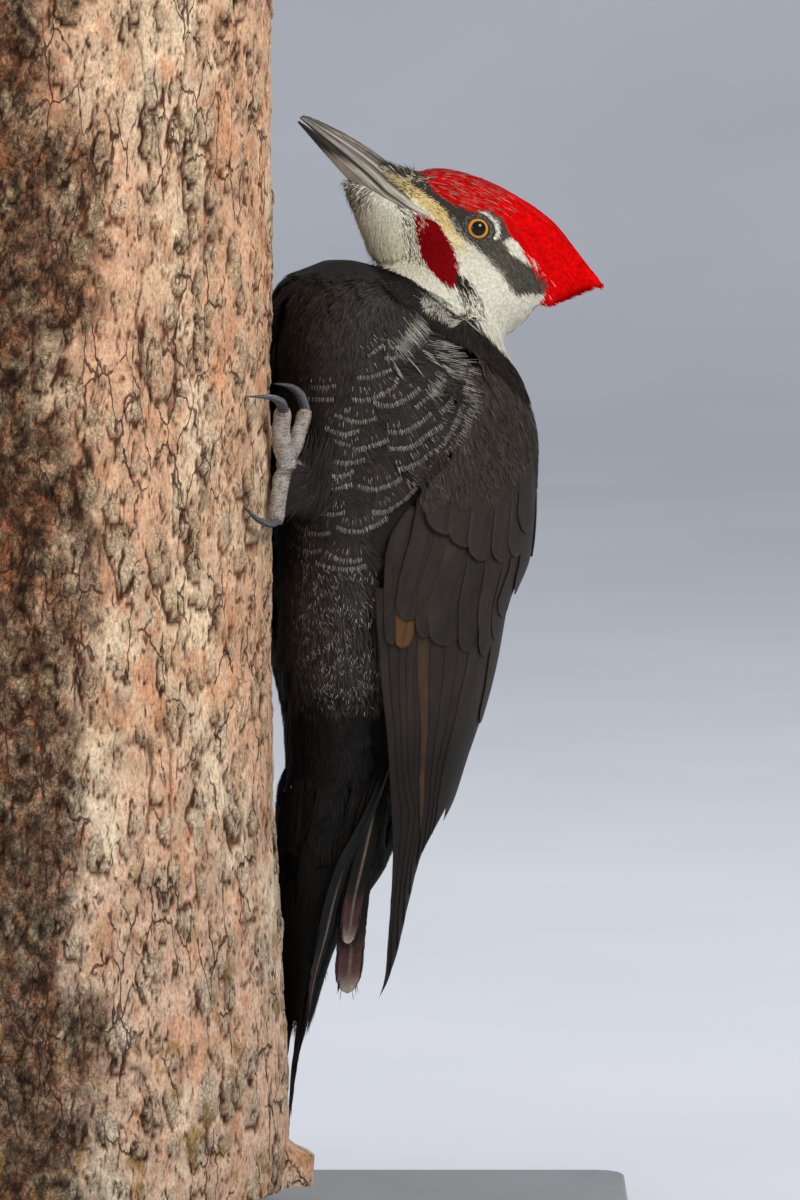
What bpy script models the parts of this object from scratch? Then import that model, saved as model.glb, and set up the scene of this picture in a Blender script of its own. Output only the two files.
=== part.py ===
"""A male pileated woodpecker clinging to a cut length of trunk on a flat display stand.

The model is at rest and has no joints. Metres, +Z up, origin at the centre of the stand's underside.
Two frames place the bird:
  bird_point(d, l, u): d is distance out from the trunk's axis, l is to the bird's left, u is height.
  head_point(f, s, h): f is forward along the bill from between the eyes, s to the left, h up to the crown.
The feathered body is lofted whole, made one surface, and parted with thin plane cuts.
"""

import math

import bmesh
import bpy
from mathutils import Vector

# Driving dimensions
GAP = 0.00032  # left between pieces that meet
MM = 0.001

BASE_SIZE = (0.360, 0.240, 0.012)
BASE_CORNER = 0.012
BASE_EDGE = 0.0012
ROD_RADIUS = 0.006
ROD_SPACING = 0.090

TRUNK_X = -0.065  # the trunk's axis
TRUNK_BOTTOM = 0.024
TRUNK_TOP = 0.515
TRUNK_RADIUS = 0.0985
TRUNK_FLARE = 0.0070  # how much wider the trunk is at its foot
FLARE_TOP = 0.25
TRUNK_SIDES = 42
TRUNK_RINGS = 6
TRUNK_WAVES = ((3, 0.0009, 0.6), (5, 0.0007, 2.1))  # lobes round it: count, depth, phase
STUB_OUT = 0.012  # the broken flake of bark at the foot, on the bird's side
STUB_DEGREES = 7.0
STUB_TOP = 0.040
STUB_RINGS = 4

BIRD_TURN = math.radians(18)  # how far round the trunk the bird sits, away from -Y
HEAD_TURN = math.radians(12)
HEAD_RAISE = math.radians(34.8)  # of the bill above level
EYE_MIDDLE = (0.1895, 0.0, 0.4105)  # between the eyes, as d, l, u
EYE_RADIUS = 0.0060
EYE_OUT = 0.0110  # each eyeball's centre from the head's middle

FLESH_VOXEL = 0.0016
FLESH_TRIANGLES = 2100
RING_SIDES = 28
BILL_ROOT = 21  # millimetres forward of the eyes, where the bill's solids start
BILL_TIP = 84.6
MOUTH_OPEN_FROM = 74.0  # forward of here the bill's tips stand apart
MOUTH_OPEN = 0.9

# Colours of the slots, as linear red, green, blue, then roughness and metallic value
COLOURS = {
    "plumage_black": ((0.018, 0.016, 0.014), 0.75, 0.0),
    "plumage_white": ((0.75, 0.73, 0.64), 0.85, 0.0),
    "crest_red": ((0.70, 0.004, 0.006), 0.70, 0.0),
    "flight_feather": ((0.022, 0.017, 0.014), 0.60, 0.0),
    "bill_horn": ((0.22, 0.21, 0.18), 0.35, 0.0),
    "eye": ((0.55, 0.26, 0.02), 0.05, 0.0),
    "foot_skin": ((0.26, 0.22, 0.20), 0.70, 0.0),
    "claw_horn": ((0.05, 0.05, 0.055), 0.30, 0.0),
    "bark": ((0.36, 0.22, 0.16), 0.90, 0.0),
    "stand": ((0.03, 0.03, 0.03), 0.45, 0.0),
}


# Frames


def bird_point(d, l, u):
    x = TRUNK_X + d * math.cos(BIRD_TURN) + l * math.sin(BIRD_TURN)
    y = d * math.sin(BIRD_TURN) - l * math.cos(BIRD_TURN)
    return Vector((x, y, u))


def head_axes():
    forward = Vector(
        (
            -math.cos(HEAD_RAISE) * math.cos(HEAD_TURN),
            -math.cos(HEAD_RAISE) * math.sin(HEAD_TURN),
            math.sin(HEAD_RAISE),
        )
    )
    left = Vector((math.sin(HEAD_TURN), -math.cos(HEAD_TURN), 0))
    return forward, left, forward.cross(left)


HEAD_FORWARD, HEAD_LEFT, HEAD_UP = head_axes()
EYES_AT = bird_point(*EYE_MIDDLE)


def head_point(f, s, h):
    """A point of the head, in millimetres from between the eyes."""
    return EYES_AT + MM * (f * HEAD_FORWARD + s * HEAD_LEFT + h * HEAD_UP)


def trunk_point(degrees, r, z):
    """A point at distance r from the trunk's axis; 0 degrees is +X and negative is towards -Y."""
    a = math.radians(degrees)
    return Vector((TRUNK_X + r * math.cos(a), r * math.sin(a), z))


# Shapes


def through(table, t):
    """The row of table at t: its first column is the key, and the others run smoothly between rows."""
    rows = sorted(table)
    t = min(max(t, rows[0][0]), rows[-1][0])
    i = max(k for k in range(len(rows) - 1) if rows[k][0] <= t)
    step = rows[i + 1][0] - rows[i][0]
    s = (t - rows[i][0]) / step

    def slope(k, c):
        """Zero at a turning point, so that the curve never overshoots."""
        if k in (0, len(rows) - 1):
            n = 1 if k == 0 else k
            return (rows[n][c] - rows[n - 1][c]) / (rows[n][0] - rows[n - 1][0])
        before = (rows[k][c] - rows[k - 1][c]) / (rows[k][0] - rows[k - 1][0])
        after = (rows[k + 1][c] - rows[k][c]) / (rows[k + 1][0] - rows[k][0])
        return 2 * before * after / (before + after) if before * after > 0 else 0.0

    found = []
    for c in range(1, len(rows[0])):
        a, b = rows[i][c], rows[i + 1][c]
        found.append(
            (2 * s**3 - 3 * s**2 + 1) * a
            + (s**3 - 2 * s**2 + s) * step * slope(i, c)
            + (3 * s**2 - 2 * s**3) * b
            + (s**3 - s**2) * step * slope(i + 1, c)
        )
    return found


def spaced(first, last, count):
    return [first + (last - first) * k / (count - 1) for k in range(count)]


def loft(rings):
    """A closed mesh over rings of points, with a flat cap on the first and the last."""
    mesh = bpy.data.meshes.new("loft")
    bm = bmesh.new()
    rows = [[bm.verts.new(p) for p in ring] for ring in rings]
    sides = len(rows[0])
    for low, high in zip(rows, rows[1:]):
        for j in range(sides):
            k = (j + 1) % sides
            bm.faces.new((low[j], low[k], high[k], high[j]))
    bm.faces.new(rows[0])
    bm.faces.new(rows[-1])
    bmesh.ops.recalc_face_normals(bm, faces=bm.faces)
    if bm.calc_volume(signed=True) < 0:
        bmesh.ops.reverse_faces(bm, faces=bm.faces)
    bm.to_mesh(mesh)
    bm.free()
    return mesh


def ellipse(count, at, across, up, power=2.0):
    """Points of a ring round at, of half-sizes across and up; a power over 2 squares it."""
    ring = []
    for k in range(count):
        a = 2 * math.pi * k / count
        c, s = math.cos(a), math.sin(a)
        x = math.copysign(abs(c) ** (2 / power), c)
        y = math.copysign(abs(s) ** (2 / power), s)
        ring.append(at + x * across + y * up)
    return ring


def limb(points, radii, sides=9, flatten=1.0, side_hint=Vector((0, 0, 1)), steps=2):
    """A round tapering limb through points, flatten times as thick across side_hint as along it."""
    path = [(i, *p, r) for i, (p, r) in enumerate(zip(points, radii))]
    along = [through(path, t) for t in spaced(0, len(points) - 1, (len(points) - 1) * steps + 1)]
    rings = []
    for i, (x, y, z, r) in enumerate(along):
        before, after = along[max(i - 1, 0)], along[min(i + 1, len(along) - 1)]
        tangent = (Vector(after[:3]) - Vector(before[:3])).normalized()
        across = tangent.cross(side_hint).normalized()
        up = across.cross(tangent)
        rings.append(ellipse(sides, Vector((x, y, z)), across * r * flatten, up * r))
    return loft(rings)


def add(name, mesh, slot, smooth=True):
    colour, roughness, metallic = COLOURS[slot]
    material = bpy.data.materials.get(slot) or bpy.data.materials.new(slot)
    material.use_nodes = True
    shader = material.node_tree.nodes["Principled BSDF"]
    shader.inputs["Base Color"].default_value = (*colour, 1)
    shader.inputs["Roughness"].default_value = roughness
    shader.inputs["Metallic"].default_value = metallic
    mesh.materials.clear()
    mesh.materials.append(material)
    obj = bpy.data.objects.new(name, mesh)
    bpy.context.scene.collection.objects.link(obj)
    if smooth:
        mesh.shade_smooth()
    return obj


def evaluated(obj):
    """A copy of obj's mesh with its modifiers applied."""
    bpy.context.view_layer.update()
    graph = bpy.context.evaluated_depsgraph_get()
    return bpy.data.meshes.new_from_object(obj.evaluated_get(graph))


def drop(obj):
    bpy.data.objects.remove(obj)


def grown(mesh, by):
    """A copy of mesh with its surface moved outwards."""
    copy = mesh.copy()
    for v, n in zip(copy.vertices, [n.vector.copy() for n in mesh.vertex_normals]):
        v.co += n * by
    return copy


def cut(mesh, cutter):
    """mesh less cutter, by a Boolean."""
    target = bpy.data.objects.new("target", mesh)
    tool = bpy.data.objects.new("tool", cutter)
    for obj in (target, tool):
        bpy.context.scene.collection.objects.link(obj)
    boolean = target.modifiers.new("cut", "BOOLEAN")
    boolean.operation = "DIFFERENCE"
    boolean.solver = "EXACT"
    boolean.use_self = True
    boolean.object = tool
    result = evaluated(target)
    drop(target)
    drop(tool)
    return result


def cut_by_all(mesh, others):
    for other in others:
        mesh = cut(mesh, grown(other, GAP))
    return mesh


def kept_side(mesh, point, outward):
    """The part of mesh behind a plane, closed with a flat face that stays half a gap short of it."""
    part = mesh.copy()
    bm = bmesh.new()
    bm.from_mesh(part)
    bmesh.ops.bisect_plane(
        bm,
        geom=bm.verts[:] + bm.edges[:] + bm.faces[:],
        dist=1e-7,
        plane_co=point - outward * (GAP / 2),
        plane_no=outward,
        clear_outer=True,
    )
    bmesh.ops.holes_fill(bm, edges=[e for e in bm.edges if e.is_boundary], sides=0)
    bmesh.ops.recalc_face_normals(bm, faces=bm.faces)
    bm.to_mesh(part)
    bm.free()
    return part


# Feathered body, out to the tips of the coat

# height, centre's distance from the trunk's axis, half depth, half width
TORSO = [
    (0.3985, 0.1330, 0.004, 0.006),
    (0.3955, 0.1345, 0.017, 0.024),
    (0.3885, 0.1390, 0.030, 0.037),
    (0.3790, 0.1435, 0.0385, 0.0425),
    (0.3630, 0.1500, 0.0465, 0.0450),
    (0.3440, 0.1545, 0.0510, 0.0460),
    (0.3200, 0.1570, 0.0530, 0.0460),
    (0.2900, 0.1560, 0.0520, 0.0460),
    (0.2600, 0.1500, 0.0460, 0.0435),
    (0.2350, 0.1440, 0.0385, 0.0370),
    (0.2130, 0.1420, 0.0325, 0.0305),
    (0.1900, 0.1390, 0.0285, 0.0255),
    (0.1740, 0.1320, 0.0240, 0.0205),
    (0.1620, 0.1270, 0.0185, 0.0160),
    (0.1540, 0.1225, 0.0125, 0.0110),
    (0.1480, 0.1195, 0.0060, 0.0060),
    (0.1450, 0.1185, 0.0020, 0.0030),
]
BACK_SQUARE = 2.0
# The belly's side is fuller, spread against the trunk: height, squareness
BELLY_SQUARE = [
    (0.145, 2.0),
    (0.200, 2.2),
    (0.250, 2.9),
    (0.300, 3.6),
    (0.350, 3.2),
    (0.380, 2.4),
    (0.3985, 2.0),
]
# The feathered thigh, from inside the belly to where the bare leg shows: d, l, u, radius
THIGH = [
    (0.1320, 0.0270, 0.2980, 0.0125),
    (0.1190, 0.0345, 0.3060, 0.0105),
    (0.1085, 0.0395, 0.3120, 0.0060),
]

# From the breast up into the head: d, u, half length along the body's depth, half width
NECK = [
    (0, 0.1600, 0.3580, 0.0330, 0.0340),
    (1, 0.1672, 0.3730, 0.0330, 0.0310),
    (2, 0.1757, 0.3805, 0.0320, 0.0280),
    (3, 0.1860, 0.3887, 0.0308, 0.0245),
    (4, 0.1885, 0.4000, 0.0290, 0.0200),
]
NECK_LEAN = math.radians(24)  # of the neck's rings, lower at the nape

# Millimetres forward of the eyes, crown, throat, half width
HEAD = [
    (57.0, -13.4, -14.8, 1.0),
    (53.0, -12.6, -17.6, 3.6),
    (48.5, -7.0, -21.4, 6.0),
    (44.5, 1.6, -23.8, 7.2),
    (38.0, 3.4, -27.5, 9.2),
    (30.0, 8.0, -32.0, 11.2),
    (20.0, 13.6, -36.5, 13.4),
    (8.0, 17.6, -39.0, 15.4),
    (-5.0, 19.0, -39.0, 16.8),
    (-18.0, 15.0, -37.0, 16.8),
    (-29.0, 8.0, -33.0, 14.0),
    (-38.0, -4.0, -27.0, 8.0),
    (-41.0, -12.0, -19.0, 2.0),
]

# The long red feathers of crown and crest, in the same columns
CREST = [
    (33.6, 4.6, 1.0, 2.0),
    (27.6, 10.6, 2.0, 5.0),
    (18.3, 15.9, 3.0, 8.0),
    (8.3, 19.2, 3.0, 10.0),
    (-4.5, 21.4, 0.0, 11.2),
    (-18.5, 21.8, -7.0, 9.8),
    (-28.0, 19.9, -10.0, 8.2),
    (-36.5, 16.9, -11.0, 6.4),
    (-42.0, 14.9, -10.6, 4.8),
    (-46.5, 13.6, -5.0, 3.4),
    (-51.0, 12.5, 1.6, 2.2),
    (-56.0, 11.0, 7.4, 1.2),
    (-59.0, 9.8, 8.8, 0.6),
]
CREST_SQUARE = 2.2


def torso():
    rings = []
    for u in spaced(TORSO[-1][0], TORSO[0][0], 34):
        d, depth, width = through(TORSO, u)
        (belly,) = through(BELLY_SQUARE, u)
        middle = bird_point(d, 0, u)
        out = bird_point(d + depth, 0, u) - middle
        left = bird_point(d, width, u) - middle
        back_ring = ellipse(RING_SIDES, middle, out, left, BACK_SQUARE)
        belly_ring = ellipse(RING_SIDES, middle, out, left, belly)
        quarter = RING_SIDES // 4
        belly_half = belly_ring[quarter : 3 * quarter + 1]
        rings.append(back_ring[:quarter] + belly_half + back_ring[3 * quarter + 1 :])
    return loft(rings)


def neck():
    rings = []
    for t in spaced(0, len(NECK) - 1, 10):
        d, u, length, width = through(NECK, t)
        middle = bird_point(d, 0, u)
        out = bird_point(d + length * math.cos(NECK_LEAN), 0, u - length * math.sin(NECK_LEAN)) - middle
        left = bird_point(d, width, u) - middle
        rings.append(ellipse(RING_SIDES, middle, out, left))
    return loft(rings)


def thigh(side):
    points = [bird_point(d, side * l, u) for d, l, u, r in THIGH]
    return limb(points, [r for d, l, u, r in THIGH], sides=16, steps=4)


def head_loft(table, power=2.0, count=26):
    rings = []
    for f in spaced(table[0][0], table[-1][0], count):
        top, bottom, width = through(table, f)
        middle = head_point(f, 0, (top + bottom) / 2)
        up = MM * (top - bottom) / 2 * HEAD_UP
        rings.append(ellipse(RING_SIDES, middle, MM * width * HEAD_LEFT, up, power))
    return loft(rings)


def flesh():
    """Torso, thighs, neck, head and crest as one surface."""
    bm = bmesh.new()
    pieces = (torso(), neck(), thigh(1), thigh(-1), head_loft(HEAD), head_loft(CREST, CREST_SQUARE))
    for mesh in pieces:
        bm.from_mesh(mesh)
    joined = bpy.data.meshes.new("flesh")
    bm.to_mesh(joined)
    bm.free()
    obj = bpy.data.objects.new("flesh", joined)
    bpy.context.scene.collection.objects.link(obj)
    remesh = obj.modifiers.new("one_surface", "REMESH")
    remesh.mode = "VOXEL"
    remesh.voxel_size = FLESH_VOXEL
    soften = obj.modifiers.new("soften", "SMOOTH")
    soften.factor = 0.5
    soften.iterations = 3
    whole = evaluated(obj)
    obj.modifiers.clear()
    obj.data = whole
    fewer = obj.modifiers.new("fewer", "DECIMATE")
    whole.calc_loop_triangles()
    fewer.ratio = FLESH_TRIANGLES / len(whole.loop_triangles)
    made = evaluated(obj)
    drop(obj)
    return made


def add_flesh(bill, eyes):
    """Parts the body into nodes and returns it whole, for the pieces that lie against it."""
    whole = flesh()
    uncut = whole.copy()
    whole = cut_by_all(whole, (*bill, *eyes))
    down = Vector((0, 0, -1))
    crest_at, crest_out = head_point(-14, 0, 10), (-0.80 * HEAD_FORWARD + 0.60 * HEAD_UP)
    throat_at, throat_out = head_point(0, 0, -27), (-0.22 * HEAD_FORWARD - 0.975 * HEAD_UP)
    neck_at = bird_point(0.163, 0, 0.376)
    neck_out = (bird_point(-0.50, 0, -0.866) - bird_point(0, 0, 0)).normalized()
    belly_at, vent_at = Vector((0, 0, 0.300)), Vector((0, 0, 0.2150))

    rest, crest = kept_side(whole, crest_at, crest_out), kept_side(whole, crest_at, -crest_out)
    head, rest = kept_side(rest, throat_at, throat_out), kept_side(rest, throat_at, -throat_out)
    neck_part, rest = kept_side(rest, neck_at, neck_out), kept_side(rest, neck_at, -neck_out)
    breast, rest = kept_side(rest, belly_at, down), kept_side(rest, belly_at, -down)
    belly, rump = kept_side(rest, vent_at, down), kept_side(rest, vent_at, -down)
    add("crest", crest, "crest_red")
    add("head", head, "plumage_white")
    add("neck", neck_part, "plumage_white")
    add("breast_and_back", breast, "plumage_black")
    add("belly", belly, "plumage_black")
    add("rump_and_undertail", rump, "plumage_black")
    return uncut


# Bill and eyes

# Millimetres forward of the eyes: culmen, mouth line, keel of the lower bill, half width
BILL = [
    (21.0, -4.4, -7.6, -9.6, 13.2),
    (30.0, -0.8, -8.8, -11.8, 11.5),
    (38.0, 1.6, -8.8, -13.2, 9.6),
    (44.0, 2.5, -8.0, -13.6, 8.2),
    (50.0, 2.8, -7.0, -13.3, 7.1),
    (57.0, 2.7, -6.2, -12.0, 6.1),
    (64.0, 2.2, -5.5, -10.4, 5.1),
    (71.5, 1.3, -4.8, -8.6, 4.0),
    (77.0, 0.4, -4.4, -7.2, 3.0),
    (81.5, -0.6, -4.1, -6.1, 2.2),
    (84.6, -1.6, -4.0, -5.4, 1.7),
]
# Half width of the upper bill at shares of its height above the mouth line, with a shelf along the nostrils
UPPER_SHAPE = [(0.0, 1.0), (0.22, 0.98), (0.45, 0.80), (0.62, 0.52), (0.85, 0.30), (1.0, 0.10)]
LOWER_SHAPE = [(0.0, 0.97), (0.30, 0.90), (0.65, 0.62), (0.90, 0.30), (1.0, 0.12)]


def mandible(shape, upper):
    rings = []
    for f in spaced(BILL_ROOT, BILL_TIP, 13):
        culmen, mouth, keel, width = through(BILL, f)
        opening = max(0.0, (f - MOUTH_OPEN_FROM) / (BILL_TIP - MOUTH_OPEN_FROM)) * MOUTH_OPEN
        clear = (GAP / MM + opening) / 2
        start = mouth + clear if upper else mouth - clear
        tall = (culmen if upper else keel) - start
        left = [head_point(f, width * w, start + tall * share) for share, w in shape]
        right = [head_point(f, -width * w, start + tall * share) for share, w in reversed(shape)]
        rings.append(left + right)
    return loft(rings)


def eyeball(side):
    mesh = bpy.data.meshes.new("eyeball")
    bm = bmesh.new()
    bmesh.ops.create_uvsphere(bm, u_segments=12, v_segments=8, radius=EYE_RADIUS)
    bmesh.ops.translate(bm, vec=head_point(0, side * EYE_OUT / MM, 0), verts=bm.verts)
    bm.to_mesh(mesh)
    bm.free()
    return mesh


# Wings

# height, centre's distance, half depth, half width, then degrees round from the breast:
# front edge, the line between primaries and secondaries, back edge
WING = [
    (0.3650, 0.1515, 0.0470, 0.0480, 124, 134, 154),
    (0.3580, 0.1525, 0.0490, 0.0495, 117, 132, 164),
    (0.3487, 0.1555, 0.0515, 0.0505, 111, 128, 168),
    (0.3241, 0.1585, 0.0564, 0.0508, 100, 120, 168),
    (0.2995, 0.1575, 0.0568, 0.0508, 78, 102, 166),
    (0.2850, 0.1570, 0.0560, 0.0506, 69, 92, 162),
    (0.2749, 0.1560, 0.0550, 0.0502, 68, 90, 157),
    (0.2585, 0.1530, 0.0510, 0.0485, 70, 92, 147),
    (0.2339, 0.1500, 0.0490, 0.0450, 75, 97, 141),
    (0.2134, 0.1480, 0.0455, 0.0420, 79, 101, 137),
    (0.1930, 0.1460, 0.0400, 0.0390, 81, 104, 136),
    (0.1765, 0.1450, 0.0350, 0.0370, 84, 110, 134),
    (0.1650, 0.1445, 0.0290, 0.0355, 88, 114, 122),
    (0.1519, 0.1440, 0.0220, 0.0340, 92, 119, 120),
    (0.1232, 0.1430, 0.0150, 0.0310, 91, 113, 114),
    (0.0974, 0.1402, 0.0110, 0.0285, 93, 99, 100),
]
WING_TOP = 0.3650
COVERTS_END = 0.2520
SECONDARIES_END = 0.1680
WING_TIP = 0.0974
WING_THICK = 0.0030
TIP_THICK = 0.0009
THIN_OUT_FROM = 0.26  # below this height the wing is only feathers deep
EDGE_GAP_DEGREES = 1.0
WING_CLEAR = 0.0004  # between the wing and the body under it
WING_FRONT, WING_LINE, WING_BACK = 3, 4, 5


def wing_surface(side, u, degrees, under):
    d, depth, width = through(WING, u)[:3]
    a = math.radians(degrees)
    return bird_point(d - (depth - under) * math.cos(a), side * (width - under) * math.sin(a), u)


def wing_plate(side, top, bottom, front, back, rows, columns):
    """A curved plate of the folded wing between two heights and two of the wing's edge columns."""
    rings = []
    for u in spaced(top, bottom, rows):
        edges = through(WING, u)
        first, last = edges[front], edges[back]
        if front == WING_LINE:
            first += EDGE_GAP_DEGREES
        across = spaced(first, max(last, first + 3), columns)
        thick = WING_THICK
        if u < THIN_OUT_FROM:
            thick += (TIP_THICK - WING_THICK) * (THIN_OUT_FROM - u) / (THIN_OUT_FROM - WING_TIP)
        outer = [wing_surface(side, u, a, 0) for a in across]
        inner = [wing_surface(side, u, a, thick) for a in reversed(across)]
        rings.append(outer + inner)
    return loft(rings)


def add_wing(side, name, body):
    coverts = wing_plate(side, WING_TOP, COVERTS_END, WING_FRONT, WING_BACK, 11, 8)
    secondaries = wing_plate(side, COVERTS_END - GAP, SECONDARIES_END, WING_LINE, WING_BACK, 8, 5)
    primaries = wing_plate(side, COVERTS_END - GAP, WING_TIP, WING_FRONT, WING_LINE, 12, 4)
    add(f"wing_{name}_coverts", cut(coverts, grown(body, WING_CLEAR)), "flight_feather")
    add(f"wing_{name}_secondaries", secondaries, "flight_feather")
    add(f"wing_{name}_primaries", primaries, "flight_feather")


# Tail

# For each tail feather, from the middle pair outwards, half width in millimetres, degrees rolled on edge, and path
# from root to tip as d, l, u in millimetres. The middle four a side brace the bird, and the outer two hang.
TAIL = {
    1: (
        6.2,
        0,
        [
            (163, 4, 205),
            (146, 6, 173),
            (132.3, 7.5, 152.5),
            (124.8, 8, 124.5),
            (116.4, 8, 96),
            (110.8, 7, 66),
            (108.4, 6, 40),
        ],
    ),
    2: (
        6.8,
        0,
        [
            (160, 8, 205),
            (144, 10, 173),
            (130.9, 12, 152.5),
            (123.4, 12.8, 124.5),
            (114.8, 13, 95),
            (112.0, 12.5, 81),
            (109.3, 12, 66),
        ],
    ),
    3: (
        6.6,
        0,
        [
            (157, 11, 205),
            (142, 14, 173),
            (129.5, 16, 152.5),
            (122, 17.5, 124.5),
            (117, 18, 107.7),
            (113, 18, 94),
            (110.3, 17.5, 80),
        ],
    ),
    4: (
        5.8,
        50,
        [
            (150, 26, 205),
            (135, 30.5, 172),
            (124.6, 31.5, 152.5),
            (119.4, 31.5, 136),
            (116.8, 31, 124.5),
            (112.6, 29.6, 107.7),
            (110, 28.4, 91),
        ],
    ),
    5: (
        6.5,
        82,
        [
            (150, 20, 206),
            (143.5, 23, 187),
            (138.5, 23.6, 171),
            (134.4, 24, 152.5),
            (131.6, 23.5, 132),
            (130.2, 23, 115),
            (129, 22.5, 99.5),
        ],
    ),
    6: (
        4.5,
        80,
        [
            (148, 23, 200),
            (142.7, 25.5, 187.5),
            (138.6, 25.9, 171),
            (134.0, 26.5, 152.6),
            (130.2, 26.5, 136.2),
            (128, 26.2, 120.2),
        ],
    ),
}
FEATHER_THICK = 0.0009
FEATHER_EDGE = 0.0005
FEATHER_ROWS = 9
POINTED = {1, 2, 3, 4}


def feather_width(t, pointed):
    """Half width as a share of the feather's own, from root (0) to tip (1)."""
    root = 0.55 + 0.45 * min(1.0, t / 0.35)
    if pointed:
        return root * (1.0 if t < 0.62 else 1.0 - 0.86 * ((t - 0.62) / 0.38) ** 1.4)
    return root * math.sqrt(max(0.04, 1 - max(0.0, (t - 0.80) / 0.205) ** 2))


def tail_feather(side, rank, body):
    half, roll, path = TAIL[rank]
    table = [(i, *p) for i, p in enumerate(path)]
    a = math.radians(roll)
    rings = []
    for t in spaced(0, 1, FEATHER_ROWS):
        d, l, u = (MM * x for x in through(table, t * (len(path) - 1)))
        half_here = MM * half * feather_width(t, rank in POINTED)
        middle = bird_point(d, side * l, u)
        across = bird_point(d + math.sin(a), side * (l - math.cos(a)), u) - middle
        face = bird_point(d + math.cos(a), side * (l + math.sin(a)), u) - middle
        rings.append(
            [
                middle + across * half_here + face * FEATHER_EDGE / 2,
                middle + face * FEATHER_THICK / 2,
                middle - across * half_here + face * FEATHER_EDGE / 2,
                middle - across * half_here - face * FEATHER_EDGE / 2,
                middle - face * FEATHER_THICK / 2,
                middle + across * half_here - face * FEATHER_EDGE / 2,
            ]
        )
    return cut(loft(rings), grown(body, GAP))


# Legs and feet

# For each toe: radius at root and end, its path from the foot's hub, then the claw's root radius and path. Paths
# are degrees round the trunk, distance from its axis and height. All are in degrees and millimetres.
TOES = {
    "inner": (
        (3.3, 3.0),
        [(-4, 108.6, 325.0), (-1.5, 110.6, 331.5), (0, 112.2, 336.6)],
        1.9,
        [(0.2, 113.0, 339.2), (-0.8, 110.8, 345.8), (-3.0, 106.2, 349.8), (-6.0, 100.8, 351.0)],
    ),
    "middle": (
        (3.9, 3.6),
        [(-9.5, 105.4, 325.5), (-11, 105.2, 332.5), (-12, 106.2, 338.6)],
        2.05,
        [(-12.8, 107.0, 340.8), (-16.2, 107.6, 344.6), (-21, 105.8, 347.4), (-26, 100.2, 348.0)],
    ),
    "outer": (
        (3.5, 3.2),
        [(-9.4, 104.6, 311.5), (-10.6, 104.0, 305), (-12, 103.8, 299.0)],
        1.75,
        [(-13, 104.6, 296.4), (-18.5, 104.8, 295.8), (-23.6, 102.8, 298.4), (-27.6, 100.0, 304.2)],
    ),
    "hind": (
        (2.3, 2.0),
        [(-1.0, 107.4, 310.5), (2, 106.4, 306), (4.2, 105.6, 302.8)],
        1.2,
        [(5.0, 105.6, 301.4), (6.6, 105.4, 299), (8.6, 103.2, 298.2), (10.6, 100.4, 299.2)],
    ),
}
HUB = (-7.6, 106.4, 318.5)
HUB_RADIUS = 4.2
CLAW_TAPER = (1.0, 0.92, 0.62, 0.16)
RIGHT_FOOT_RAISE = 0.009
# The bare shank from the hub to where it enters the feathers, as d, l, u
SHANK = [
    (0.0995, 0.0446, 0.3170),
    (0.1080, 0.0410, 0.3135),
    (0.1180, 0.0360, 0.3095),
    (0.1300, 0.0310, 0.3060),
]
SHANK_RADII = [0.0036, 0.0030, 0.0034, 0.0040]


def foot_point(side, degrees, r, z):
    """A point of the left foot or, mirrored across the bird's middle and raised, of the right one."""
    if side < 0:
        degrees = 2 * math.degrees(BIRD_TURN) - degrees
        z += RIGHT_FOOT_RAISE / MM
    return trunk_point(degrees, r * MM, z * MM)


def add_foot(side, name, body):
    hub = foot_point(side, *HUB)
    outward = (hub - Vector((TRUNK_X, 0, hub.z))).normalized()
    raised = RIGHT_FOOT_RAISE if side < 0 else 0
    mesh = bpy.data.meshes.new("hub")
    bm = bmesh.new()
    bmesh.ops.create_uvsphere(bm, u_segments=10, v_segments=7, radius=HUB_RADIUS * MM)
    bmesh.ops.translate(bm, vec=hub, verts=bm.verts)
    bm.to_mesh(mesh)
    bm.free()
    add(f"foot_{name}_hub", mesh, "foot_skin")
    placed = [mesh]
    for toe, ((root, end), path, claw_root, claw_path) in TOES.items():
        points = [foot_point(side, *p) for p in path]
        radii = [root * MM * r for r in (0.9, 1.0, 0.92)] + [end * MM]
        solid = limb([hub, *points], radii, side_hint=outward)
        solid = cut_by_all(solid, placed)
        placed.append(solid)
        add(f"foot_{name}_{toe}_toe", solid, "foot_skin")
        points = [foot_point(side, *p) for p in claw_path]
        radii = [claw_root * MM * r for r in CLAW_TAPER]
        claw = limb(points, radii, sides=7, flatten=0.72, side_hint=outward)
        add(f"foot_{name}_{toe}_claw", claw, "claw_horn")
    shank = limb([bird_point(d, side * l, u + raised) for d, l, u in SHANK], SHANK_RADII)
    add(f"leg_{name}", cut_by_all(shank, [body, *placed]), "foot_skin")


# Trunk and stand


def trunk_radius(degrees, z):
    down = max(0.0, (FLARE_TOP - z) / (FLARE_TOP - TRUNK_BOTTOM))
    r = TRUNK_RADIUS + TRUNK_FLARE * down**2
    for count, depth, phase in TRUNK_WAVES:
        r += depth * math.sin(math.radians(count * degrees) + phase)
    turn = (degrees + 180) % 360 - 180
    low = min(1.0, max(0.0, (STUB_TOP - z) / (STUB_TOP - TRUNK_BOTTOM) * 2.5))
    return r + STUB_OUT * math.exp(-((turn / STUB_DEGREES) ** 2)) * math.sqrt(low)


def trunk():
    rings = []
    low = spaced(TRUNK_BOTTOM, STUB_TOP, STUB_RINGS)
    for z in low[:-1] + spaced(STUB_TOP, TRUNK_TOP, TRUNK_RINGS):
        turns = [360 * k / TRUNK_SIDES for k in range(TRUNK_SIDES)]
        rings.append([trunk_point(a, trunk_radius(a, z), z) for a in turns])
    return loft(rings)


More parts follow.
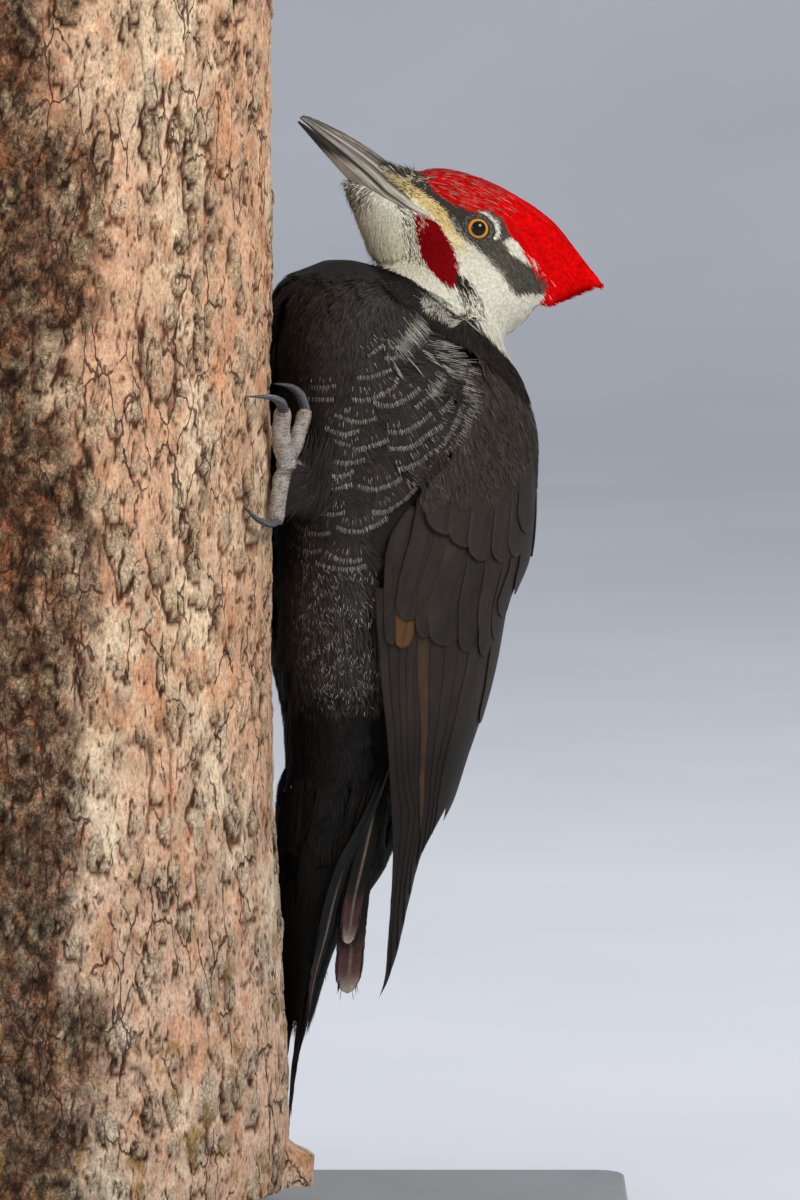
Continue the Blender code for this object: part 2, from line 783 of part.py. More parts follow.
def stand_base():
    """A flat plate with rounded corners."""
    long, wide, thick = BASE_SIZE
    outline = []
    for cx, cy, start in ((1, 1, 0), (-1, 1, 90), (-1, -1, 180), (1, -1, 270)):
        for a in spaced(start, start + 90, 4):
            outline.append(
                (
                    cx * (long / 2 - BASE_CORNER) + BASE_CORNER * math.cos(math.radians(a)),
                    cy * (wide / 2 - BASE_CORNER) + BASE_CORNER * math.sin(math.radians(a)),
                )
            )
    return loft([[Vector((x, y, z)) for x, y in outline] for z in (0, thick)])


def stand_rod(y):
    rings = []
    for z in (BASE_SIZE[2] + GAP, TRUNK_BOTTOM - GAP):
        middle = Vector((TRUNK_X, y, z))
        rings.append(ellipse(14, middle, Vector((ROD_RADIUS, 0, 0)), Vector((0, ROD_RADIUS, 0))))
    return loft(rings)


def main():
    for obj in list(bpy.data.objects):
        bpy.data.objects.remove(obj)
    upper, lower = mandible(UPPER_SHAPE, True), mandible(LOWER_SHAPE, False)
    eyes = {"left": eyeball(1), "right": eyeball(-1)}
    body = add_flesh((upper, lower), eyes.values())
    add("bill_upper", upper, "bill_horn")
    add("bill_lower", lower, "bill_horn")
    for name, side in (("left", 1), ("right", -1)):
        add(f"eye_{name}", eyes[name], "eye")
        add_wing(side, name, body)
        add_foot(side, name, body)
        for rank in TAIL:
            add(f"tail_{name}_{rank}", tail_feather(side, rank, body), "flight_feather")
    add("trunk_length", trunk(), "bark")
    base = add("stand_base", stand_base(), "stand", smooth=False)
    edge = base.modifiers.new("edge", "BEVEL")
    edge.width = BASE_EDGE
    edge.segments = 2
    add("stand_rod_front", stand_rod(-ROD_SPACING / 2), "stand")
    add("stand_rod_back", stand_rod(ROD_SPACING / 2), "stand")


main()
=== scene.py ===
"""Looks of the pileated woodpecker on its cut length of trunk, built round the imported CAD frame.

Frames, in metres with +Z up, repeat those of the CAD part:
  bird_point(d, l, u): d is distance out from the trunk's axis, l is to the bird's left, u is height.
  head_point(f, s, h): millimetres forward of the eyes, to the left, and up to the crown.
Skin first, then the coat as ribbons of barbs and hair, then vanes, bill, eyes, feet, bark and stage.
"""

import math

import bmesh
import bpy
import numpy as np
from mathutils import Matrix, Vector
from mathutils.bvhtree import BVHTree


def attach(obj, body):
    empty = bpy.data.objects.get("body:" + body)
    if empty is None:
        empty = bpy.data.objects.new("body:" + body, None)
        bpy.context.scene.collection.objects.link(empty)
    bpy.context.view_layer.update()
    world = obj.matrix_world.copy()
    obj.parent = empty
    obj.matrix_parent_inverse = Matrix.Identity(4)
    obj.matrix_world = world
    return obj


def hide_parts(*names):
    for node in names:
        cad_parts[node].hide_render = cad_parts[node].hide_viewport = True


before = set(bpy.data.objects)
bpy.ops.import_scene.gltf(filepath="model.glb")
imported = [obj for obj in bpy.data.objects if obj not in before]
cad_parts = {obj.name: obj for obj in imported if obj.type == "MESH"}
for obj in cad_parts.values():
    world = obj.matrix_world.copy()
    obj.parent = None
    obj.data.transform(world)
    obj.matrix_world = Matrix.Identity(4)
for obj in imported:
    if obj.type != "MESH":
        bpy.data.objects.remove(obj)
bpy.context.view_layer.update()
MM = 0.001
SEEDS = {"coat": 20, "long_coverts": 91, "undertail": 97, "thighs": 93, "flank": 77}
SEEDS |= {"wings": 41, "tail": 60, "nostrils": 8}
RNG = np.random.default_rng(SEEDS["coat"])

# ---------------------------------------------------------------- frames

TRUNK_X = -0.065
BIRD_TURN = math.radians(18)
HEAD_TURN = math.radians(12)
HEAD_RAISE = math.radians(34.8)
OUT = np.array([math.cos(BIRD_TURN), math.sin(BIRD_TURN), 0.0])
LEFT = np.array([math.sin(BIRD_TURN), -math.cos(BIRD_TURN), 0.0])
UP = np.array([0.0, 0.0, 1.0])
AXIS = np.array([TRUNK_X, 0.0, 0.0])
H_FORWARD = np.array(
    [
        -math.cos(HEAD_RAISE) * math.cos(HEAD_TURN),
        -math.cos(HEAD_RAISE) * math.sin(HEAD_TURN),
        math.sin(HEAD_RAISE),
    ]
)
H_LEFT = np.array([math.sin(HEAD_TURN), -math.cos(HEAD_TURN), 0.0])
H_UP = np.cross(H_FORWARD, H_LEFT)


def bird_point(d, l, u):
    d, l, u = (np.asarray(x, float)[..., None] for x in (d, l, u))
    return AXIS + d * OUT + l * LEFT + u * UP


EYES_AT = bird_point(0.1895, 0, 0.4105)


def head_point(f, s, h):
    f, s, h = (np.asarray(x, float)[..., None] * MM for x in (f, s, h))
    return EYES_AT + f * H_FORWARD + s * H_LEFT + h * H_UP


def in_bird(p):
    q = p - AXIS
    return q @ OUT, q @ LEFT, q @ UP


def in_head(p):
    q = (p - EYES_AT) / MM
    return q @ H_FORWARD, q @ H_LEFT, q @ H_UP


def trunk_point(degrees, r, z):
    a = math.radians(degrees)
    return np.array([TRUNK_X + r * math.cos(a), r * math.sin(a), z])


# ---------------------------------------------------------------- numbers


def unit(v):
    return v / np.maximum(np.linalg.norm(v, axis=-1, keepdims=True), 1e-12)


def smooth(lo, hi, x):
    t = np.clip((np.asarray(x, float) - lo) / (hi - lo), 0, 1)
    return t * t * (3 - 2 * t)


def mix(a, b, t):
    t = np.asarray(t, float)[..., None]
    return np.asarray(a) * (1 - t) + np.asarray(b) * t


def rgb(r, g, b):
    """An sRGB colour, 0 to 255, as linear values."""
    c = np.array([r, g, b]) / 255.0
    return np.where(c <= 0.04045, c / 12.92, ((c + 0.055) / 1.055) ** 2.4)


def through(table, t):
    """Rows of the table at keys t, smooth between rows and never overshooting."""
    rows = np.array(sorted(table), float)
    x, y = rows[:, 0], rows[:, 1:]
    t = np.clip(np.atleast_1d(np.asarray(t, float)), x[0], x[-1])
    step = np.diff(x)
    slopes = np.diff(y, axis=0) / step[:, None]
    m = np.zeros_like(y)
    m[0], m[-1] = slopes[0], slopes[-1]
    a, b = slopes[:-1], slopes[1:]
    same = a * b > 0
    m[1:-1] = np.where(same, 2 * a * b / np.where(same, a + b, 1), 0)
    i = np.clip(np.searchsorted(x, t, side="right") - 1, 0, len(x) - 2)
    s = ((t - x[i]) / step[i])[:, None]
    w = step[i][:, None]
    return (
        (2 * s**3 - 3 * s**2 + 1) * y[i]
        + (s**3 - 2 * s**2 + s) * w * m[i]
        + (3 * s**2 - 2 * s**3) * y[i + 1]
        + (s**3 - s**2) * w * m[i + 1]
    )


def hashed(*ints):
    """A repeatable number from 0 to 1 for each row of whole numbers."""
    n = np.zeros_like(np.asarray(ints[0]), dtype=np.uint32)
    for k, v in enumerate(ints):
        n = (n ^ (np.asarray(v).astype(np.int64) & 0xFFFFFFFF).astype(np.uint32)) * np.uint32(
            0x9E3779B1 + 2 * k
        )
        n ^= n >> np.uint32(15)
    n *= np.uint32(0x85EBCA6B)
    n ^= n >> np.uint32(13)
    return n.astype(float) / 4294967295.0


def noise2(x, y, seed=0, wrap=None):
    """Smooth value noise from -1 to 1; wrap is a whole number of cells round x."""
    xi, yi = np.floor(x), np.floor(y)
    fx, fy = x - xi, y - yi
    fx, fy = fx * fx * (3 - 2 * fx), fy * fy * (3 - 2 * fy)

    def at(dx, dy):
        cx = xi + dx
        if wrap:
            cx = np.mod(cx, wrap)
        return hashed(cx, yi + dy, np.full_like(xi, seed))

    low = at(0, 0) * (1 - fx) + at(1, 0) * fx
    high = at(0, 1) * (1 - fx) + at(1, 1) * fx
    return 2 * (low * (1 - fy) + high * fy) - 1


def fractal(x, y, octaves, seed=0, wrap=None):
    total, size = 0.0, 1.0
    for k in range(octaves):
        total = total + size * noise2(x * 2**k, y * 2**k, seed + 31 * k, wrap and wrap * 2**k)
        size *= 0.5
    return total


# ---------------------------------------------------------------- meshes


def point_vectors(mesh, name, vectors):
    layer = mesh.attributes.new(name, "FLOAT_VECTOR", "POINT")
    layer.data.foreach_set("vector", vectors.astype(np.float32).ravel())


def add_mesh(name, verts, faces, material, colour, uv, normals=None):
    """A mesh object riding on the root, from arrays. faces is a list of arrays, one for each size of face."""
    mesh = bpy.data.meshes.new(name)
    verts = np.ascontiguousarray(verts, np.float32)
    mesh.vertices.add(len(verts))
    mesh.vertices.foreach_set("co", verts.ravel())
    loops = np.concatenate([f.ravel() for f in faces]).astype(np.int32)
    counts = np.concatenate([np.full(len(f), f.shape[1]) for f in faces]).astype(np.int32)
    mesh.loops.add(len(loops))
    mesh.loops.foreach_set("vertex_index", loops)
    mesh.polygons.add(len(counts))
    mesh.polygons.foreach_set("loop_start", np.concatenate([[0], np.cumsum(counts)[:-1]]).astype(np.int32))
    mesh.polygons.foreach_set("use_smooth", np.ones(len(counts), bool))
    mesh.update(calc_edges=True)
    rgba = np.ones((len(verts), 4), np.float32)
    rgba[:, :3] = np.clip(colour, 0, 1)
    layer = mesh.color_attributes.new(name="Col", type="FLOAT_COLOR", domain="POINT")
    layer.data.foreach_set("color", rgba.ravel())
    layer = mesh.uv_layers.new(name="OFBake")
    layer.uv.foreach_set("vector", np.clip(uv, 0, 1).astype(np.float32)[loops].ravel())
    if normals is not None:
        point_vectors(mesh, "custom_normal", unit(normals))
    mesh.materials.append(material)
    obj = bpy.data.objects.new(name, mesh)
    bpy.context.scene.collection.objects.link(obj)
    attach(obj, "root")
    return obj


def grid_faces(rows, cols, closed):
    """Quads of a grid of points; closed joins the last column to the first."""
    r, c = np.meshgrid(np.arange(rows - 1), np.arange(cols if closed else cols - 1), indexing="ij")
    n = (c + 1) % cols
    return np.stack([r * cols + c, r * cols + n, (r + 1) * cols + n, (r + 1) * cols + c], -1).reshape(-1, 4)


def tube(rings, uv_box=(0, 0, 1, 1)):
    """Points, faces and UVs of a closed loft over rings, an array (rows, sides, 3). Its ends' middles come last."""
    rows, sides = rings.shape[:2]
    verts = np.concatenate([rings.reshape(-1, 3), rings[0].mean(0)[None], rings[-1].mean(0)[None]])
    v, u = np.meshgrid(np.arange(rows) / (rows - 1), np.arange(sides) / sides, indexing="ij")
    u = np.abs(2 * u - 1)
    uv = np.stack([uv_box[0] + u * uv_box[2], uv_box[1] + v * uv_box[3]], -1)
    j = np.arange(sides)
    k = (j + 1) % sides
    end = (rows - 1) * sides
    first = np.stack([np.full(sides, rows * sides), k, j], -1)
    last = np.stack([np.full(sides, rows * sides + 1), end + j, end + k], -1)
    faces = [grid_faces(rows, sides, True), np.concatenate([first, last])]
    inside = np.einsum(
        "ij,ij->i",
        np.cross(rings[1:, :] - rings[:-1, :], np.roll(rings[:-1], -1, 1) - rings[:-1]).reshape(-1, 3),
        (rings[:-1] - rings[:-1].mean(1, keepdims=True)).reshape(-1, 3),
    ).sum()
    if inside > 0:
        faces = [f[:, ::-1] for f in faces]
    return verts, faces, with_ends(uv)


def with_ends(values):
    """The values of a loft's points, and those of its two ends."""
    flat = values.reshape(-1, values.shape[-1])
    return np.concatenate([flat, flat[:1], flat[-1:]])


class Parts:
    """Gathers points, faces, colours and UVs of one object."""

    def __init__(self):
        self.verts, self.faces, self.colours, self.uvs, self.normals, self.count = [], {}, [], [], [], 0

    def add(self, verts, faces, colour, uv, normals=None):
        if normals is not None:
            self.normals.append(normals)
        for f in faces if isinstance(faces, list) else [faces]:
            self.faces.setdefault(f.shape[1], []).append(f + self.count)
        self.verts.append(verts)
        self.colours.append(np.broadcast_to(colour, verts.shape))
        self.uvs.append(uv)
        self.count += len(verts)

    def make(self, name, material, slot):
        faces = [np.concatenate(f) for f in self.faces.values()]
        verts, colour, uv = (np.concatenate(v) for v in (self.verts, self.colours, self.uvs))
        normals = np.concatenate(self.normals) if self.normals else None
        return add_mesh(name, verts, faces, material, colour, uv, normals)


def loft(name, rings, colour, material, slot):
    """A closed loft over rings, as an object in these colours."""
    verts, faces, uv = tube(rings)
    parts = Parts()
    parts.add(verts, faces, with_ends(colour), uv)
    return parts.make(name, material, slot)


def evaluated_arrays(obj):
    bpy.context.view_layer.update()
    mesh = obj.evaluated_get(bpy.context.evaluated_depsgraph_get()).to_mesh()
    mesh.calc_loop_triangles()
    verts = np.empty(len(mesh.vertices) * 3, np.float32)
    mesh.vertices.foreach_get("co", verts)
    tris = np.empty(len(mesh.loop_triangles) * 3, np.int32)
    mesh.loop_triangles.foreach_get("vertices", tris)
    return verts.reshape(-1, 3).astype(float), tris.reshape(-1, 3)


def fused(lofts, voxel, rounds):
    """Closed lofts made one surface and smoothed, as points and triangles."""
    bm = bmesh.new()
    for rings in lofts:
        rows = [[bm.verts.new(p) for p in ring] for ring in rings]
        for low, high in zip(rows, rows[1:]):
            for j in range(len(low)):
                k = (j + 1) % len(low)
                bm.faces.new((low[j], low[k], high[k], high[j]))
        bm.faces.new(rows[0])
        bm.faces.new(rows[-1])
    bmesh.ops.recalc_face_normals(bm, faces=bm.faces)
    mesh = bpy.data.meshes.new("fused")
    bm.to_mesh(mesh)
    bm.free()
    obj = bpy.data.objects.new("fused", mesh)
    bpy.context.scene.collection.objects.link(obj)
    remesh = obj.modifiers.new("one_surface", "REMESH")
    remesh.mode = "VOXEL"
    remesh.voxel_size = voxel
    soften = obj.modifiers.new("soften", "SMOOTH")
    soften.factor = 0.5
    soften.iterations = rounds
    verts, tris = evaluated_arrays(obj)
    bpy.data.objects.remove(obj)
    return verts, tris


class Surface:
    """Nearest points and smooth normals on a triangle mesh."""

    def __init__(self, verts, tris):
        self.verts, self.tris = verts, tris
        self.tree = BVHTree.FromPolygons([tuple(v) for v in verts], [tuple(int(i) for i in t) for t in tris])
        face = np.cross(verts[tris[:, 1]] - verts[tris[:, 0]], verts[tris[:, 2]] - verts[tris[:, 0]])
        normals = np.zeros_like(verts)
        for k in range(3):
            np.add.at(normals, tris[:, k], face)
        self.normals = unit(normals)
        self.areas = np.linalg.norm(face, axis=1) / 2

    def nearest(self, points):
        shape = points.shape
        points = points.reshape(-1, 3)
        find = self.tree.find_nearest
        hits = [find(p) for p in points.tolist()]
        at = np.array([h[0][:] for h in hits])
        face = self.tris[np.array([h[2] for h in hits])]
        gap = np.linalg.norm(self.verts[face] - at[:, None], axis=2) + 1e-5
        weight = (1 / gap) / (1 / gap).sum(1, keepdims=True)
        normal = unit((self.normals[face] * weight[..., None]).sum(1))
        return at.reshape(shape), normal.reshape(shape)

    def cast(self, points, direction):
        """Where rays from the points meet the surface, and its normals there."""
        toward = tuple(direction)
        hits = [self.tree.ray_cast(p, toward) for p in points.tolist()]
        at = np.array([h[0][:] if h[0] is not None else p for h, p in zip(hits, points)])
        return self.nearest(at)

    def sample(self, count, rng):
        """count random points, even by area."""
        chosen = rng.choice(len(self.tris), count, p=self.areas / self.areas.sum())
        a, b = rng.random(count), rng.random(count)
        flip = a + b > 1
        a, b = np.where(flip, 1 - a, a), np.where(flip, 1 - b, b)
        t = self.tris[chosen]
        w = np.stack([1 - a - b, a, b], -1)[..., None]
        return (self.verts[t] * w).sum(1), unit((self.normals[t] * w).sum(1))


# ---------------------------------------------------------------- body tables, as in the CAD part

TORSO = [  # height, centre's distance, half depth, half width
    (0.3985, 0.1330, 0.004, 0.006),
    (0.3955, 0.1345, 0.017, 0.024),
    (0.3885, 0.1390, 0.030, 0.037),
    (0.3790, 0.1435, 0.0385, 0.0425),
    (0.3630, 0.1500, 0.0465, 0.0450),
    (0.3440, 0.1545, 0.0510, 0.0460),
    (0.3200, 0.1570, 0.0530, 0.0460),
    (0.2900, 0.1560, 0.0520, 0.0460),
    (0.2600, 0.1500, 0.0460, 0.0435),
    (0.2350, 0.1440, 0.0385, 0.0370),
    (0.2130, 0.1420, 0.0325, 0.0305),
    (0.1900, 0.1390, 0.0285, 0.0255),
    (0.1740, 0.1320, 0.0240, 0.0205),
    (0.1620, 0.1270, 0.0185, 0.0160),
    (0.1540, 0.1225, 0.0125, 0.0110),
    (0.1480, 0.1195, 0.0060, 0.0060),
    (0.1450, 0.1185, 0.0020, 0.0030),
]
BELLY_SQUARE = [(0.145, 2.0), (0.2, 2.2), (0.25, 2.9), (0.3, 3.6), (0.35, 3.2), (0.38, 2.4), (0.3985, 2.0)]
THIGH = [(0.1320, 0.0270, 0.2980, 0.0125), (0.1190, 0.0345, 0.3060, 0.0105), (0.1085, 0.0395, 0.3120, 0.0060)]
NECK = [  # key, distance, height, half length, half width
    (0, 0.1600, 0.3580, 0.0330, 0.0340),
    (1, 0.1672, 0.3730, 0.0330, 0.0310),
    (2, 0.1757, 0.3805, 0.0320, 0.0280),
    (3, 0.1860, 0.3887, 0.0308, 0.0245),
    (4, 0.1885, 0.4000, 0.0290, 0.0200),
]
NECK_LEAN = math.radians(24)
HEAD = [  # forward, crown, throat, half width
    (57.0, -13.4, -14.4, 0.8),
    (53.0, -12.6, -16.0, 3.0),
    (48.5, -7.0, -19.6, 5.6),
    (44.5, 1.6, -22.2, 7.0),
    (38.0, 3.4, -26.4, 9.2),
    (30.0, 8.0, -32.0, 11.2),
    (20.0, 13.6, -36.5, 13.4),
    (8.0, 17.6, -39.0, 15.4),
    (-5.0, 19.0, -39.0, 16.8),
    (-18.0, 15.0, -37.0, 16.8),
    (-29.0, 8.0, -33.0, 14.0),
    (-38.0, -4.0, -27.0, 8.0),
    (-41.0, -12.0, -19.0, 2.0),
]
CREST = [
    (33.6, 4.6, 1.0, 2.0),
    (27.6, 10.6, 2.0, 5.0),
    (18.3, 15.9, 3.0, 8.0),
    (8.3, 19.2, 3.0, 10.0),
    (-4.5, 21.4, 0.0, 11.2),
    (-18.5, 21.8, -7.0, 9.8),
    (-28.0, 19.9, -10.0, 8.2),
    (-36.5, 16.9, -11.0, 6.4),
    (-42.0, 14.9, -10.6, 4.8),
    (-46.5, 13.6, -5.0, 3.4),
    (-51.0, 12.5, 1.6, 2.2),
    (-56.0, 11.0, 7.4, 1.2),
    (-59.0, 9.8, 8.8, 0.6),
]
# The blade's thin rear shrinks when it is fused, so it is fused from a fuller shape.
CREST_FULL = [
    (
        f * (1.01 if f < -50 else 1.0),
        top + 2.9 * max(0.0, min(1.0, (-14 - f) / 26)),
        low + (1.6 if f < -50 else 0.0),
        max(wide, 1.5),
    )
    for f, top, low, wide in CREST
]
UNDERTAIL = [  # height, middle's distance, half depth and half width of the loose feathers under the tail's root
    (0.200, 0.1400, 0.0290, 0.0245),
    (0.186, 0.1355, 0.0290, 0.0228),
    (0.170, 0.1325, 0.0266, 0.0212),
    (0.160, 0.1305, 0.0260, 0.0212),
    (0.150, 0.1290, 0.0235, 0.0208),
    (0.130, 0.1218, 0.0160, 0.0190),
    (0.110, 0.1166, 0.0105, 0.0160),
    (0.088, 0.1140, 0.0065, 0.0125),
    (0.068, 0.1118, 0.0022, 0.0085),
]
WING = [  # height, centre's distance, half depth, half width, degrees of front edge, line and back edge
    (0.3650, 0.1515, 0.0470, 0.0480, 124, 134, 154),
    (0.3580, 0.1525, 0.0490, 0.0495, 117, 132, 164),
    (0.3487, 0.1555, 0.0515, 0.0505, 111, 128, 168),
    (0.3241, 0.1585, 0.0564, 0.0508, 100, 120, 168),
    (0.2995, 0.1575, 0.0568, 0.0508, 78, 102, 166),
    (0.2850, 0.1570, 0.0560, 0.0506, 69, 92, 162),
    (0.2749, 0.1560, 0.0550, 0.0502, 68, 90, 157),
    (0.2585, 0.1530, 0.0510, 0.0485, 70, 92, 147),
    (0.2339, 0.1500, 0.0490, 0.0450, 75, 97, 141),
    (0.2134, 0.1480, 0.0455, 0.0420, 79, 101, 137),
    (0.1930, 0.1460, 0.0400, 0.0390, 81, 104, 136),
    (0.1765, 0.1450, 0.0350, 0.0370, 84, 110, 134),
    (0.1650, 0.1445, 0.0290, 0.0355, 88, 114, 122),
    (0.1519, 0.1440, 0.0220, 0.0340, 92, 119, 120),
    (0.1232, 0.1430, 0.0150, 0.0310, 91, 113, 114),
    (0.0974, 0.1402, 0.0110, 0.0285, 93, 99, 100),
]


RING = 40  # points round one ring of the body
LEAST_HALF = 0.0012  # a ring's least half size
BY_TRUNK = 0.1055  # nothing under the tail comes nearer to the trunk's axis


def superellipse(middle, across, up, power):
    a = 2 * np.pi * np.arange(RING) / RING
    c, s = np.cos(a), np.sin(a)
    x = np.sign(c) * np.abs(c) ** (2 / power)
    y = np.sign(s) * np.abs(s) ** (2 / power)
    return middle + x[:, None] * across + y[:, None] * up


def torso_rings(inset):
    rings = []
    for u in np.linspace(0.1455, 0.3980, 44):
        d, depth, width = through(TORSO, u)[0]
        k = inset * smooth(0.145, 0.18, u) * smooth(0.3990, 0.388, u)
        depth, width = max(depth - k, LEAST_HALF), max(width - k, LEAST_HALF)
        power = float(through(BELLY_SQUARE, u)[0][0])
        middle = bird_point(d, 0, u)
        back = superellipse(middle, depth * OUT, width * LEFT, 2.0)
        belly = superellipse(middle, depth * OUT, width * LEFT, power)
        q = RING // 4
        back[q : 3 * q + 1] = belly[q : 3 * q + 1]
        rings.append(back)
    return np.array(rings)


def undertail_rings(inset):
    rings = []
    for u in np.linspace(0.097, 0.176, 24):
        d, depth, width = through(UNDERTAIL, u)[0]
        depth, width = max(depth - inset, LEAST_HALF), max(width - inset, LEAST_HALF)
        rings.append(superellipse(bird_point(max(d, BY_TRUNK + depth), 0, u), depth * OUT, width * LEFT, 2.0))
    return np.array(rings)


def neck_rings(inset):
    rings = []
    for t in np.linspace(0, 4, 16):
        d, u, length, width = through(NECK, t)[0]
        along = math.cos(NECK_LEAN) * OUT - math.sin(NECK_LEAN) * UP
        rings.append(superellipse(bird_point(d, 0, u), (length - inset) * along, (width - inset) * LEFT, 2.0))
    return np.array(rings)


def head_rings(table, crown_in, throat_in, side_in, power, first, last):
    rings = []
    for f in np.linspace(first, last, 40):
        top, bottom, width = through(table, f)[0]
        top, bottom = top - crown_in, bottom + throat_in
        if top - bottom < 0.8:
            top = bottom = (top + bottom) / 2
            top, bottom = top + 0.4, bottom - 0.4
        middle = head_point(f, 0, (top + bottom) / 2)
        across = max(width - side_in, 0.5) * MM * H_LEFT
        rings.append(superellipse(middle, across, MM * (top - bottom) / 2 * H_UP, power))
    return np.array(rings)


def thigh_rings(side, inset):
    rows = np.linspace(0, 2, 12)
    table = [(i, *r) for i, r in enumerate(THIGH)]
    at = through(table, rows)
    centres = bird_point(at[:, 0], side * at[:, 1], at[:, 2])
    rings = []
    for i, c in enumerate(centres):
        t = unit(centres[min(i + 1, len(rows) - 1)] - centres[max(i - 1, 0)])
        across = unit(np.cross(t, UP))
        r = max(at[i, 3] - inset, 0.002)
        rings.append(superellipse(c, across * r, np.cross(across, t) * r, 2.0))
    return np.array(rings)


def wing_rings(out):
    """The folded wings' upper part: a shell round the back that stands out from behind each wing's front edge."""
    rings = []
    a = np.linspace(-180, 180, 120, endpoint=False)
    for u in np.linspace(0.262, 0.376, 40):
        c, r1, r2, front = through(WING, u)[0][:4]
        inner = -0.006 + (0.006 + out) * smooth(front - 11, front + 3, np.abs(a))
        inner = inner - 0.004 * smooth(0.366, 0.378, u)
        x, y = np.cos(np.radians(a)), np.sin(np.radians(a))
        rings.append(bird_point(c - (r1 + inner) * x, (r2 + inner) * y, np.full(len(a), u)))
    return np.array(rings)


ENVELOPE_VOXEL, ENVELOPE_ROUNDS = 0.0015, 4  # cell of the surface made of the lofts, and rounds of smoothing
SKIN_VOXEL, SKIN_ROUNDS = 0.0016, 3
ENVELOPE = Surface(
    *fused(
        [
            torso_rings(0.0),
            wing_rings(0.0019),
            neck_rings(0.0),
            head_rings(HEAD, 0, 0, 0, 2.0, 57.0, -41.0),
            head_rings(CREST_FULL, 0, 0, 0, 2.2, 33.6, -59.5),
            thigh_rings(1, 0),
            thigh_rings(-1, 0),
        ],
        ENVELOPE_VOXEL,
        ENVELOPE_ROUNDS,
    )
)

# ---------------------------------------------------------------- markings

C_BLACK = rgb(43, 38, 34)
C_BLACK_LOW = rgb(16, 14, 13)
C_WHITE = rgb(226, 221, 202)
C_CREAM = rgb(220, 208, 174)
C_YELLOW = rgb(228, 192, 88)
C_LORE = rgb(72, 67, 60)
C_EAR = rgb(74, 71, 61)
C_EAR_LIGHT = rgb(132, 126, 112)
C_RED = rgb(244, 6, 8)
C_RED_DARK = rgb(190, 12, 14)
C_MALAR = rgb(116, 1, 8)
C_FRINGE = rgb(206, 200, 184)
C_CHIN = rgb(118, 108, 94)
C_CHIN_TIP = rgb(60, 54, 48)
C_HAIR_GREY = rgb(104, 98, 88)
C_WING = rgb(42, 36, 31)
C_WING_EDGE = rgb(68, 58, 49)
C_WING_DEEP = rgb(27, 24, 21)
C_SHAFT = rgb(26, 23, 20)
C_AMBER = rgb(86, 60, 34)
C_BROWN = rgb(70, 50, 36)

RED_EDGE = [  # forward, height of the red's lower border
    (-60, -9.5),
    (-44, -10.5),
    (-40.7, -8.0),
    (-38.7, -2.3),
    (-34.3, 1.8),
    (-27.1, 4.2),
    (-20.0, 4.3),
    (-12.2, 6.1),
    (-6.5, 9.0),
    (-2.0, 10.0),
    (5.4, 8.1),
    (9.8, 5.1),
    (14.5, 2.7),
    (20.3, 2.4),
    (24.1, 2.9),
    (27.5, 4.1),
    (30.7, 4.9),
    (32.8, 5.8),
]
FACE_BLACK = [
    (42.0, 3.2),
    (36.0, 5.0),
    (30.0, 7.5),
    (24.0, 9.0),
    (14.0, 8.0),
    (5.0, 12.0),
    (-4.0, 12.0),
    (-10.5, 8.0),
    (-12.4, 5.4),
    (-11.0, 1.8),
    (-16.1, -0.3),
    (-22.5, 0.2),
    (-31.0, 1.3),
    (-35.0, 0.8),
    (-38.5, -1.9),
    (-39.5, -5.5),
    (-34.1, -8.0),
    (-28.6, -12.4),
    (-23.5, -12.9),
    (-16.4, -9.8),
    (-9.2, -8.5),
    (-2.5, -7.0),
    (2.5, -6.8),
    (8.1, -5.9),
    (12.5, -3.4),
    (15.5, -1.4),
    (19.3, -0.7),
    (24.7, -0.6),
    (29.7, -0.6),
    (35.1, 0.0),
    (41.0, 0.0),
]
YELLOW = [
    (44.0, 0.2),
    (37.3, -0.2),
    (29.1, -0.8),
    (23.4, -0.8),
    (17.6, -0.9),
    (14.1, -2.0),
    (9.5, -4.5),
    (12.0, -8.0),
    (15.9, -6.2),
    (20.9, -5.2),
    (26.4, -4.2),
    (32.6, -3.6),
    (40.0, -2.8),
]
MALAR = [
    (26.0, -9.6),
    (21.1, -6.7),
    (14.3, -7.3),
    (9.3, -10.2),
    (5.0, -13.4),
    (1.4, -16.4),
    (-1.2, -20.0),
    (-2.4, -24.4),
    (-0.6, -26.6),
    (3.2, -26.6),
    (9.0, -25.4),
    (13.4, -22.8),
    (17.5, -18.2),
    (21.8, -14.6),
]
NECK_BLACK = [
    (0.6, -20.4),
    (-4.4, -19.6),
    (-10.0, -20.8),
    (-17.5, -24.7),
    (-19.5, -28.7),
    (-18.5, -33.5),
    (-12.1, -33.4),
    (-7.0, -28.0),
    (-3.0, -25.4),
]
CRESCENT = [(4.1, 5.3), (1.3, 7.0), (-3.8, 6.9), (-7.3, 3.9), (-7.4, 1.4)]
NECK_LINE = 0.5116
NECK_LINE_SLOPE = 0.77


def inside(polygon, x, y):
    poly = np.array(polygon, float)
    found = np.zeros(x.shape, bool)
    for (x0, y0), (x1, y1) in zip(poly, np.roll(poly, -1, 0)):
        crosses = (y0 > y) != (y1 > y)
        where = x < (x1 - x0) * (y - y0) / ((y1 - y0) if y1 != y0 else 1e-9) + x0
        found ^= crosses & where
    return found


def to_path(path, x, y):
    """Distance from points to a line of points."""
    best = np.full(x.shape, 1e9)
    for (x0, y0), (x1, y1) in zip(path, path[1:]):
        dx, dy = x1 - x0, y1 - y0
        t = np.clip(((x - x0) * dx + (y - y0) * dy) / (dx * dx + dy * dy), 0, 1)
        best = np.minimum(best, np.hypot(x - x0 - t * dx, y - y0 - t * dy))
    return best


def above_neck_line(p):
    """How far points lie above the line between the white neck and the black breast, in metres."""
    d, _, u = in_bird(p)
    return u + NECK_LINE_SLOPE * d - NECK_LINE


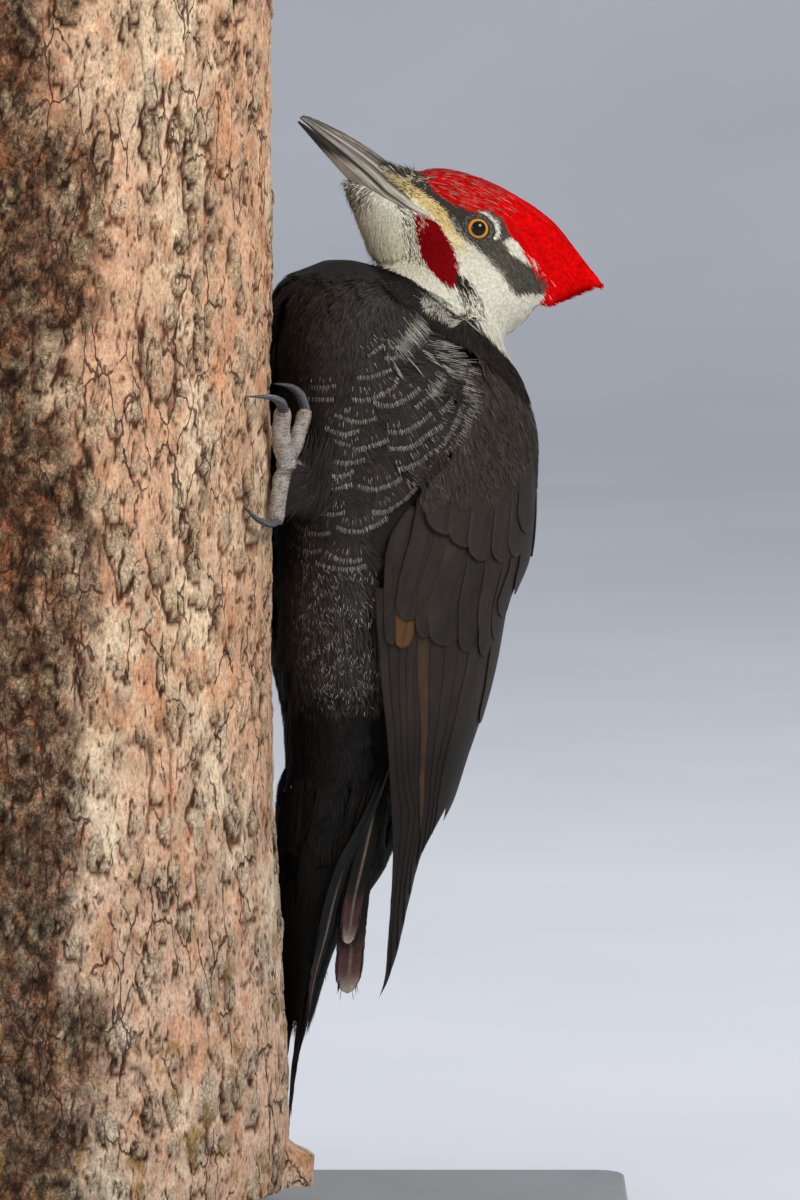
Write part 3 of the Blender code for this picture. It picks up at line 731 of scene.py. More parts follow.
def marks(p, jitter, value):
    """Colours of the coat's roots and tips at points p. jitter frays the edges, value (0 to 1) picks odd strands."""
    f, s, h = in_head(p)
    d, l, u = in_bird(p)
    f = f + jitter[:, 0]
    h = h + jitter[:, 1]
    n = len(p)
    side = np.abs(s)
    root = np.tile(C_WHITE, (n, 1))
    tip = np.tile(C_WHITE, (n, 1))

    def paint(where, a, b=None):
        root[where] = a if np.ndim(a) == 1 else a[where]
        b = a if b is None else b
        tip[where] = b if np.ndim(b) == 1 else b[where]

    # throat and chin, cream with grey bristles towards the bill
    throat = smooth(-2, 26, f) * smooth(-12, -20, h)
    cream = mix(C_WHITE, C_CREAM, 0.55 * throat)
    paint(np.ones(n, bool), cream * 0.96, cream)
    chin = smooth(34, 47, f) * smooth(-8, -14, h)
    dark = value < 0.05 + 0.68 * chin
    paint((chin > 0.01) & dark, mix(cream, C_CHIN, 0.75 * chin), mix(cream, C_CHIN_TIP, chin))
    moustache = smooth(5.5, 1.5, to_path([(29, -9), (24, -14), (19, -19), (15, -23)], f, h))
    dark = value < 0.42 * moustache
    paint(dark & (side > 6), C_CHIN, C_CHIN_TIP)
    # hindneck
    nape = smooth(3.6, 2.2, side) * smooth(-30, -36, f) * smooth(-8, -14, h)
    paint(nape > 0.5, C_BLACK)
    # grey base under the cheek's yellow
    yellow = inside(YELLOW, f, h)
    fade = smooth(7.5, 0.5, to_path([(40, -0.5), (28, -1.4), (16, -2.6), (9, -6.5), (2, -10.5)], f, h))
    warm = mix(C_WHITE, C_YELLOW, 0.55 * fade * smooth(-4, 8, f))
    paint((fade > 0.02) & (h > -13) & (f > -6), warm)
    strong = mix(C_CREAM, C_YELLOW, smooth(44, 30, f) * (0.35 + 0.45 * value))
    paint(yellow, strong, strong)
    paint(yellow & (value < 0.12 + 0.40 * smooth(26, 36, f)), C_LORE, C_LORE * 0.8)
    # lore, eye stripe and ear
    face = inside(FACE_BLACK, f, h)
    ear = mix(C_EAR, C_EAR_LIGHT, smooth(0.62, 1.0, value) * 0.65)
    ear = mix(ear, C_LORE * 0.75, smooth(-6, 6, f))
    paint(face, ear * 0.8, ear)
    rim = face & (to_path([(12, -3), (2, -7), (-9, -8.6), (-17, -10), (-24, -13)], f, h) < 1.6)
    paint(rim & (value > 0.5), mix(C_EAR_LIGHT, C_WHITE, 0.35))
    crescent = to_path(CRESCENT, f, h) < 0.85
    paint(crescent & face, C_WHITE)
    # moustache red
    malar = inside(MALAR, f, h) & (side > 6)
    paint(malar, C_MALAR * 0.75, mix(C_MALAR, rgb(150, 2, 8), value * 0.7))
    paint(malar & (f > 19) & (value < 0.16), C_CREAM)
    # black streaks down the neck's side
    low = inside(NECK_BLACK, f, h) & (side > 12)
    dense = smooth(-13, -4, f)
    paint(low & (value < 0.30 + 0.62 * dense), C_BLACK, C_BLACK * 0.8)
    # crown
    edge = through(RED_EDGE, f)[:, 0]
    red = (h > edge) & (f < 33.2)
    front = smooth(-6, 22, f)
    crown = mix(C_RED, C_RED_DARK, 0.55 * front + 0.25 * value)
    grey = red & (value > 0.90 - 0.08 * front) & (f > 4)
    paint(red, crown * 0.72, crown)
    paint(grey, rgb(112, 92, 84), rgb(150, 128, 116))
    forehead = (f > 30.5) & (h > 2.0) & ~red
    paint(forehead, C_LORE * 0.8, mix(C_LORE, C_EAR_LIGHT, value))
    # body
    body = above_neck_line(p + 0.0006 * jitter[:, :1]) < 0
    below_head = ((f < 48) & ((h < -24) | (u < 0.375))) | (h < -46)
    body &= below_head
    paint(body, C_BLACK * 0.8, C_BLACK)
    low = body & (u < 0.222)
    paint(low, C_BLACK_LOW * 0.8, C_BLACK_LOW)
    patch = (
        to_path([(0.1590, 0.3822), (0.1640, 0.3798), (0.1705, 0.3755)], d, u + 0.0003 * jitter[:, 0])
        < 0.0027
    ) & (np.abs(l) > 0.018)
    paint(patch & (value < 0.6) & (u < 0.392) & body, C_WHITE * 0.9)
    return root, tip


# ---------------------------------------------------------------- lie of the coat

LAY = [  # on the head: forward, height, then the way the coat points, forward and up
    (36, 3, -1.0, 0.25),
    (24, 11, -1.0, 0.18),
    (8, 18, -1.0, 0.05),
    (-10, 19, -1.0, -0.02),
    (-30, 14, -1.0, -0.06),
    (-34, 4, -0.97, -0.25),
    (-36, -6, -0.93, -0.35),
    (18, 1, -1.0, 0.10),
    (8, 7, -0.95, 0.30),
    (1, 10, -1.0, 0.05),
    (-7, 5, -0.92, -0.35),
    (-18, -5, -0.94, -0.35),
    (-30, -5, -0.92, -0.38),
    (14, -5, -0.90, -0.45),
    (3, -10, -0.86, -0.50),
    (-10, -16, -0.88, -0.46),
    (20, -13, -0.85, -0.52),
    (8, -20, -0.86, -0.50),
    (26, -22, -0.74, -0.67),
    (14, -32, -0.78, -0.62),
    (34, -24, -0.55, -0.83),
    (42, -20, -0.20, -0.98),
    (50, -17, 0.10, -1.0),
    (56, -14, 0.55, -0.83),
    (0, -38, -0.80, -0.60),
    (-20, -30, -0.80, -0.60),
    (-36, -20, -0.74, -0.67),
    (31, -3, -0.2, 0.10),
    (40, -1, 1.0, -0.12),
    (47, -4, 1.0, -0.12),
]
FLARE = [  # height, then degrees that the flank's feathers turn towards the back at the wing's edge
    (0.15, 0),
    (0.235, 4),
    (0.262, 22),
    (0.295, 52),
    (0.325, 66),
    (0.350, 86),
    (0.372, 84),
    (0.395, 40),
]


def around(d, l, u):
    """Degrees round the body from the breast (0) to the back (180), as on the wings' chart."""
    at = through(WING, u)
    return np.degrees(np.arctan2(np.abs(l) / at[:, 2], -(d - at[:, 0]) / at[:, 1]))


THROAT_OUT = -0.22 * H_FORWARD - 0.975 * H_UP
THROAT_AT = head_point(0, 0, -27)
NECK_DOWN = unit(-0.5 * OUT - 0.866 * UP)
NECK_AT = bird_point(0.163, 0, 0.376)


def lay(p):
    """The way the coat points at p, before it is laid along the surface."""
    f, _, h = in_head(p)
    d, l, u = in_bird(p)
    total, weights = np.zeros_like(p), np.zeros(len(p))
    for lf, lh, df, dh in LAY:
        w = 1 / ((f - lf) ** 2 + (h - lh) ** 2 + 4) ** 1.6
        total += w[:, None] * unit(df * H_FORWARD + dh * H_UP)
        weights += w
    head = unit(total / weights[:, None])
    behind = smooth(-6, -22, f)[:, None]
    neck = unit((-0.64 * OUT - 0.77 * UP) * (1 - behind) + (0.10 * OUT - 0.99 * UP) * behind)
    below_head = smooth(-0.006, 0.010, (p - THROAT_AT) @ THROAT_OUT)
    below_neck = smooth(-0.006, 0.010, (p - NECK_AT) @ NECK_DOWN)
    a = around(d, l, u)
    front = through(WING, u)[:, 3]
    turn = np.radians(through(FLARE, u)[:, 0]) * smooth(front - 62, front - 6, a) * smooth(178, 150, a)
    inward = smooth(66, 30, a) * smooth(0.265, 0.30, u) * smooth(0.385, 0.36, u)
    turn = turn - np.radians(28) * inward
    on_wing = smooth(front + 1, front + 7, a) * (u > 0.25)
    turn = turn * (1 - on_wing) + np.radians(20) * on_wing * smooth(170, 140, a)
    radial = unit(np.stack([d - 0.160, l, 0 * d], -1))
    back = unit(radial[:, :1] * OUT + radial[:, 1:2] * LEFT)
    torso = -UP * np.cos(turn)[:, None] + OUT * np.sin(turn)[:, None]
    top = smooth(0.362, 0.392, u) * smooth(0.170, 0.150, d)
    outward = unit(-OUT * 0.7 - UP * 0.55 + 0.5 * back)
    torso = unit(torso * (1 - top)[:, None] + outward * top[:, None])
    found = head * (1 - below_head)[:, None] + neck * below_head[:, None]
    return unit(found * (1 - below_neck)[:, None] + torso * below_neck[:, None])


def along(v, normal):
    """v laid into the surface with this normal."""
    return unit(v - (v * normal).sum(-1, keepdims=True) * normal)


# ---------------------------------------------------------------- OFBake places on an unwrap of the skin

SPINE = np.array(
    [
        bird_point(0.119, 0, 0.146),
        bird_point(0.140, 0, 0.190),
        bird_point(0.152, 0, 0.260),
        bird_point(0.157, 0, 0.320),
        bird_point(0.160, 0, 0.365),
        bird_point(0.186, 0, 0.392),
        head_point(-14, 0, -8),
        head_point(10, 0, -8),
        head_point(57, 0, -13),
    ]
)


def unwrap(p):
    """Places of points on the skin cut open along the belly: how far along the spine, and how far round it."""
    lengths = np.linalg.norm(np.diff(SPINE, axis=0), axis=1)
    starts = np.concatenate([[0], np.cumsum(lengths)])
    best = np.full(len(p), 1e9)
    along_it = np.zeros(len(p))
    off = np.zeros_like(p)
    bend = np.zeros_like(p)
    for k, (a, b) in enumerate(zip(SPINE, SPINE[1:])):
        t = np.clip(((p - a) @ (b - a)) / lengths[k] ** 2, 0, 1)
        away = p - a - t[:, None] * (b - a)
        far = np.linalg.norm(away, axis=1)
        near = far < best
        best = np.where(near, far, best)
        along_it = np.where(near, starts[k] + t * lengths[k], along_it)
        off[near] = away[near]
        bend[near] = np.cross(LEFT, unit(b - a))
    side = off @ LEFT
    turn = np.arctan2(side, -(off * bend).sum(1))
    return np.stack([0.5 + 0.47 * turn / np.pi, 0.02 + 0.96 * along_it / starts[-1]], -1)


# ---------------------------------------------------------------- materials


def material(name):
    made = bpy.data.materials.new(name)
    made.use_nodes = True
    tree = made.node_tree
    return made, tree, tree.nodes["Principled BSDF"]


def node(tree, kind, inputs=(), **settings):
    made = tree.nodes.new(kind)
    for key, value in settings.items():
        setattr(made, key, value)
    for key, value in dict(inputs).items():
        if isinstance(value, bpy.types.NodeSocket):
            tree.links.new(value, made.inputs[key])
        else:
            made.inputs[key].default_value = value
    return made


def ramp(tree, value, stops):
    made = node(tree, "ShaderNodeValToRGB", {"Fac": value})
    elements = made.color_ramp.elements
    while len(elements) < len(stops):
        elements.new(0.5)
    for element, (place, colour) in zip(elements, stops):
        element.position = place
        element.color = (*colour, 1) if len(colour) == 3 else colour
    return made.outputs["Color"]


def grey(v):
    return (v, v, v)


def stretched(tree, scale):
    places = node(tree, "ShaderNodeTexCoord")
    mapped = node(tree, "ShaderNodeMapping", {"Vector": places.outputs["Object"], "Scale": scale})
    return mapped.outputs["Vector"]


def tinted(tree, colour, by):
    made = node(tree, "ShaderNodeMix", {"Factor": 1.0, 6: colour, 7: by}, data_type="RGBA", blend_type="MULTIPLY")
    return made.outputs[2]


def own_colour(tree):
    return node(tree, "ShaderNodeVertexColor", layer_name="Col").outputs["Color"]


def texture(tree, scale, detail, stretch=(1, 1, 1)):
    inputs = {"Vector": stretched(tree, stretch), "Scale": scale, "Detail": detail}
    return node(tree, "ShaderNodeTexNoise", inputs).outputs["Fac"]


def finish(tree, shader, colour, values, rough=None):
    """Gives the shader its colour, its plain values and, where it varies, its roughness."""
    tree.links.new(colour, shader.inputs["Base Color"])
    if rough is not None:
        tree.links.new(rough, shader.inputs["Roughness"])
    for key, value in values.items():
        shader.inputs[key].default_value = value


def bump(tree, shader, height, strength, distance):
    made = node(tree, "ShaderNodeBump", {"Height": height, "Strength": strength, "Distance": distance})
    tree.links.new(made.outputs["Normal"], shader.inputs["Normal"])


def coat_material(name, roughness, scale, specular):
    """A coat of barbs or hair: the strands' own colours, broken up a little along each."""
    made, tree, shader = material(name)
    fine = texture(tree, scale, 3.0)
    shade = ramp(tree, fine, [(0.25, grey(0.72)), (0.75, grey(1.22))])
    colour = tinted(tree, own_colour(tree), shade)
    finish(tree, shader, colour, {"Roughness": roughness, "Specular IOR Level": specular})
    bump(tree, shader, fine, 0.25, 0.0003)
    return made


M_BODY = coat_material("body_barbs", 0.60, 900.0, 0.22)
M_HAIR = coat_material("head_hair", 0.70, 900.0, 0.05)
M_CREST = coat_material("crest_silk", 0.60, 700.0, 0.02)
M_SKIN = coat_material("skin_under_coat", 0.8, 500.0, 0.2)


def vane_material():
    """Flight feathers: barbs run slantwise from the shaft, so fine lines cross the vane."""
    made, tree, shader = material("vane")
    place = node(tree, "ShaderNodeAttribute", attribute_name="barb").outputs["Vector"]
    across = node(tree, "ShaderNodeMapping", {"Vector": place, "Scale": (0.35, 2.6, 1.0)}).outputs["Vector"]
    inputs = {"Vector": across, "Scale": 1.0, "Detail": 4.0, "Roughness": 0.7}
    lines = node(tree, "ShaderNodeTexNoise", inputs).outputs["Fac"]
    patches = texture(tree, 120.0, 3.0, (1, 1, 0.5))
    shade = ramp(tree, lines, [(0.3, grey(0.68)), (0.72, grey(1.3))])
    cloud = ramp(tree, patches, [(0.3, (0.82, 0.82, 0.84)), (0.7, (1.2, 1.15, 1.08))])
    colour = tinted(tree, tinted(tree, own_colour(tree), shade), cloud)
    rough = ramp(tree, lines, [(0.2, grey(VANE_ROUGH + 0.12)), (0.8, grey(VANE_ROUGH - 0.06))])
    finish(tree, shader, colour, {"Specular IOR Level": 0.14}, rough)
    bump(tree, shader, lines, 0.55, 0.00035)
    return made


VANE_ROUGH = 0.55
M_VANE = vane_material()

# ---------------------------------------------------------------- strands

ROUNDNESS = 0.35  # how far the normals at a strand's edges turn outwards
STRAND_PATCH = 0.003  # side of a strand's own patch on the OFBake map


def ribbons(centre, across, width, colour, root_uv, pointed, lie):
    """Verts, triangles, colours, UVs and normals of strands. centre, across and lie (N,K,3), width (N,K).

    They are shaded with the normal of the coat's own surface, lie, turned a little at each edge, as hair is that
    blends with its neighbours."""
    n, k = centre.shape[:2]
    half = across * width[..., None]
    left, right = centre - half, centre + half
    pairs = k - 1 if pointed else k
    verts = np.stack([left[:, :pairs], right[:, :pairs]], 2).reshape(n, pairs * 2, 3)
    lit = np.stack([lie - ROUNDNESS * across, lie + ROUNDNESS * across], 2)[:, :pairs].reshape(n, pairs * 2, 3)
    colours = np.repeat(colour[:, :pairs], 2, axis=1)
    t = np.arange(pairs) / (k - 1)
    patch = np.stack([np.tile([0.0, 1.0], pairs), np.repeat(t, 2)], -1)
    tris = []
    for r in range(pairs - 1):
        a = 2 * r
        tris += [(a, a + 1, a + 3), (a, a + 3, a + 2)]
    if pointed:
        verts = np.concatenate([verts, centre[:, -1:]], 1)
        lit = np.concatenate([lit, lie[:, -1:]], 1)
        colours = np.concatenate([colours, colour[:, -1:]], 1)
        patch = np.concatenate([patch, [[0.5, 1.0]]])
        a = 2 * (pairs - 1)
        tris.append((a, a + 1, 2 * pairs))
    per = verts.shape[1]
    faces = np.array(tris)[None] + (np.arange(n) * per)[:, None, None]
    uv = root_uv[:, None] + STRAND_PATCH * (patch[None] - 0.5)
    return (
        verts.reshape(-1, 3),
        faces.reshape(-1, 3),
        colours.reshape(-1, 3),
        uv.reshape(-1, 2),
        lit.reshape(-1, 3),
        n,
    )


def grow(surface, start, heading, length, steps, depth_root, depth_tip, relay=None, follow=1.0):
    """Centrelines of strands laid along a surface. Depths are below it, per strand, and negative stands proud.

    A strand that runs off the end of the surface goes on straight. Returns centre and normal, (N,K,3)."""
    n = len(start)
    at, normal = surface.nearest(start)
    heading = along(heading, normal)
    centre = np.empty((n, len(steps), 3))
    normals = np.empty_like(centre)
    centre[:, 0] = at - normal * depth_root[:, None]
    normals[:, 0] = normal
    here = at
    for k in range(1, len(steps)):
        stride = (length * (steps[k] - steps[k - 1]))[:, None]
        aim = here + heading * stride
        found, turned = surface.nearest(aim)
        back = found - aim
        back -= heading * (back * heading).sum(1, keepdims=True)
        size = np.linalg.norm(back, axis=1, keepdims=True)
        back *= np.minimum(1, 0.9 * stride / np.maximum(size, 1e-9)) * follow
        moved = aim + back
        t = steps[k]
        depth = depth_root * (1 - t) ** 1.5 + depth_tip * (1 - (1 - t) ** 1.5)
        heading = unit(moved - here)
        if relay is not None:
            wanted = along(lay(moved), turned)
            heading = unit(heading * (1 - 0.4 * relay) + wanted * 0.4 * relay)
        here = moved
        normal = unit(normal * 0.35 + turned * 0.65)
        centre[:, k] = moved - normal * depth[:, None]
        normals[:, k] = normal
    return centre, normals


def sideways(centre, normals, roll):
    tangent = np.empty_like(centre)
    tangent[:, 1:-1] = centre[:, 2:] - centre[:, :-2]
    tangent[:, 0] = centre[:, 1] - centre[:, 0]
    tangent[:, -1] = centre[:, -1] - centre[:, -2]
    tangent = unit(tangent)
    across = unit(np.cross(tangent, normals))
    lift = np.cross(across, tangent)
    r = roll[:, None, None]
    return across * np.cos(r) + lift * np.sin(r)


COAT_LIMIT = 190000  # triangles in one piece of coat


def make_coat(name, batches, coat, slot):
    """Joins batches of whole strands and parts them into pieces under the limit of triangles."""
    pieces, current, total = [], Parts(), 0
    for verts, faces, colours, uv, normals, strands in batches:
        tris, points = len(faces) // strands, len(verts) // strands
        start = 0
        while start < strands:
            take = min((COAT_LIMIT - total) // tris, strands - start)
            if take <= 0:
                pieces.append(current)
                current, total = Parts(), 0
                continue
            a, b = start * points, (start + take) * points
            chosen = faces[start * tris : (start + take) * tris] - a
            current.add(verts[a:b], chosen, colours[a:b], uv[a:b], normals[a:b])
            total += take * tris
            start += take
    pieces.append(current)
    for k, piece in enumerate(pieces):
        piece.make(f"{name}_{k + 1}" if len(pieces) > 1 else name, coat, slot)


# ---------------------------------------------------------------- skin, with the folds and lids round the eyes

EYE_RADIUS = 6.0
EYE_OUT = 11.0
LID = [  # share of the way out, distance out along the gaze from the globe's centre, millimetres
    (0.00, 4.15),
    (0.05, 4.55),
    (0.14, 4.85),
    (0.26, 4.62),
    (0.40, 4.55),
    (0.56, 4.20),
    (0.72, 3.60),
    (0.86, 2.90),
    (1.00, 1.60),
]
LID_IN, LID_OUT = (4.42, 3.66), (8.3, 6.6)
C_LID = rgb(60, 56, 52)
C_LID_LIGHT = rgb(150, 144, 132)


def mirrored_axes(side):
    """The head's forward, out and up axes seen from one side."""
    gaze = unit(0.11 * H_FORWARD + side * H_LEFT + 0.05 * H_UP)
    ahead = along(H_FORWARD[None], gaze[None])[0]
    return ahead, gaze, unit(np.cross(ahead, gaze) * side)


def lid_ring(side, parts):
    ahead, gaze, up = mirrored_axes(side)
    middle = head_point(0, side * EYE_OUT, 0)
    rows, cols = 44, 120
    angle = 2 * np.pi * np.arange(cols) / cols
    rings, shades = [], []
    for k in range(rows):
        t = k / (rows - 1)
        out = float(through(LID, t)[0][0])
        a = LID_IN[0] + (LID_OUT[0] - LID_IN[0]) * t
        b = LID_IN[1] + (LID_OUT[1] - LID_IN[1]) * t
        warp = 0.5 * noise2(np.cos(angle) * 3 + 9, np.sin(angle) * 3 + 9, 3)
        circles = np.sin(2 * np.pi * (t * 5.2 + 0.22 * warp)) * smooth(0.12, 0.3, t) * smooth(1.0, 0.8, t)
        beads = np.abs(noise2(angle * 9.5 + 40, np.full(cols, t * 11.0), 8))
        rise = 0.13 * circles + 0.16 * beads * smooth(0.02, 0.2, t)
        place = middle + MM * (
            (a * np.cos(angle))[:, None] * ahead
            + (b * np.sin(angle))[:, None] * up
            + (out + rise)[:, None] * gaze
        )
        rings.append(place)
        light = smooth(0.25, 0.75, beads) * smooth(0.0, 0.3, t) * smooth(0.8, 0.45, t)
        rim = smooth(0.10, 0.02, t)
        # The wrinkles' crests are painted lighter and their grooves darker, and the inner edge against the eye (rim)
        # darker still: painted light and shade that follow the relief.
        colour = mix(C_LID * (0.75 + 0.35 * circles[:, None]), C_LID_LIGHT, 0.55 * light)
        shades.append(mix(colour, C_LID * 0.35, rim))
    verts = np.array(rings).reshape(-1, 3)
    faces = grid_faces(rows, cols, True)
    parts.add(verts, faces if side > 0 else faces[:, ::-1], np.array(shades).reshape(-1, 3), unwrap(verts))


SKIN_FLESH = ("belly", "breast_and_back", "crest", "head", "neck", "rump_and_undertail")


def build_skin():
    verts, tris = fused(
        [
            torso_rings(0.0036),
            undertail_rings(0.0030),
            neck_rings(0.0034),
            head_rings(HEAD, 1.3, 2.2, 1.3, 2.0, 53.5, -39.5),
            head_rings(CREST, 1.7, 1.0, 1.8, 2.2, 31.0, -50.0),
            thigh_rings(1, 0.003),
            thigh_rings(-1, 0.003),
        ],
        SKIN_VOXEL,
        SKIN_ROUNDS,
    )
    # The eyes' sockets: skin that the globe would cut is drawn in behind the lids.
    for side in (1, -1):
        ahead, gaze, up = mirrored_axes(side)
        q = (verts - head_point(0, side * EYE_OUT, 0)) / MM
        reach = np.hypot((q @ ahead) / LID_OUT[0], (q @ up) / LID_OUT[1])
        out = q @ gaze
        deep = (reach < 1.0) & (out > -2)
        target = -1.5 + 4.4 * smooth(0.55, 1.0, reach)
        move = np.where(deep, np.minimum(0, target - out), 0)
        verts = verts + (move * MM)[:, None] * gaze
    value = RNG.random(len(verts))
    root, tip = marks(verts, np.zeros((len(verts), 2)), value)
    f, _, h = in_head(verts)
    crown = (h > through(RED_EDGE, f)[:, 0]) & (f < 33)
    pale = root.min(1) > 0.35
    colour = np.where(crown[:, None], tip * 0.7, root * np.where(pale, 0.95, 0.7)[:, None])
    seam = unwrap(verts)
    parts = Parts()
    # A triangle across the cut along the belly would stretch over the whole map, so it gets its own points.
    spread = seam[tris][..., 0]
    split = spread.max(1) - spread.min(1) > 0.5
    parts.add(verts, tris[~split], colour, seam)
    corners = tris[split]
    own = seam[corners.ravel()].reshape(-1, 3, 2)
    own[..., 0] = np.where(own[..., 0] > 0.5, own[..., 0], own[..., 0] + 0.94)
    alone, faces = corners.ravel(), np.arange(corners.size).reshape(-1, 3)
    parts.add(verts[alone], faces, colour[alone], np.clip(own.reshape(-1, 2), 0, 1))
    lid_ring(1, parts)
    lid_ring(-1, parts)
    skin = parts.make("skin", M_SKIN, "plumage_black")
    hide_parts(*SKIN_FLESH)


build_skin()

# ---------------------------------------------------------------- hair of the head and neck

HAIR_TRIES, HAIR_COUNT = 1200000, 118000  # points tried over the whole bird, and strands kept
CREST_TRIES, CREST_COUNT = 600000, 22500


def near_eye(p):
    """How far out from the eye's middle, where the bare lids end at 1."""
    f, _, h = in_head(p)
    return np.hypot((f - 0.9) / 7.0, (h - 0.5) / 5.4)


def head_hair():
    """Short hair-like feathers of the face, throat and neck."""
    at, _ = ENVELOPE.sample(HAIR_TRIES, RNG)
    f, s, h = in_head(at)
    d, _, u = in_bird(at)
    white = above_neck_line(at)
    on_head = (white > -0.0095) & (u > 0.345) & ~((f < -20) & (h < -60)) & ((d > 0.147) | (u > 0.405))
    clear = (near_eye(at) > 0.96) | (np.abs(s) < 8)
    bill = (f > 30) & (h > -11.2) & (h < -2.5) & (np.abs(s) > 3)
    edge = through(RED_EDGE, f)[:, 0]
    crown = (h > edge + 0.4) & (f < 33.2)
    keep = on_head & clear & ~crown & ~bill & ~((f > 53.5) & (h < -8))
    face = smooth(-12, 12, f) * smooth(-16, -6, h)
    share = 0.55 + 0.45 * face + 0.5 * smooth(12, 6, np.hypot(f - 1, h))
    keep &= RNG.random(len(at)) < share
    at = at[keep][:HAIR_COUNT]
    n = len(at)
    f, s, h = in_head(at)
    value = RNG.random(n)
    jitter = RNG.normal(0, 0.46, (n, 2))
    face = smooth(-10, 16, f) * smooth(-20, -8, h)
    short = smooth(13, 5, np.hypot(f - 1, h - 0.5))
    chin = smooth(24, 40, f) * smooth(-10, -16, h)
    throat = smooth(-18, -30, h)
    length = MM * (4.2 + 2.6 * throat - 1.0 * face - 1.9 * short) * (0.7 + 0.6 * RNG.random(n))
    length = np.where(f > 36, MM * 3.0 * (0.6 + 0.7 * value), length)
    bristle = (chin > 0.35) & (RNG.random(n) < 0.10)
    length = np.where(bristle, length * 1.7, length)
    width = MM * (0.17 + 0.05 * throat - 0.06 * short) * (0.75 + 0.5 * RNG.random(n))
    width = np.where(bristle, MM * 0.06, width)
    heading = lay(at)
    heading = heading + RNG.normal(0, 0.10, (n, 3)) + (0.20 * chin)[:, None] * RNG.normal(0, 1, (n, 3))
    root_depth = MM * (0.8 + 0.4 * throat - 0.2 * short)
    tip_depth = MM * (0.30 - RNG.random(n) ** 2 * (0.25 + 0.35 * throat + 1.0 * chin))
    tip_depth = np.where(bristle, -MM * (0.6 + 1.4 * RNG.random(n)), tip_depth)
    steps = np.array([0.0, 0.5, 1.0])
    centre, normals = grow(ENVELOPE, at, unit(heading), length, steps, root_depth, tip_depth, follow=0.8)
    # Left out: strands that bend across the crease under the neck, or run down over the black shoulder.
    bend = (normals[:, 0] * normals[:, -1]).sum(1)
    low_side = (h < -18) & (f < 34)
    black_root = above_neck_line(at) < 0
    kept = ~(low_side & (((bend < 0.86) & ~black_root) | (bend < 0.7)))
    kept &= ~(low_side & ~black_root & (above_neck_line(centre[:, -1]) < -0.0035))
    at, centre, normals, width, jitter, value = (v[kept] for v in (at, centre, normals, width, jitter, value))
    n = len(at)
    root, tip = marks(centre[:, 1], jitter, value)
    shade = (0.96 + 0.10 * RNG.random(n))[:, None]
    dark_one = (above_neck_line(at) < 0)[:, None]
    shade = np.where(dark_one, (0.55 + 0.6 * value + 0.9 * smooth(0.86, 1.0, value))[:, None], shade)
    blend = np.array([0.2, 0.7, 1.0])[None, :, None]
    colour = (root[:, None] * (1 - blend) + tip[:, None] * blend) * shade[:, None]
    colour *= np.array([0.96, 1.0, 1.02])[None, :, None]
    rows = width[:, None] * np.array([0.9, 1.0, 0.0])[None]
    across = sideways(centre, normals, RNG.normal(0, 0.25, n))
    made = ribbons(centre, across, rows, colour, unwrap(at), True, normals)
    make_coat("coat_head", [made], M_HAIR, "plumage_white")


def crown_silk():
    """Long silky red feathers that sweep back over the crown to the crest's point."""
    at, normal = ENVELOPE.sample(CREST_TRIES, RNG)
    f, s, h = in_head(at)
    edge = through(RED_EDGE, f)[:, 0]
    keep = (h > edge + 0.3) & (f < 33.4)
    at, normal = at[keep][:CREST_COUNT], normal[keep][:CREST_COUNT]
    n = len(at)
    f, s, h = in_head(at)
    value = RNG.random(n)
    jitter = RNG.normal(0, 0.3, (n, 2))
    room = np.clip(f + 61.0, 3.0, 60)
    length = MM * np.minimum(9.5 + 8.0 * smooth(22, -6, f), room) * (0.6 + 0.5 * RNG.random(n))
    strand = hashed(np.floor(s * 1.1), np.floor((f + 100) * 0.16))
    width = MM * (0.15 + 0.06 * smooth(10, -20, f)) * (0.7 + 0.6 * RNG.random(n))
    heading = lay(at) + RNG.normal(0, 0.035, (n, 3))
    wave = 0.10 * noise2(f * 0.22 + 50, s * 0.5 + 50, 5)
    heading = heading + wave[:, None] * H_LEFT
    lock = 0.5 + 0.5 * noise2(s * 0.9 + 80, (h - 0.25 * f) * 0.55 + 80, 15)
    root_depth = np.full(n, 1.2 * MM)
    loose = smooth(18, 30, f)
    tip_depth = MM * (0.45 - 0.55 * lock - 0.25 * RNG.random(n) ** 2 - 0.5 * loose * RNG.random(n))
    steps = np.array([0.0, 0.25, 0.5, 0.75, 1.0])
    # At the crest's rear the strands run on past its edge, which leaves a ragged fringe.
    rear = (f < -34) & (normal @ H_UP > -0.35)
    under = (f < -34) & ~rear
    length = np.where(rear, MM * (5.0 + 3.0 * RNG.random(n)) * smooth(-66, -48, f), length)
    length = np.maximum(np.where(under, 2.5 * MM, length), 1.5 * MM)
    tip_depth = np.where(rear, tip_depth + 0.2 * MM, tip_depth)
    follow = np.where(rear, 0.35, 1.0)[:, None]
    centre, normals = grow(
        ENVELOPE, at, unit(heading), length, steps, root_depth, tip_depth, 1.0 - rear[:, None], follow
    )
    root, tip = marks(at, jitter, value)
    shade = 0.92 + 0.14 * RNG.random(n) + 0.08 * (strand - 0.5)
    shade *= 0.80 + 0.30 * lock
    blend = steps[None, :, None]
    colour = (root[:, None] * (1 - blend) + tip[:, None] * blend) * shade[:, None, None]
    rows = width[:, None] * np.array([0.7, 1.0, 1.0, 0.75, 0.0])[None]
    across = sideways(centre, normals, RNG.normal(0, 0.3, n))
    made = ribbons(centre, across, rows, colour, unwrap(at), True, normals)
    make_coat("coat_crest", [made], M_CREST, "crest_red")


head_hair()
crown_silk()

# ---------------------------------------------------------------- feathers of the body, one tuft of barbs each


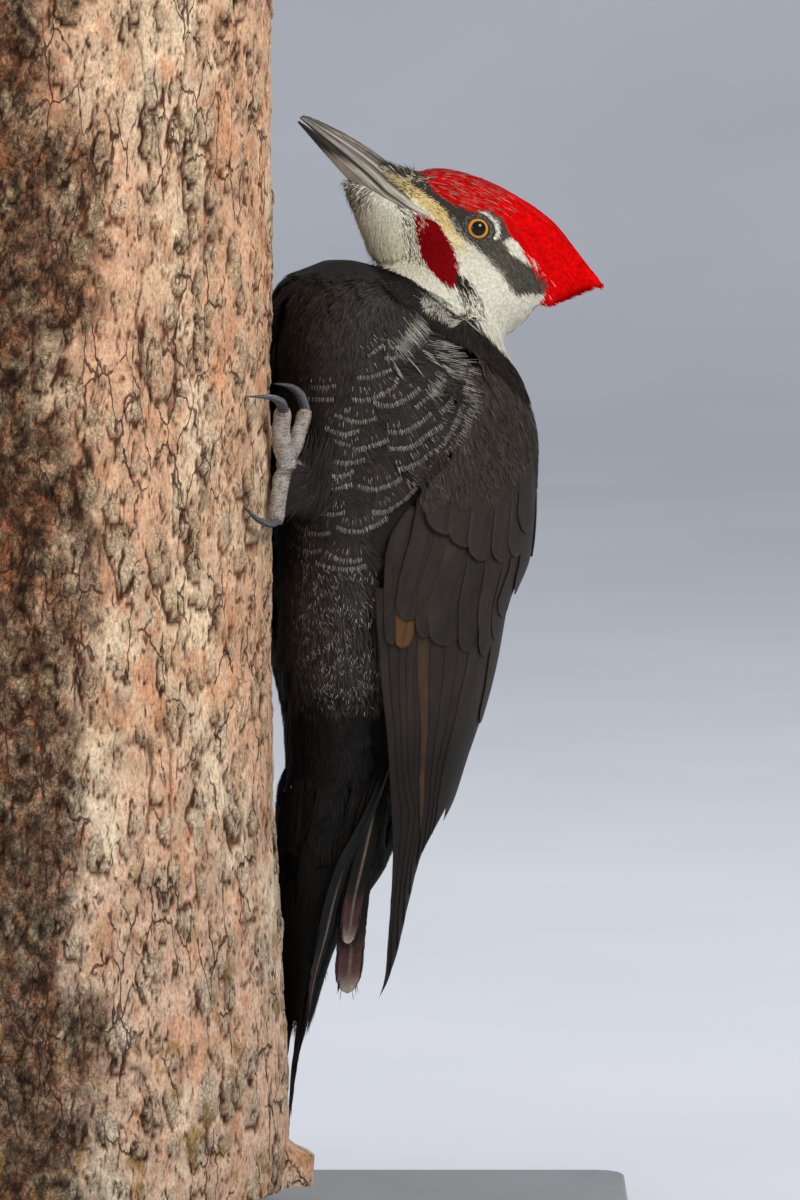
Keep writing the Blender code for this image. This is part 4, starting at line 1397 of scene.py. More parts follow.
def torso_at(u, degrees):
    """A point on the torso's table at heights u and degrees round from the breast."""
    at = through(TORSO, u)
    a = np.radians(degrees)
    c, s = np.cos(a), np.sin(a)
    power = np.where(np.abs(degrees) < 90, through(BELLY_SQUARE, u)[:, 0], 2.0)
    x = np.sign(c) * np.abs(c) ** (2 / power)
    y = np.sign(s) * np.abs(s) ** (2 / power)
    return bird_point(at[:, 0] - at[:, 1] * x, at[:, 2] * y, u)


ROW_STEP, ROW_STEP_LOW = 0.0056, 0.0050
TIP_HALF = 7.6  # half the width of a feather's rounded end, millimetres
TIP_SAG = 3.9  # how far its sides stand back from its middle
FULL_LENGTH = 0.42  # share of a feather's barbs that reach its rounded end
RUN_ON = 0.0045  # beyond this far from the surface a strand is left where it is
BODY_BARBS = 152  # of each feather
COVERT_BARBS, THIGH_BARBS = 420, 3600  # of each long covert, and of each thigh
UNDERTAIL_FEATHERS, UNDERTAIL_BARBS = 156, 76
CAST_FROM = 0.09  # how far out to the side rays start that look for the flank


def feather_places():
    """A diagonal lattice of feathers over torso and rump, left out under the folded wings."""
    rows = []
    u, row = 0.140, 0
    while u < 0.399:
        step = ROW_STEP_LOW if u < 0.225 else ROW_STEP
        table = through(TORSO, u)[0]
        girth = 2 * math.pi * math.hypot(table[1], table[2]) / math.sqrt(2)
        count = max(4, int(round(girth * 1000 / (1.72 * TIP_HALF))))
        a = (np.arange(count) + 0.5 * (row % 2)) * 360.0 / count - 180.0
        rows.append(np.stack([np.full(count, u), a], -1))
        u += step * (1.0 if u < 0.38 else 0.75)
        row += 1
    places = np.concatenate(rows)
    places += RNG.normal(0, 1, places.shape) * [0.0008, 1.5]
    u, a = places[:, 0], np.abs(places[:, 1])
    edges = through(WING, u)
    hidden = (a > edges[:, 3] + 9) & (a < edges[:, 5] - 8) & (u > 0.160) & (u < SOFT_WING_FROM)
    hidden |= (u > 0.252) & (u < 0.292) & (a > 125)
    places = places[~hidden]
    return torso_at(places[:, 0], places[:, 1])


SOFT_WING_FROM = 0.297


def wing_zone(p):
    """1 on the folded wing's upper part, which its soft coverts cover."""
    d, l, u = in_bird(p)
    front = through(WING, u)[:, 3]
    return smooth(front + 1.5, front + 6, around(d, l, u)) * (u > 0.262) * smooth(0.385, 0.378, u)


def soft_feathers(surface, at, heading, half, sag, length, fan, count, rng, regular=False):
    """Barbs of soft feathers. A feather is widest at its rounded end, where most of its barbs' tips lie.

    at, heading (N,3) and half, sag, length (N,), in metres. Returns which feather each barb is of, its share across,
    how far short of the end it stops (0 to 1), and its start, middle and end points."""
    n = len(at)
    at, normal = surface.nearest(at)
    heading = along(heading, normal)
    across = unit(np.cross(heading, normal))
    owner = np.repeat(np.arange(n), count)
    m = n * count
    if regular:
        x = np.tile((np.arange(count) + 0.5) / count * 2 - 1, n) + rng.normal(0, 0.25 / count, m)
    else:
        x = rng.uniform(-1, 1, m)
    pick = rng.random(m)
    short = np.where(pick < FULL_LENGTH, 0.0, (pick - FULL_LENGTH) / (1 - FULL_LENGTH)) * (not regular)
    span, wide, drop = length[owner], half[owner], sag[owner]
    tip_x = wide * x
    tip_y = -drop * x**2 - short * span * 0.85 + 0.00025 * rng.normal(0, 1, m)
    fan = np.broadcast_to(fan, n)[owner]
    lean = fan * x * (0.75 + 0.25 * np.abs(x)) + 0.05 * rng.normal(0, 1, m)
    own = span * (0.92 + 0.16 * rng.random(m))
    root_x = tip_x - own * np.sin(lean) * 0.80
    root_y = tip_y - own * np.cos(lean)
    mid_x = tip_x * 0.45 + root_x * 0.55 - wide * 0.045 * x
    mid_y = tip_y * 0.45 + root_y * 0.55
    base, ahead, out = at[owner], heading[owner], across[owner]

    def place(px, py):
        return base + out * px[:, None] + ahead * py[:, None]

    return owner, x, short, place(root_x, root_y), place(mid_x, mid_y), place(tip_x, tip_y)


def laid(surface, points, depths):
    """Strands' points (M,K,3) brought onto a surface, at depths (M,K) below it."""
    found, normals = surface.nearest(points)
    away = points - found
    beyond = np.linalg.norm(away, axis=2, keepdims=True) > RUN_ON
    found = np.where(beyond, points, found)
    return found - normals * depths[..., None], normals


def off_surface(surface, points):
    """How far points stand out from a surface."""
    found, normals = surface.nearest(points)
    return ((points - found) * normals).sum(-1)


FRINGE_PITCH = 24  # white dashes along a feather's rounded end


def body_coat():
    at = feather_places()
    thighs = []
    for side in (1, -1):
        for k in range(26):
            t, turn = 0.15 + 1.8 * RNG.random(), 2 * math.pi * RNG.random()
            d, l, u, r = through([(i, *row) for i, row in enumerate(THIGH)], t)[0]
            thighs.append(bird_point(d, side * l, u) + r * np.array([math.cos(turn), math.sin(turn), 0.2]))
    at = np.concatenate([at, np.array(thighs)])
    at, _ = ENVELOPE.nearest(at)
    at = at[above_neck_line(at) < -0.0015]
    n = len(at)
    d, l, u = in_bird(at)
    heading = lay(at) + RNG.normal(0, 0.06, (n, 3))
    vary = RNG.normal(0, 1, n).clip(-1.6, 1.6)
    breast = smooth(0.335, 0.375, u) * smooth(95, 60, around(d, l, u))
    low = smooth(0.226, 0.205, u)
    hairy = smooth(0.280, 0.250, u) * smooth(0.205, 0.214, u)
    wing = wing_zone(at)
    hairy = hairy * (1 - wing)
    breast = breast * (1 - wing)
    half = MM * TIP_HALF * (1 + 0.09 * vary - 0.10 * low - 0.15 * breast + 0.05 * wing)
    sag = MM * TIP_SAG * (1 + 0.12 * vary - 0.25 * breast + 0.2 * low)
    length = MM * (9.6 + 0.6 * vary + 2.4 * hairy + 2.5 * low + 2.4 * wing - 3.0 * smooth(0.378, 0.390, u))
    fan = 0.52 - 0.30 * smooth(0.352, 0.368, u) * smooth(45, 70, around(d, l, u))
    owner, x, short, root_at, mid_at, tip_at = soft_feathers(
        ENVELOPE, at, heading, half, sag, length, fan, BODY_BARBS, RNG
    )
    m = len(owner)
    mess = (0.5 * hairy + 0.35 * breast)[owner]
    rough = RNG.normal(0, 1, (m, 3)) * (MM * (0.35 + 0.9 * mess))[:, None]
    tip_at = tip_at + rough
    quarter = root_at * 0.30 + mid_at * 0.70
    later = mid_at * 0.42 + tip_at * 0.58
    # Left out: barbs that would stick out into the air, and those of the wing that would cover the flank's fringe.
    td, tl, tu = in_bird(tip_at)
    allowed = 2.6 + 4.0 * smooth(0.20, 0.17, tu) + 1.6 * smooth(0.368, 0.378, tu)
    stray = off_surface(ENVELOPE, tip_at) > MM * allowed
    root_on, root_normal = ENVELOPE.nearest(root_at)
    by_neck = (above_neck_line(root_at) > -0.008) & (td > 0.145)
    turned = (root_normal * ENVELOPE.nearest(tip_at)[1]).sum(1) < 0.72
    stray |= by_neck & (turned | (np.linalg.norm(root_at - root_on, axis=1) > 2.4 * MM))
    stray |= (np.linalg.norm(root_at - root_on, axis=1) > 4.0 * MM) & (tu > 0.360)
    stray |= (td < 0.1088) & (tu > 0.160) & (tu < 0.230)
    across_edge = (wing[owner] > 0.5) & (around(td, tl, tu) < through(WING, tu)[:, 3] + 0.5)
    kept = ~(stray | across_edge)
    owner, x, short, root_at, quarter, later, tip_at = (
        v[kept] for v in (owner, x, short, root_at, quarter, later, tip_at)
    )
    m = len(owner)
    mess = mess[kept]
    points = np.stack([root_at, quarter, later, tip_at], 1)
    rise = RNG.random(m)
    smooth_wing = wing[owner]
    loose = (0.20 + 0.30 * mess + 0.45 * (rise > 0.95)) * (1 - 0.6 * smooth_wing)
    crown = 0.30 * (1 - x**2)
    top = MM * (0.62 - loose * rise - crown)
    deep = MM * (2.5 - 0.4 * rise)
    depths = np.stack([deep, deep * 0.62 + top * 0.38, deep * 0.22 + top * 0.78, top], 1)
    centre, normals = laid(ENVELOPE, points, depths)
    value = RNG.random(m)
    own = RNG.random(n)[owner]
    jitter = RNG.normal(0, 0.5, (m, 2))
    root, tip = marks(centre[:, 2], jitter, value)
    rim = (short < 0.02) * low[owner]
    shade = strand_shades(np.ones((m, 3)), RNG, 1 - 0.3 * smooth_wing) * (0.92 + 0.16 * own)[:, None]
    grey_hair = (1.7 * (value > 0.60) * mess)[:, None]
    root = mix(root, C_WING * 1.5, smooth_wing * (root.sum(1) < 0.3))
    tip = mix(tip, C_WING * 2.1, smooth_wing * (tip.sum(1) < 0.3))
    base, end_colour = root * shade, tip * shade * (1 + 0.7 * rim)[:, None]
    end_colour = end_colour * (1 - 0.5 * grey_hair) + C_HAIR_GREY * 0.5 * grey_hair
    colour = np.stack([base * 0.8, base * 0.9, end_colour, end_colour * 1.08], 1)
    width = MM * (0.130 + 0.05 * RNG.random(m))
    across_all = sideways(centre, normals, RNG.normal(0, 0.25, m))
    rows = width[:, None] * np.array([0.9, 1.1, 0.95, 0.0])[None]
    batches = [ribbons(centre, across_all, rows, colour, unwrap(at)[owner], True, normals)]
    batches.append(white_fringes(at, heading, half, sag, length))
    batches += traced_feathers()
    batches += long_coverts()
    batches += undertail_feathers()
    batches += thigh_tufts()
    make_coat("coat_body", batches, M_BODY, "plumage_black")


LONG_COVERTS = [  # tip's distance, left and height, half width, length, millimetres
    (143.0, 23, 149, 5.0, 34),
    (139.0, 25, 154, 5.0, 30),
    (135.5, 22, 150, 5.5, 30),
    (131.0, 22, 156, 5.5, 28),
    (127.5, 17, 147, 6.0, 30),
    (121.5, 18, 161, 6.0, 26),
    (123.0, 10, 146, 6.0, 30),
    (116.5, 12, 156, 6.0, 26),
    (118.5, 4, 146, 6.0, 28),
    (112.0, 6, 160, 6.0, 24),
    (137.0, 15, 150, 6.0, 30),
    (133.0, 8, 148, 6.0, 30),
    (128.0, 3, 145, 6.0, 30),
    (136.0, 4, 156, 6.0, 26),
    (142.0, 14, 160, 6.0, 28),
    (144.0, 6, 166, 6.0, 26),
]


def strand_shades(colour, rng, contrast=1.0):
    """Each strand its own shade: most near the coat's colour, a few pale, many dark."""
    value = rng.random(len(colour))
    shade = 0.50 + 0.60 * value + 1.5 * contrast * smooth(0.84, 1.0, value)
    warm = np.array([1.06, 1.0, 0.93])
    return colour * shade[:, None] * warm


def dark_strands(centre, normals, at, shade, tones, width_mm, taper, roll, rng):
    """Strands of four points in their own shades (M,3). tones and taper run along each, width_mm is the least width
    and what chance adds, and at are the places that their patches on the OFBake map are taken from."""
    m = len(shade)
    colour = shade[:, None] * np.array(tones)[None, :, None]
    width = MM * (width_mm[0] + width_mm[1] * rng.random(m))[:, None] * np.array(taper)[None]
    across = sideways(centre, normals, rng.normal(0, roll, m))
    return ribbons(centre, across, width, colour, unwrap(at), True, normals)


TONES = (0.8, 0.9, 1.0, 1.1)
TAPER = (1.0, 1.1, 0.9, 0.0)


def long_coverts():
    """Soft black feathers that run down from the rump over the tail's roots."""
    rng = np.random.default_rng(SEEDS["long_coverts"])
    batches = []
    for side in (1, -1):
        for d, l, u, half, length in LONG_COVERTS:
            m = COVERT_BARBS
            tip_mid = bird_point(d * MM, side * l * MM, u * MM)
            radial = unit((d - 128) * OUT + 1.1 * side * l * LEFT + 1e-6)
            ahead = unit(-UP - 0.20 * OUT * (d < 140))
            radial = along(radial[None], ahead[None])[0]
            out = np.cross(ahead, radial)
            x = rng.uniform(-1, 1, m)
            short = np.where(rng.random(m) < 0.35, 0.0, rng.random(m) * 0.8)
            tx = half * x * MM
            ty = MM * (-0.55 * half * x**2 - short * length * 0.9 + 0.4 * rng.normal(0, 1, m))
            own = MM * length * (0.42 + 0.1 * rng.random(m))
            lean = 0.34 * x + 0.05 * rng.normal(0, 1, m)
            rx, ry = tx - own * np.sin(lean), ty - own * np.cos(lean)
            k = np.array([0.0, 0.35, 0.7, 1.0])
            px = rx[:, None] + (tx - rx)[:, None] * k**1.3
            py = ry[:, None] + (ty - ry)[:, None] * k
            bend = MM * (-0.03 * (px / MM) ** 2 + 0.5 * rng.random(m)[:, None] - 2.2 * (1 - k))
            centre = tip_mid + px[..., None] * out + py[..., None] * ahead + bend[..., None] * radial
            normals = unit(radial + out * (px / (half * MM) * 0.35)[..., None])
            shade = strand_shades(np.tile(C_BLACK_LOW, (m, 1)), rng) * (1 + 0.8 * (short == 0))[:, None]
            place = np.tile(tip_mid, (m, 1))
            batches.append(dark_strands(centre, normals, place, shade, TONES, (0.16, 0.06), TAPER, 0.25, rng))
    return batches


def undertail_at(u, turn, deep):
    """Points of the loose mass under the tail's root, at heights u, radians round from the trunk's side and a depth."""
    at = through(UNDERTAIL, u)
    d = at[:, 0] - np.maximum(at[:, 1] - deep, 0.0005) * np.cos(turn)
    return bird_point(np.maximum(d, BY_TRUNK), np.maximum(at[:, 2] - deep, 0.0005) * np.sin(turn), u)


def undertail_feathers():
    """Loose black feathers that fill the wedge between the rump, the tail's roots and the trunk."""
    rng = np.random.default_rng(SEEDS["undertail"])
    n, per = UNDERTAIL_FEATHERS, UNDERTAIL_BARBS
    m = n * per
    owner = np.repeat(np.arange(n), per)
    u0 = (0.198 - 0.096 * rng.random(n) ** 0.95)[owner]
    turn0 = (2 * np.pi * rng.random(n))[owner]
    length = (0.021 + 0.009 * rng.random(n))[owner]
    x = rng.uniform(-1, 1, m)
    short = np.where(rng.random(m) < 0.45, 0.0, rng.random(m) * 0.7)
    k = np.array([0.0, 0.35, 0.7, 1.0])
    u = u0[:, None] - (length * (1 - 0.12 * x**2) * (1 - 0.8 * short))[:, None] * k
    u = np.maximum(u, 0.0685)
    girth = through(UNDERTAIL, u.ravel())[:, 1:3].mean(1).reshape(u.shape)
    turn = turn0[:, None] + 0.0042 / girth * x[:, None] * (0.35 + 0.65 * k**0.8) + rng.normal(0, 0.03, (m, 1))
    deep = MM * (1.7 * (1 - k)[None] ** 1.5 + (0.8 * rng.random(m) - 0.4)[:, None] * k)
    flat_u, flat_turn = u.ravel(), turn.ravel()
    centre = undertail_at(flat_u, flat_turn, deep.ravel()).reshape(m, 4, 3)
    at = through(UNDERTAIL, flat_u)
    normals = -np.cos(flat_turn)[:, None] / at[:, 1:2] * OUT + np.sin(flat_turn)[:, None] / at[:, 2:3] * LEFT
    normals = unit(normals).reshape(m, 4, 3)
    shade = strand_shades(np.tile(C_BLACK_LOW * 0.85, (m, 1)), rng, 0.6) * (1 + 0.5 * (short == 0))[:, None]
    return [dark_strands(centre, normals, centre[:, 0], shade, TONES, (0.15, 0.06), TAPER, 0.25, rng)]


def thigh_tufts():
    """Feathers of the thighs, which hide the shanks down to the feet."""
    rng = np.random.default_rng(SEEDS["thighs"])
    batches = []
    table = [(i, *row) for i, row in enumerate(THIGH)]
    for side in (1, -1):
        m = THIGH_BARBS
        t, turn = 1.25 + 0.85 * rng.random(m), 2 * np.pi * rng.random(m)
        d, l, u, r = through(table, t).T
        middle = bird_point(d, side * l, u)
        shank = unit(-0.80 * OUT + side * 0.38 * LEFT + 0.46 * UP)
        first = unit(np.cross(shank, UP))
        second = np.cross(first, shank)
        outward = np.cos(turn)[:, None] * first + np.sin(turn)[:, None] * second
        start = middle + outward * (r * 0.9)[:, None]
        way = unit(-0.62 * OUT - 0.70 * UP + side * 0.05 * LEFT + rng.normal(0, 0.10, (m, 3)) + 0.10 * outward)
        length = MM * (5.0 + 3.0 * rng.random(m))
        k = np.array([0.0, 0.3, 0.65, 1.0])
        centre = start[:, None] + way[:, None] * (length[:, None] * k)[..., None]
        centre = centre + outward[:, None] * (MM * 1.3 * np.sin(np.pi * k * 0.7))[None, :, None]
        # The longer ones hang in front of the shank.
        hang = rng.random(m) < 0.55
        late = rng.random(m) < 0.45
        d0, u0 = 0.1000 + 0.0180 * rng.random(m) ** 1.8, 0.3130 + 0.0190 * rng.random(m)
        d0 = np.where(late, 0.0985 + 0.0130 * rng.random(m) ** 1.6, d0)
        u0 = np.where(late, 0.3090 + 0.0130 * rng.random(m), u0)
        on_skin, _ = ENVELOPE.cast(bird_point(d0, np.full(m, side * CAST_FROM), u0), -side * LEFT)
        in_front = 0.55 * on_skin + 0.45 * bird_point(d0 - 0.0045, np.full(m, side * 0.0515), u0 - 0.0060)
        first_at = on_skin - side * 0.0010 * LEFT
        hangs = 0.70 + 0.50 * rng.random(m)
        end = bird_point(d0 - 0.0090 * hangs, np.full(m, side * 0.0495), u0 - np.where(late, 0.011, 0.0150) * hangs)
        end = end + rng.normal(0, 0.0014, (m, 3))
        w = k[None, :, None]
        curve = (1 - w) ** 2 * first_at[:, None] + 2 * w * (1 - w) * in_front[:, None] + w**2 * end[:, None]
        centre = np.where(hang[:, None, None], curve, centre)
        normals = np.broadcast_to(unit(outward + 0.6 * side * LEFT)[:, None], centre.shape)
        normals = np.where(hang[:, None, None], unit(side * LEFT + 0.25 * outward)[:, None], normals)
        shade = strand_shades(np.tile(C_BLACK, (m, 1)), rng)
        tones = (0.6, 0.8, 1.0, 1.1)
        batches.append(dark_strands(centre, normals, start, shade, tones, (0.11, 0.04), TAPER, 0.3, rng))
    return batches


# The photo's pale-edged flank feathers: the length of the pale dashes, the degrees below level that they point (None:
# across the path), and a path along each feather's end as distance from the trunk and height, in millimetres.
FLANK_ARCS = [
    (1.5, None, [(139.9, 367.9), (140.3, 365.1), (142.4, 364.2), (144.9, 364.6)]),
    (1.5, None, [(131.1, 361.2), (134.0, 363.2), (137.8, 365.9)]),
    (1.5, None, [(137.6, 360.7), (141.0, 360.2), (144.4, 361.0)]),
    (1.5, None, [(126.6, 352.7), (131.7, 352.7), (136.7, 354.3), (140.9, 355.8)]),
    (1.6, None, [(124.5, 343.9), (128.4, 343.4), (133.3, 344.2), (138.2, 346.6), (142.0, 348.9),
        (143.3, 352.5)]),
    (1.4, None, [(110.5, 348.4), (114.4, 348.6), (118.6, 349.5)]),
    (1.4, None, [(108.7, 343.8), (113.0, 343.7), (117.8, 343.8)]),
    (1.7, None, [(132.9, 342.6), (136.6, 341.3), (141.1, 341.2), (145.8, 343.2), (150.9, 346.3),
        (152.6, 348.3)]),
    (1.5, None, [(117.8, 337.7), (120.7, 336.5), (123.7, 335.3), (127.6, 334.5), (131.6, 335.3),
        (134.5, 336.5)]),
    (1.6, None, [(114.6, 332.4), (118.1, 330.4), (121.8, 329.7), (125.3, 330.5), (127.6, 331.3)]),
    (1.5, None, [(117.4, 327.2), (120.7, 326.0), (123.7, 325.2)]),
    (1.7, None, [(139.0, 330.7), (143.3, 330.2), (147.5, 331.0), (151.7, 333.3), (155.1, 335.7),
        (157.7, 338.1)]),
    (1.7, None, [(150.9, 340.2), (154.3, 343.0), (157.8, 344.9), (160.4, 347.3)]),
    (1.6, None, [(124.5, 324.0), (127.6, 323.6), (131.6, 324.8), (135.7, 325.9), (139.0, 327.5)]),
    (1.7, None, [(139.0, 323.8), (144.1, 323.7), (148.3, 324.0), (151.7, 325.6), (154.3, 328.0),
        (158.1, 330.3), (162.5, 332.7)]),
    (1.6, None, [(112.3, 322.2), (114.9, 320.6), (117.7, 318.7), (121.4, 317.9), (125.2, 318.3),
        (129.6, 319.5)]),
    (1.6, None, [(109.4, 316.4), (110.7, 314.4), (114.2, 313.3), (118.6, 312.7), (122.9, 313.5),
        (125.2, 315.1)]),
    (1.6, None, [(106.3, 309.4), (108.1, 308.5), (111.4, 307.3), (115.5, 307.3), (119.9, 308.4),
        (124.4, 309.4)]),
    (1.7, None, [(126.4, 309.0), (130.0, 307.7), (134.1, 307.3), (138.2, 308.4), (141.6, 309.6),
        (145.0, 311.9)]),
    (1.4, None, [(107.7, 304.0), (108.7, 304.3), (112.4, 305.2)]),
    (1.6, None, [(108.5, 301.6), (110.1, 299.8), (112.6, 297.9), (116.1, 297.2), (119.8, 297.6),
        (122.0, 298.5)]),
    (2.6, None, [(176.4, 343.9), (174.4, 338.3), (172.2, 334.8), (169.6, 329.5), (167.5, 325.9),
        (165.0, 323.1), (161.9, 320.7), (158.6, 317.5), (155.3, 313.9), (151.2, 310.3), (147.3, 307.9)]),
    (2.0, None, [(161.2, 337.6), (164.3, 339.9), (166.3, 342.3), (167.9, 345.6)]),
    (2.2, None, [(159.3, 322.2), (162.5, 325.4), (164.9, 328.7), (166.9, 332.3), (169.0, 336.7),
        (169.9, 341.2)]),
    (1.8, None, [(143.3, 315.2), (147.5, 315.9), (151.7, 317.5), (155.1, 319.8), (158.1, 322.2)]),
    (1.8, None, [(132.4, 298.0), (135.7, 297.9), (139.0, 298.3), (142.2, 300.3), (145.2, 302.7),
        (148.3, 305.6), (150.0, 307.6)]),
    (1.6, None, [(105.5, 293.0), (107.0, 290.8), (109.7, 289.1), (112.8, 288.9), (116.6, 289.9)]),
    (1.6, None, [(118.4, 292.3), (121.3, 290.7), (124.4, 290.3), (128.4, 290.3), (131.6, 291.9),
        (134.9, 293.1), (138.9, 295.9)]),
    (1.6, None, [(104.6, 285.6), (105.8, 283.6), (107.9, 282.0), (110.7, 281.4), (113.5, 282.8)]),
    (1.6, None, [(114.9, 282.1), (117.8, 279.7), (121.5, 278.1), (125.4, 278.1), (128.5, 278.9)]),
    (1.6, None, [(111.7, 277.4), (114.7, 275.9), (118.2, 275.2), (122.0, 274.8), (126.2, 275.2),
        (130.2, 276.4)]),
    (6.5, 3, [(161.3, 367.0), (162.1, 365.0), (162.4, 363.4)]),
    (6.5, 6, [(167.0, 366.0), (168.3, 364.3), (168.6, 362.7)]),
    (6.0, 10, [(163.8, 362.5), (165.0, 360.1), (166.3, 358.0)]),
    (6.0, 9, [(170.3, 361.9), (171.6, 359.9), (172.4, 358.0)]),
    (5.5, 20, [(168.9, 357.6), (169.7, 355.2), (171.0, 352.8)]),
    (5.5, 16, [(173.5, 357.6), (174.4, 355.2), (174.9, 352.8)]),
    (5.0, 26, [(164.4, 356.9), (166.1, 354.4), (167.6, 352.0)]),
    (5.0, 22, [(172.1, 352.0), (173.0, 349.6), (173.6, 347.2)]),
    (4.5, 24, [(169.0, 350.4), (170.3, 348.0), (171.2, 345.6)]),
    (4.0, 18, [(174.9, 347.2), (174.7, 344.8), (173.8, 342.4)]),
    (4.0, 30, [(156.4, 362.8), (158.1, 360.3), (159.8, 357.8)]),
    (4.0, 48, [(148.5, 359.3), (151.0, 357.2), (152.7, 354.8)]),
    (3.6, 55, [(141.0, 359.8), (143.4, 356.2), (144.2, 352.9)]),
    (5.2, 52, [(156.1, 375.2), (153.5, 372.1), (150.1, 368.5), (147.0, 364.6), (143.9, 361.0)]),
    (5.0, 54, [(154.2, 374.8), (151.2, 370.9), (147.9, 367.0), (144.9, 363.4)]),
    (4.6, 48, [(156.8, 373.2), (153.7, 369.7), (150.9, 366.1)]),
    (4.2, 42, [(156.9, 344.6), (159.5, 347.7), (162.3, 350.9), (164.2, 353.3)]),
    (4.0, 40, [(158.6, 345.7), (161.3, 348.5), (164.1, 351.2)]),
    (5.5, 38, [(157.7, 383.7), (162.6, 384.2), (167.5, 383.6), (170.8, 381.5)]),
    (5.5, 36, [(158.9, 381.4), (163.9, 381.5), (168.6, 380.0), (171.8, 377.9)]),
    (5.0, 40, [(166.8, 383.2), (169.8, 381.5), (172.3, 379.5)]),
    (3.4, 42, [(172.5, 377.1), (174.3, 375.7), (176.9, 373.4), (180.1, 370.1)]),
]
FAN_LENGTH = 11.0
DASH_PROUD = 0.15  # how far the pale dashes stand out over the dark barbs, millimetres
FRINGE_STEP, BARB_STEP = 0.52, 0.16


def flank_arcs(side, rng):
    """Dashes and fans of dark barbs for FLANK_ARCS on one side."""
    dashes, fans = [], []
    for pale, lean, path in FLANK_ARCS:
        path = np.array(path) * MM
        run = np.concatenate([[0], np.cumsum(np.hypot(*np.diff(path, axis=0).T))])
        crowd = 0.75 if pale > 2.8 else 1.0
        slope = unit(path[-1:] - path[:1])[0]
        middle_way = np.array([slope[1], -slope[0]])
        middle_way = middle_way * np.sign(middle_way @ np.array([0.55, -0.83]))
        for step, into in ((FRINGE_STEP * crowd, dashes), (BARB_STEP, fans)):
            count = max(3, int(run[-1] / (step * MM)))
            s = (np.arange(count) + 0.5 + rng.normal(0, 0.22, count)) / count * run[-1]
            at, ahead, behind = (
                np.stack([np.interp(s + off, run, path[:, k]) for k in (0, 1)], -1) for off in (0, MM, -MM)
            )
            slope = unit(ahead - behind + 1e-9)
            way = np.stack([slope[:, 1], -slope[:, 0]], -1)
            way *= np.sign(way @ np.array([0.55, -0.83]))[:, None]
            if lean is not None:
                middle_way = np.array([math.cos(math.radians(lean)), -math.sin(math.radians(lean))])
                way = np.tile(middle_way, (count, 1))
            way = unit(0.55 * way + 0.45 * middle_way + rng.normal(0, 0.05, way.shape))
            if pale > 2.4:
                at = at + way * (MM * rng.normal(0, 0.30 * pale, count))[:, None]
            if into is dashes and pale <= 2.8:
                again = rng.random(count) < 0.22
                back = (2.6 + 2.0 * rng.random(count))[again]
                at = np.concatenate([at, at[again] - way[again] * (MM * back)[:, None]])
                way = np.concatenate([way, unit(way[again] + rng.normal(0, 0.10, (again.sum(), 2)))])
                count = len(at)
            place, normal = ENVELOPE.cast(bird_point(at[:, 0], side * CAST_FROM, at[:, 1]), -side * LEFT)
            way = along(way[:, :1] * OUT + way[:, 1:] * UP, normal)
            centre = place.mean(0)
            base = centre - way.mean(0) * FAN_LENGTH * MM
            root = base + (place - centre) * 0.42
            into.append((place, way, root, np.full(count, pale)))
    return [[np.concatenate(v) for v in zip(*group)] for group in (dashes, fans)]


def traced_feathers():
    rng = np.random.default_rng(SEEDS["flank"])
    batches = []
    for side in (1, -1):
        (at, way, _, pale), (fan_at, fan_way, fan_root, _) = flank_arcs(side, rng)
        m = len(fan_at)
        rise = rng.random(m)
        tip = fan_at + fan_way * (MM * rng.normal(0.35, 0.45, m))[:, None]
        middle = 0.45 * fan_root + 0.55 * tip - fan_way * 0.0004
        points = np.stack([fan_root, 0.5 * (fan_root + middle), 0.5 * (middle + tip), tip], 1)
        top = MM * (0.30 - 0.28 * rise)
        depths = np.stack([top + 1.5 * MM, top + 0.7 * MM, top + 0.22 * MM, top], 1)
        centre, normals = laid(ENVELOPE, points, depths)
        shade = strand_shades(np.tile(C_BLACK, (m, 1)), rng)
        tones, taper = (0.75, 0.95, 1.1, 1.15), (0.9, 1.1, 0.95, 0.0)
        batches.append(dark_strands(centre, normals, fan_at, shade, tones, (0.10, 0.05), taper, 0.3, rng))
        length = MM * pale * (0.65 + 0.8 * rng.random(len(at)))
        length = length * np.where(pale > 2.4, 0.8 + 0.4 * rng.random(len(at)), 1)
        batches.append(pale_dashes(at, way, length, rng))
    return batches


def pale_dashes(at, way, length, rng):
    """White barb ends centred on the points at, as strands of four points whose first half is dark."""
    m = len(at)
    tip = at + way * (length * 0.5)[:, None]
    start = at - way * (length * 0.5)[:, None]
    before = start - way * 0.0003
    points = np.stack([before - way * 0.0014, before, start, tip], 1)
    top = MM * (0.12 - 0.30 * rng.random(m) - DASH_PROUD)
    depths = np.stack([top + 0.8 * MM, top + 0.30 * MM, top + 0.10 * MM, top], 1)
    centre, normals = laid(ENVELOPE, points, depths)
    white = C_FRINGE * (0.36 + 0.64 * rng.random(m) ** 1.3)[:, None]
    dark = np.tile(C_BLACK, (m, 1))
    colour = np.stack([dark, dark, white * 0.8, white], 1)
    thin = np.where(length > 2.4 * MM, 0.8, 1.0)
    width = MM * (thin * (0.070 + 0.045 * rng.random(m)))[:, None] * np.array([0.8, 0.9, 1.0, 0.4])[None]
    across = sideways(centre, normals, rng.normal(0, 0.25, m))
    return ribbons(centre, across, width, colour, unwrap(at), False, normals)


TRACED_ABOVE = 0.2755  # the traced feathers take over from the random fringe above this height


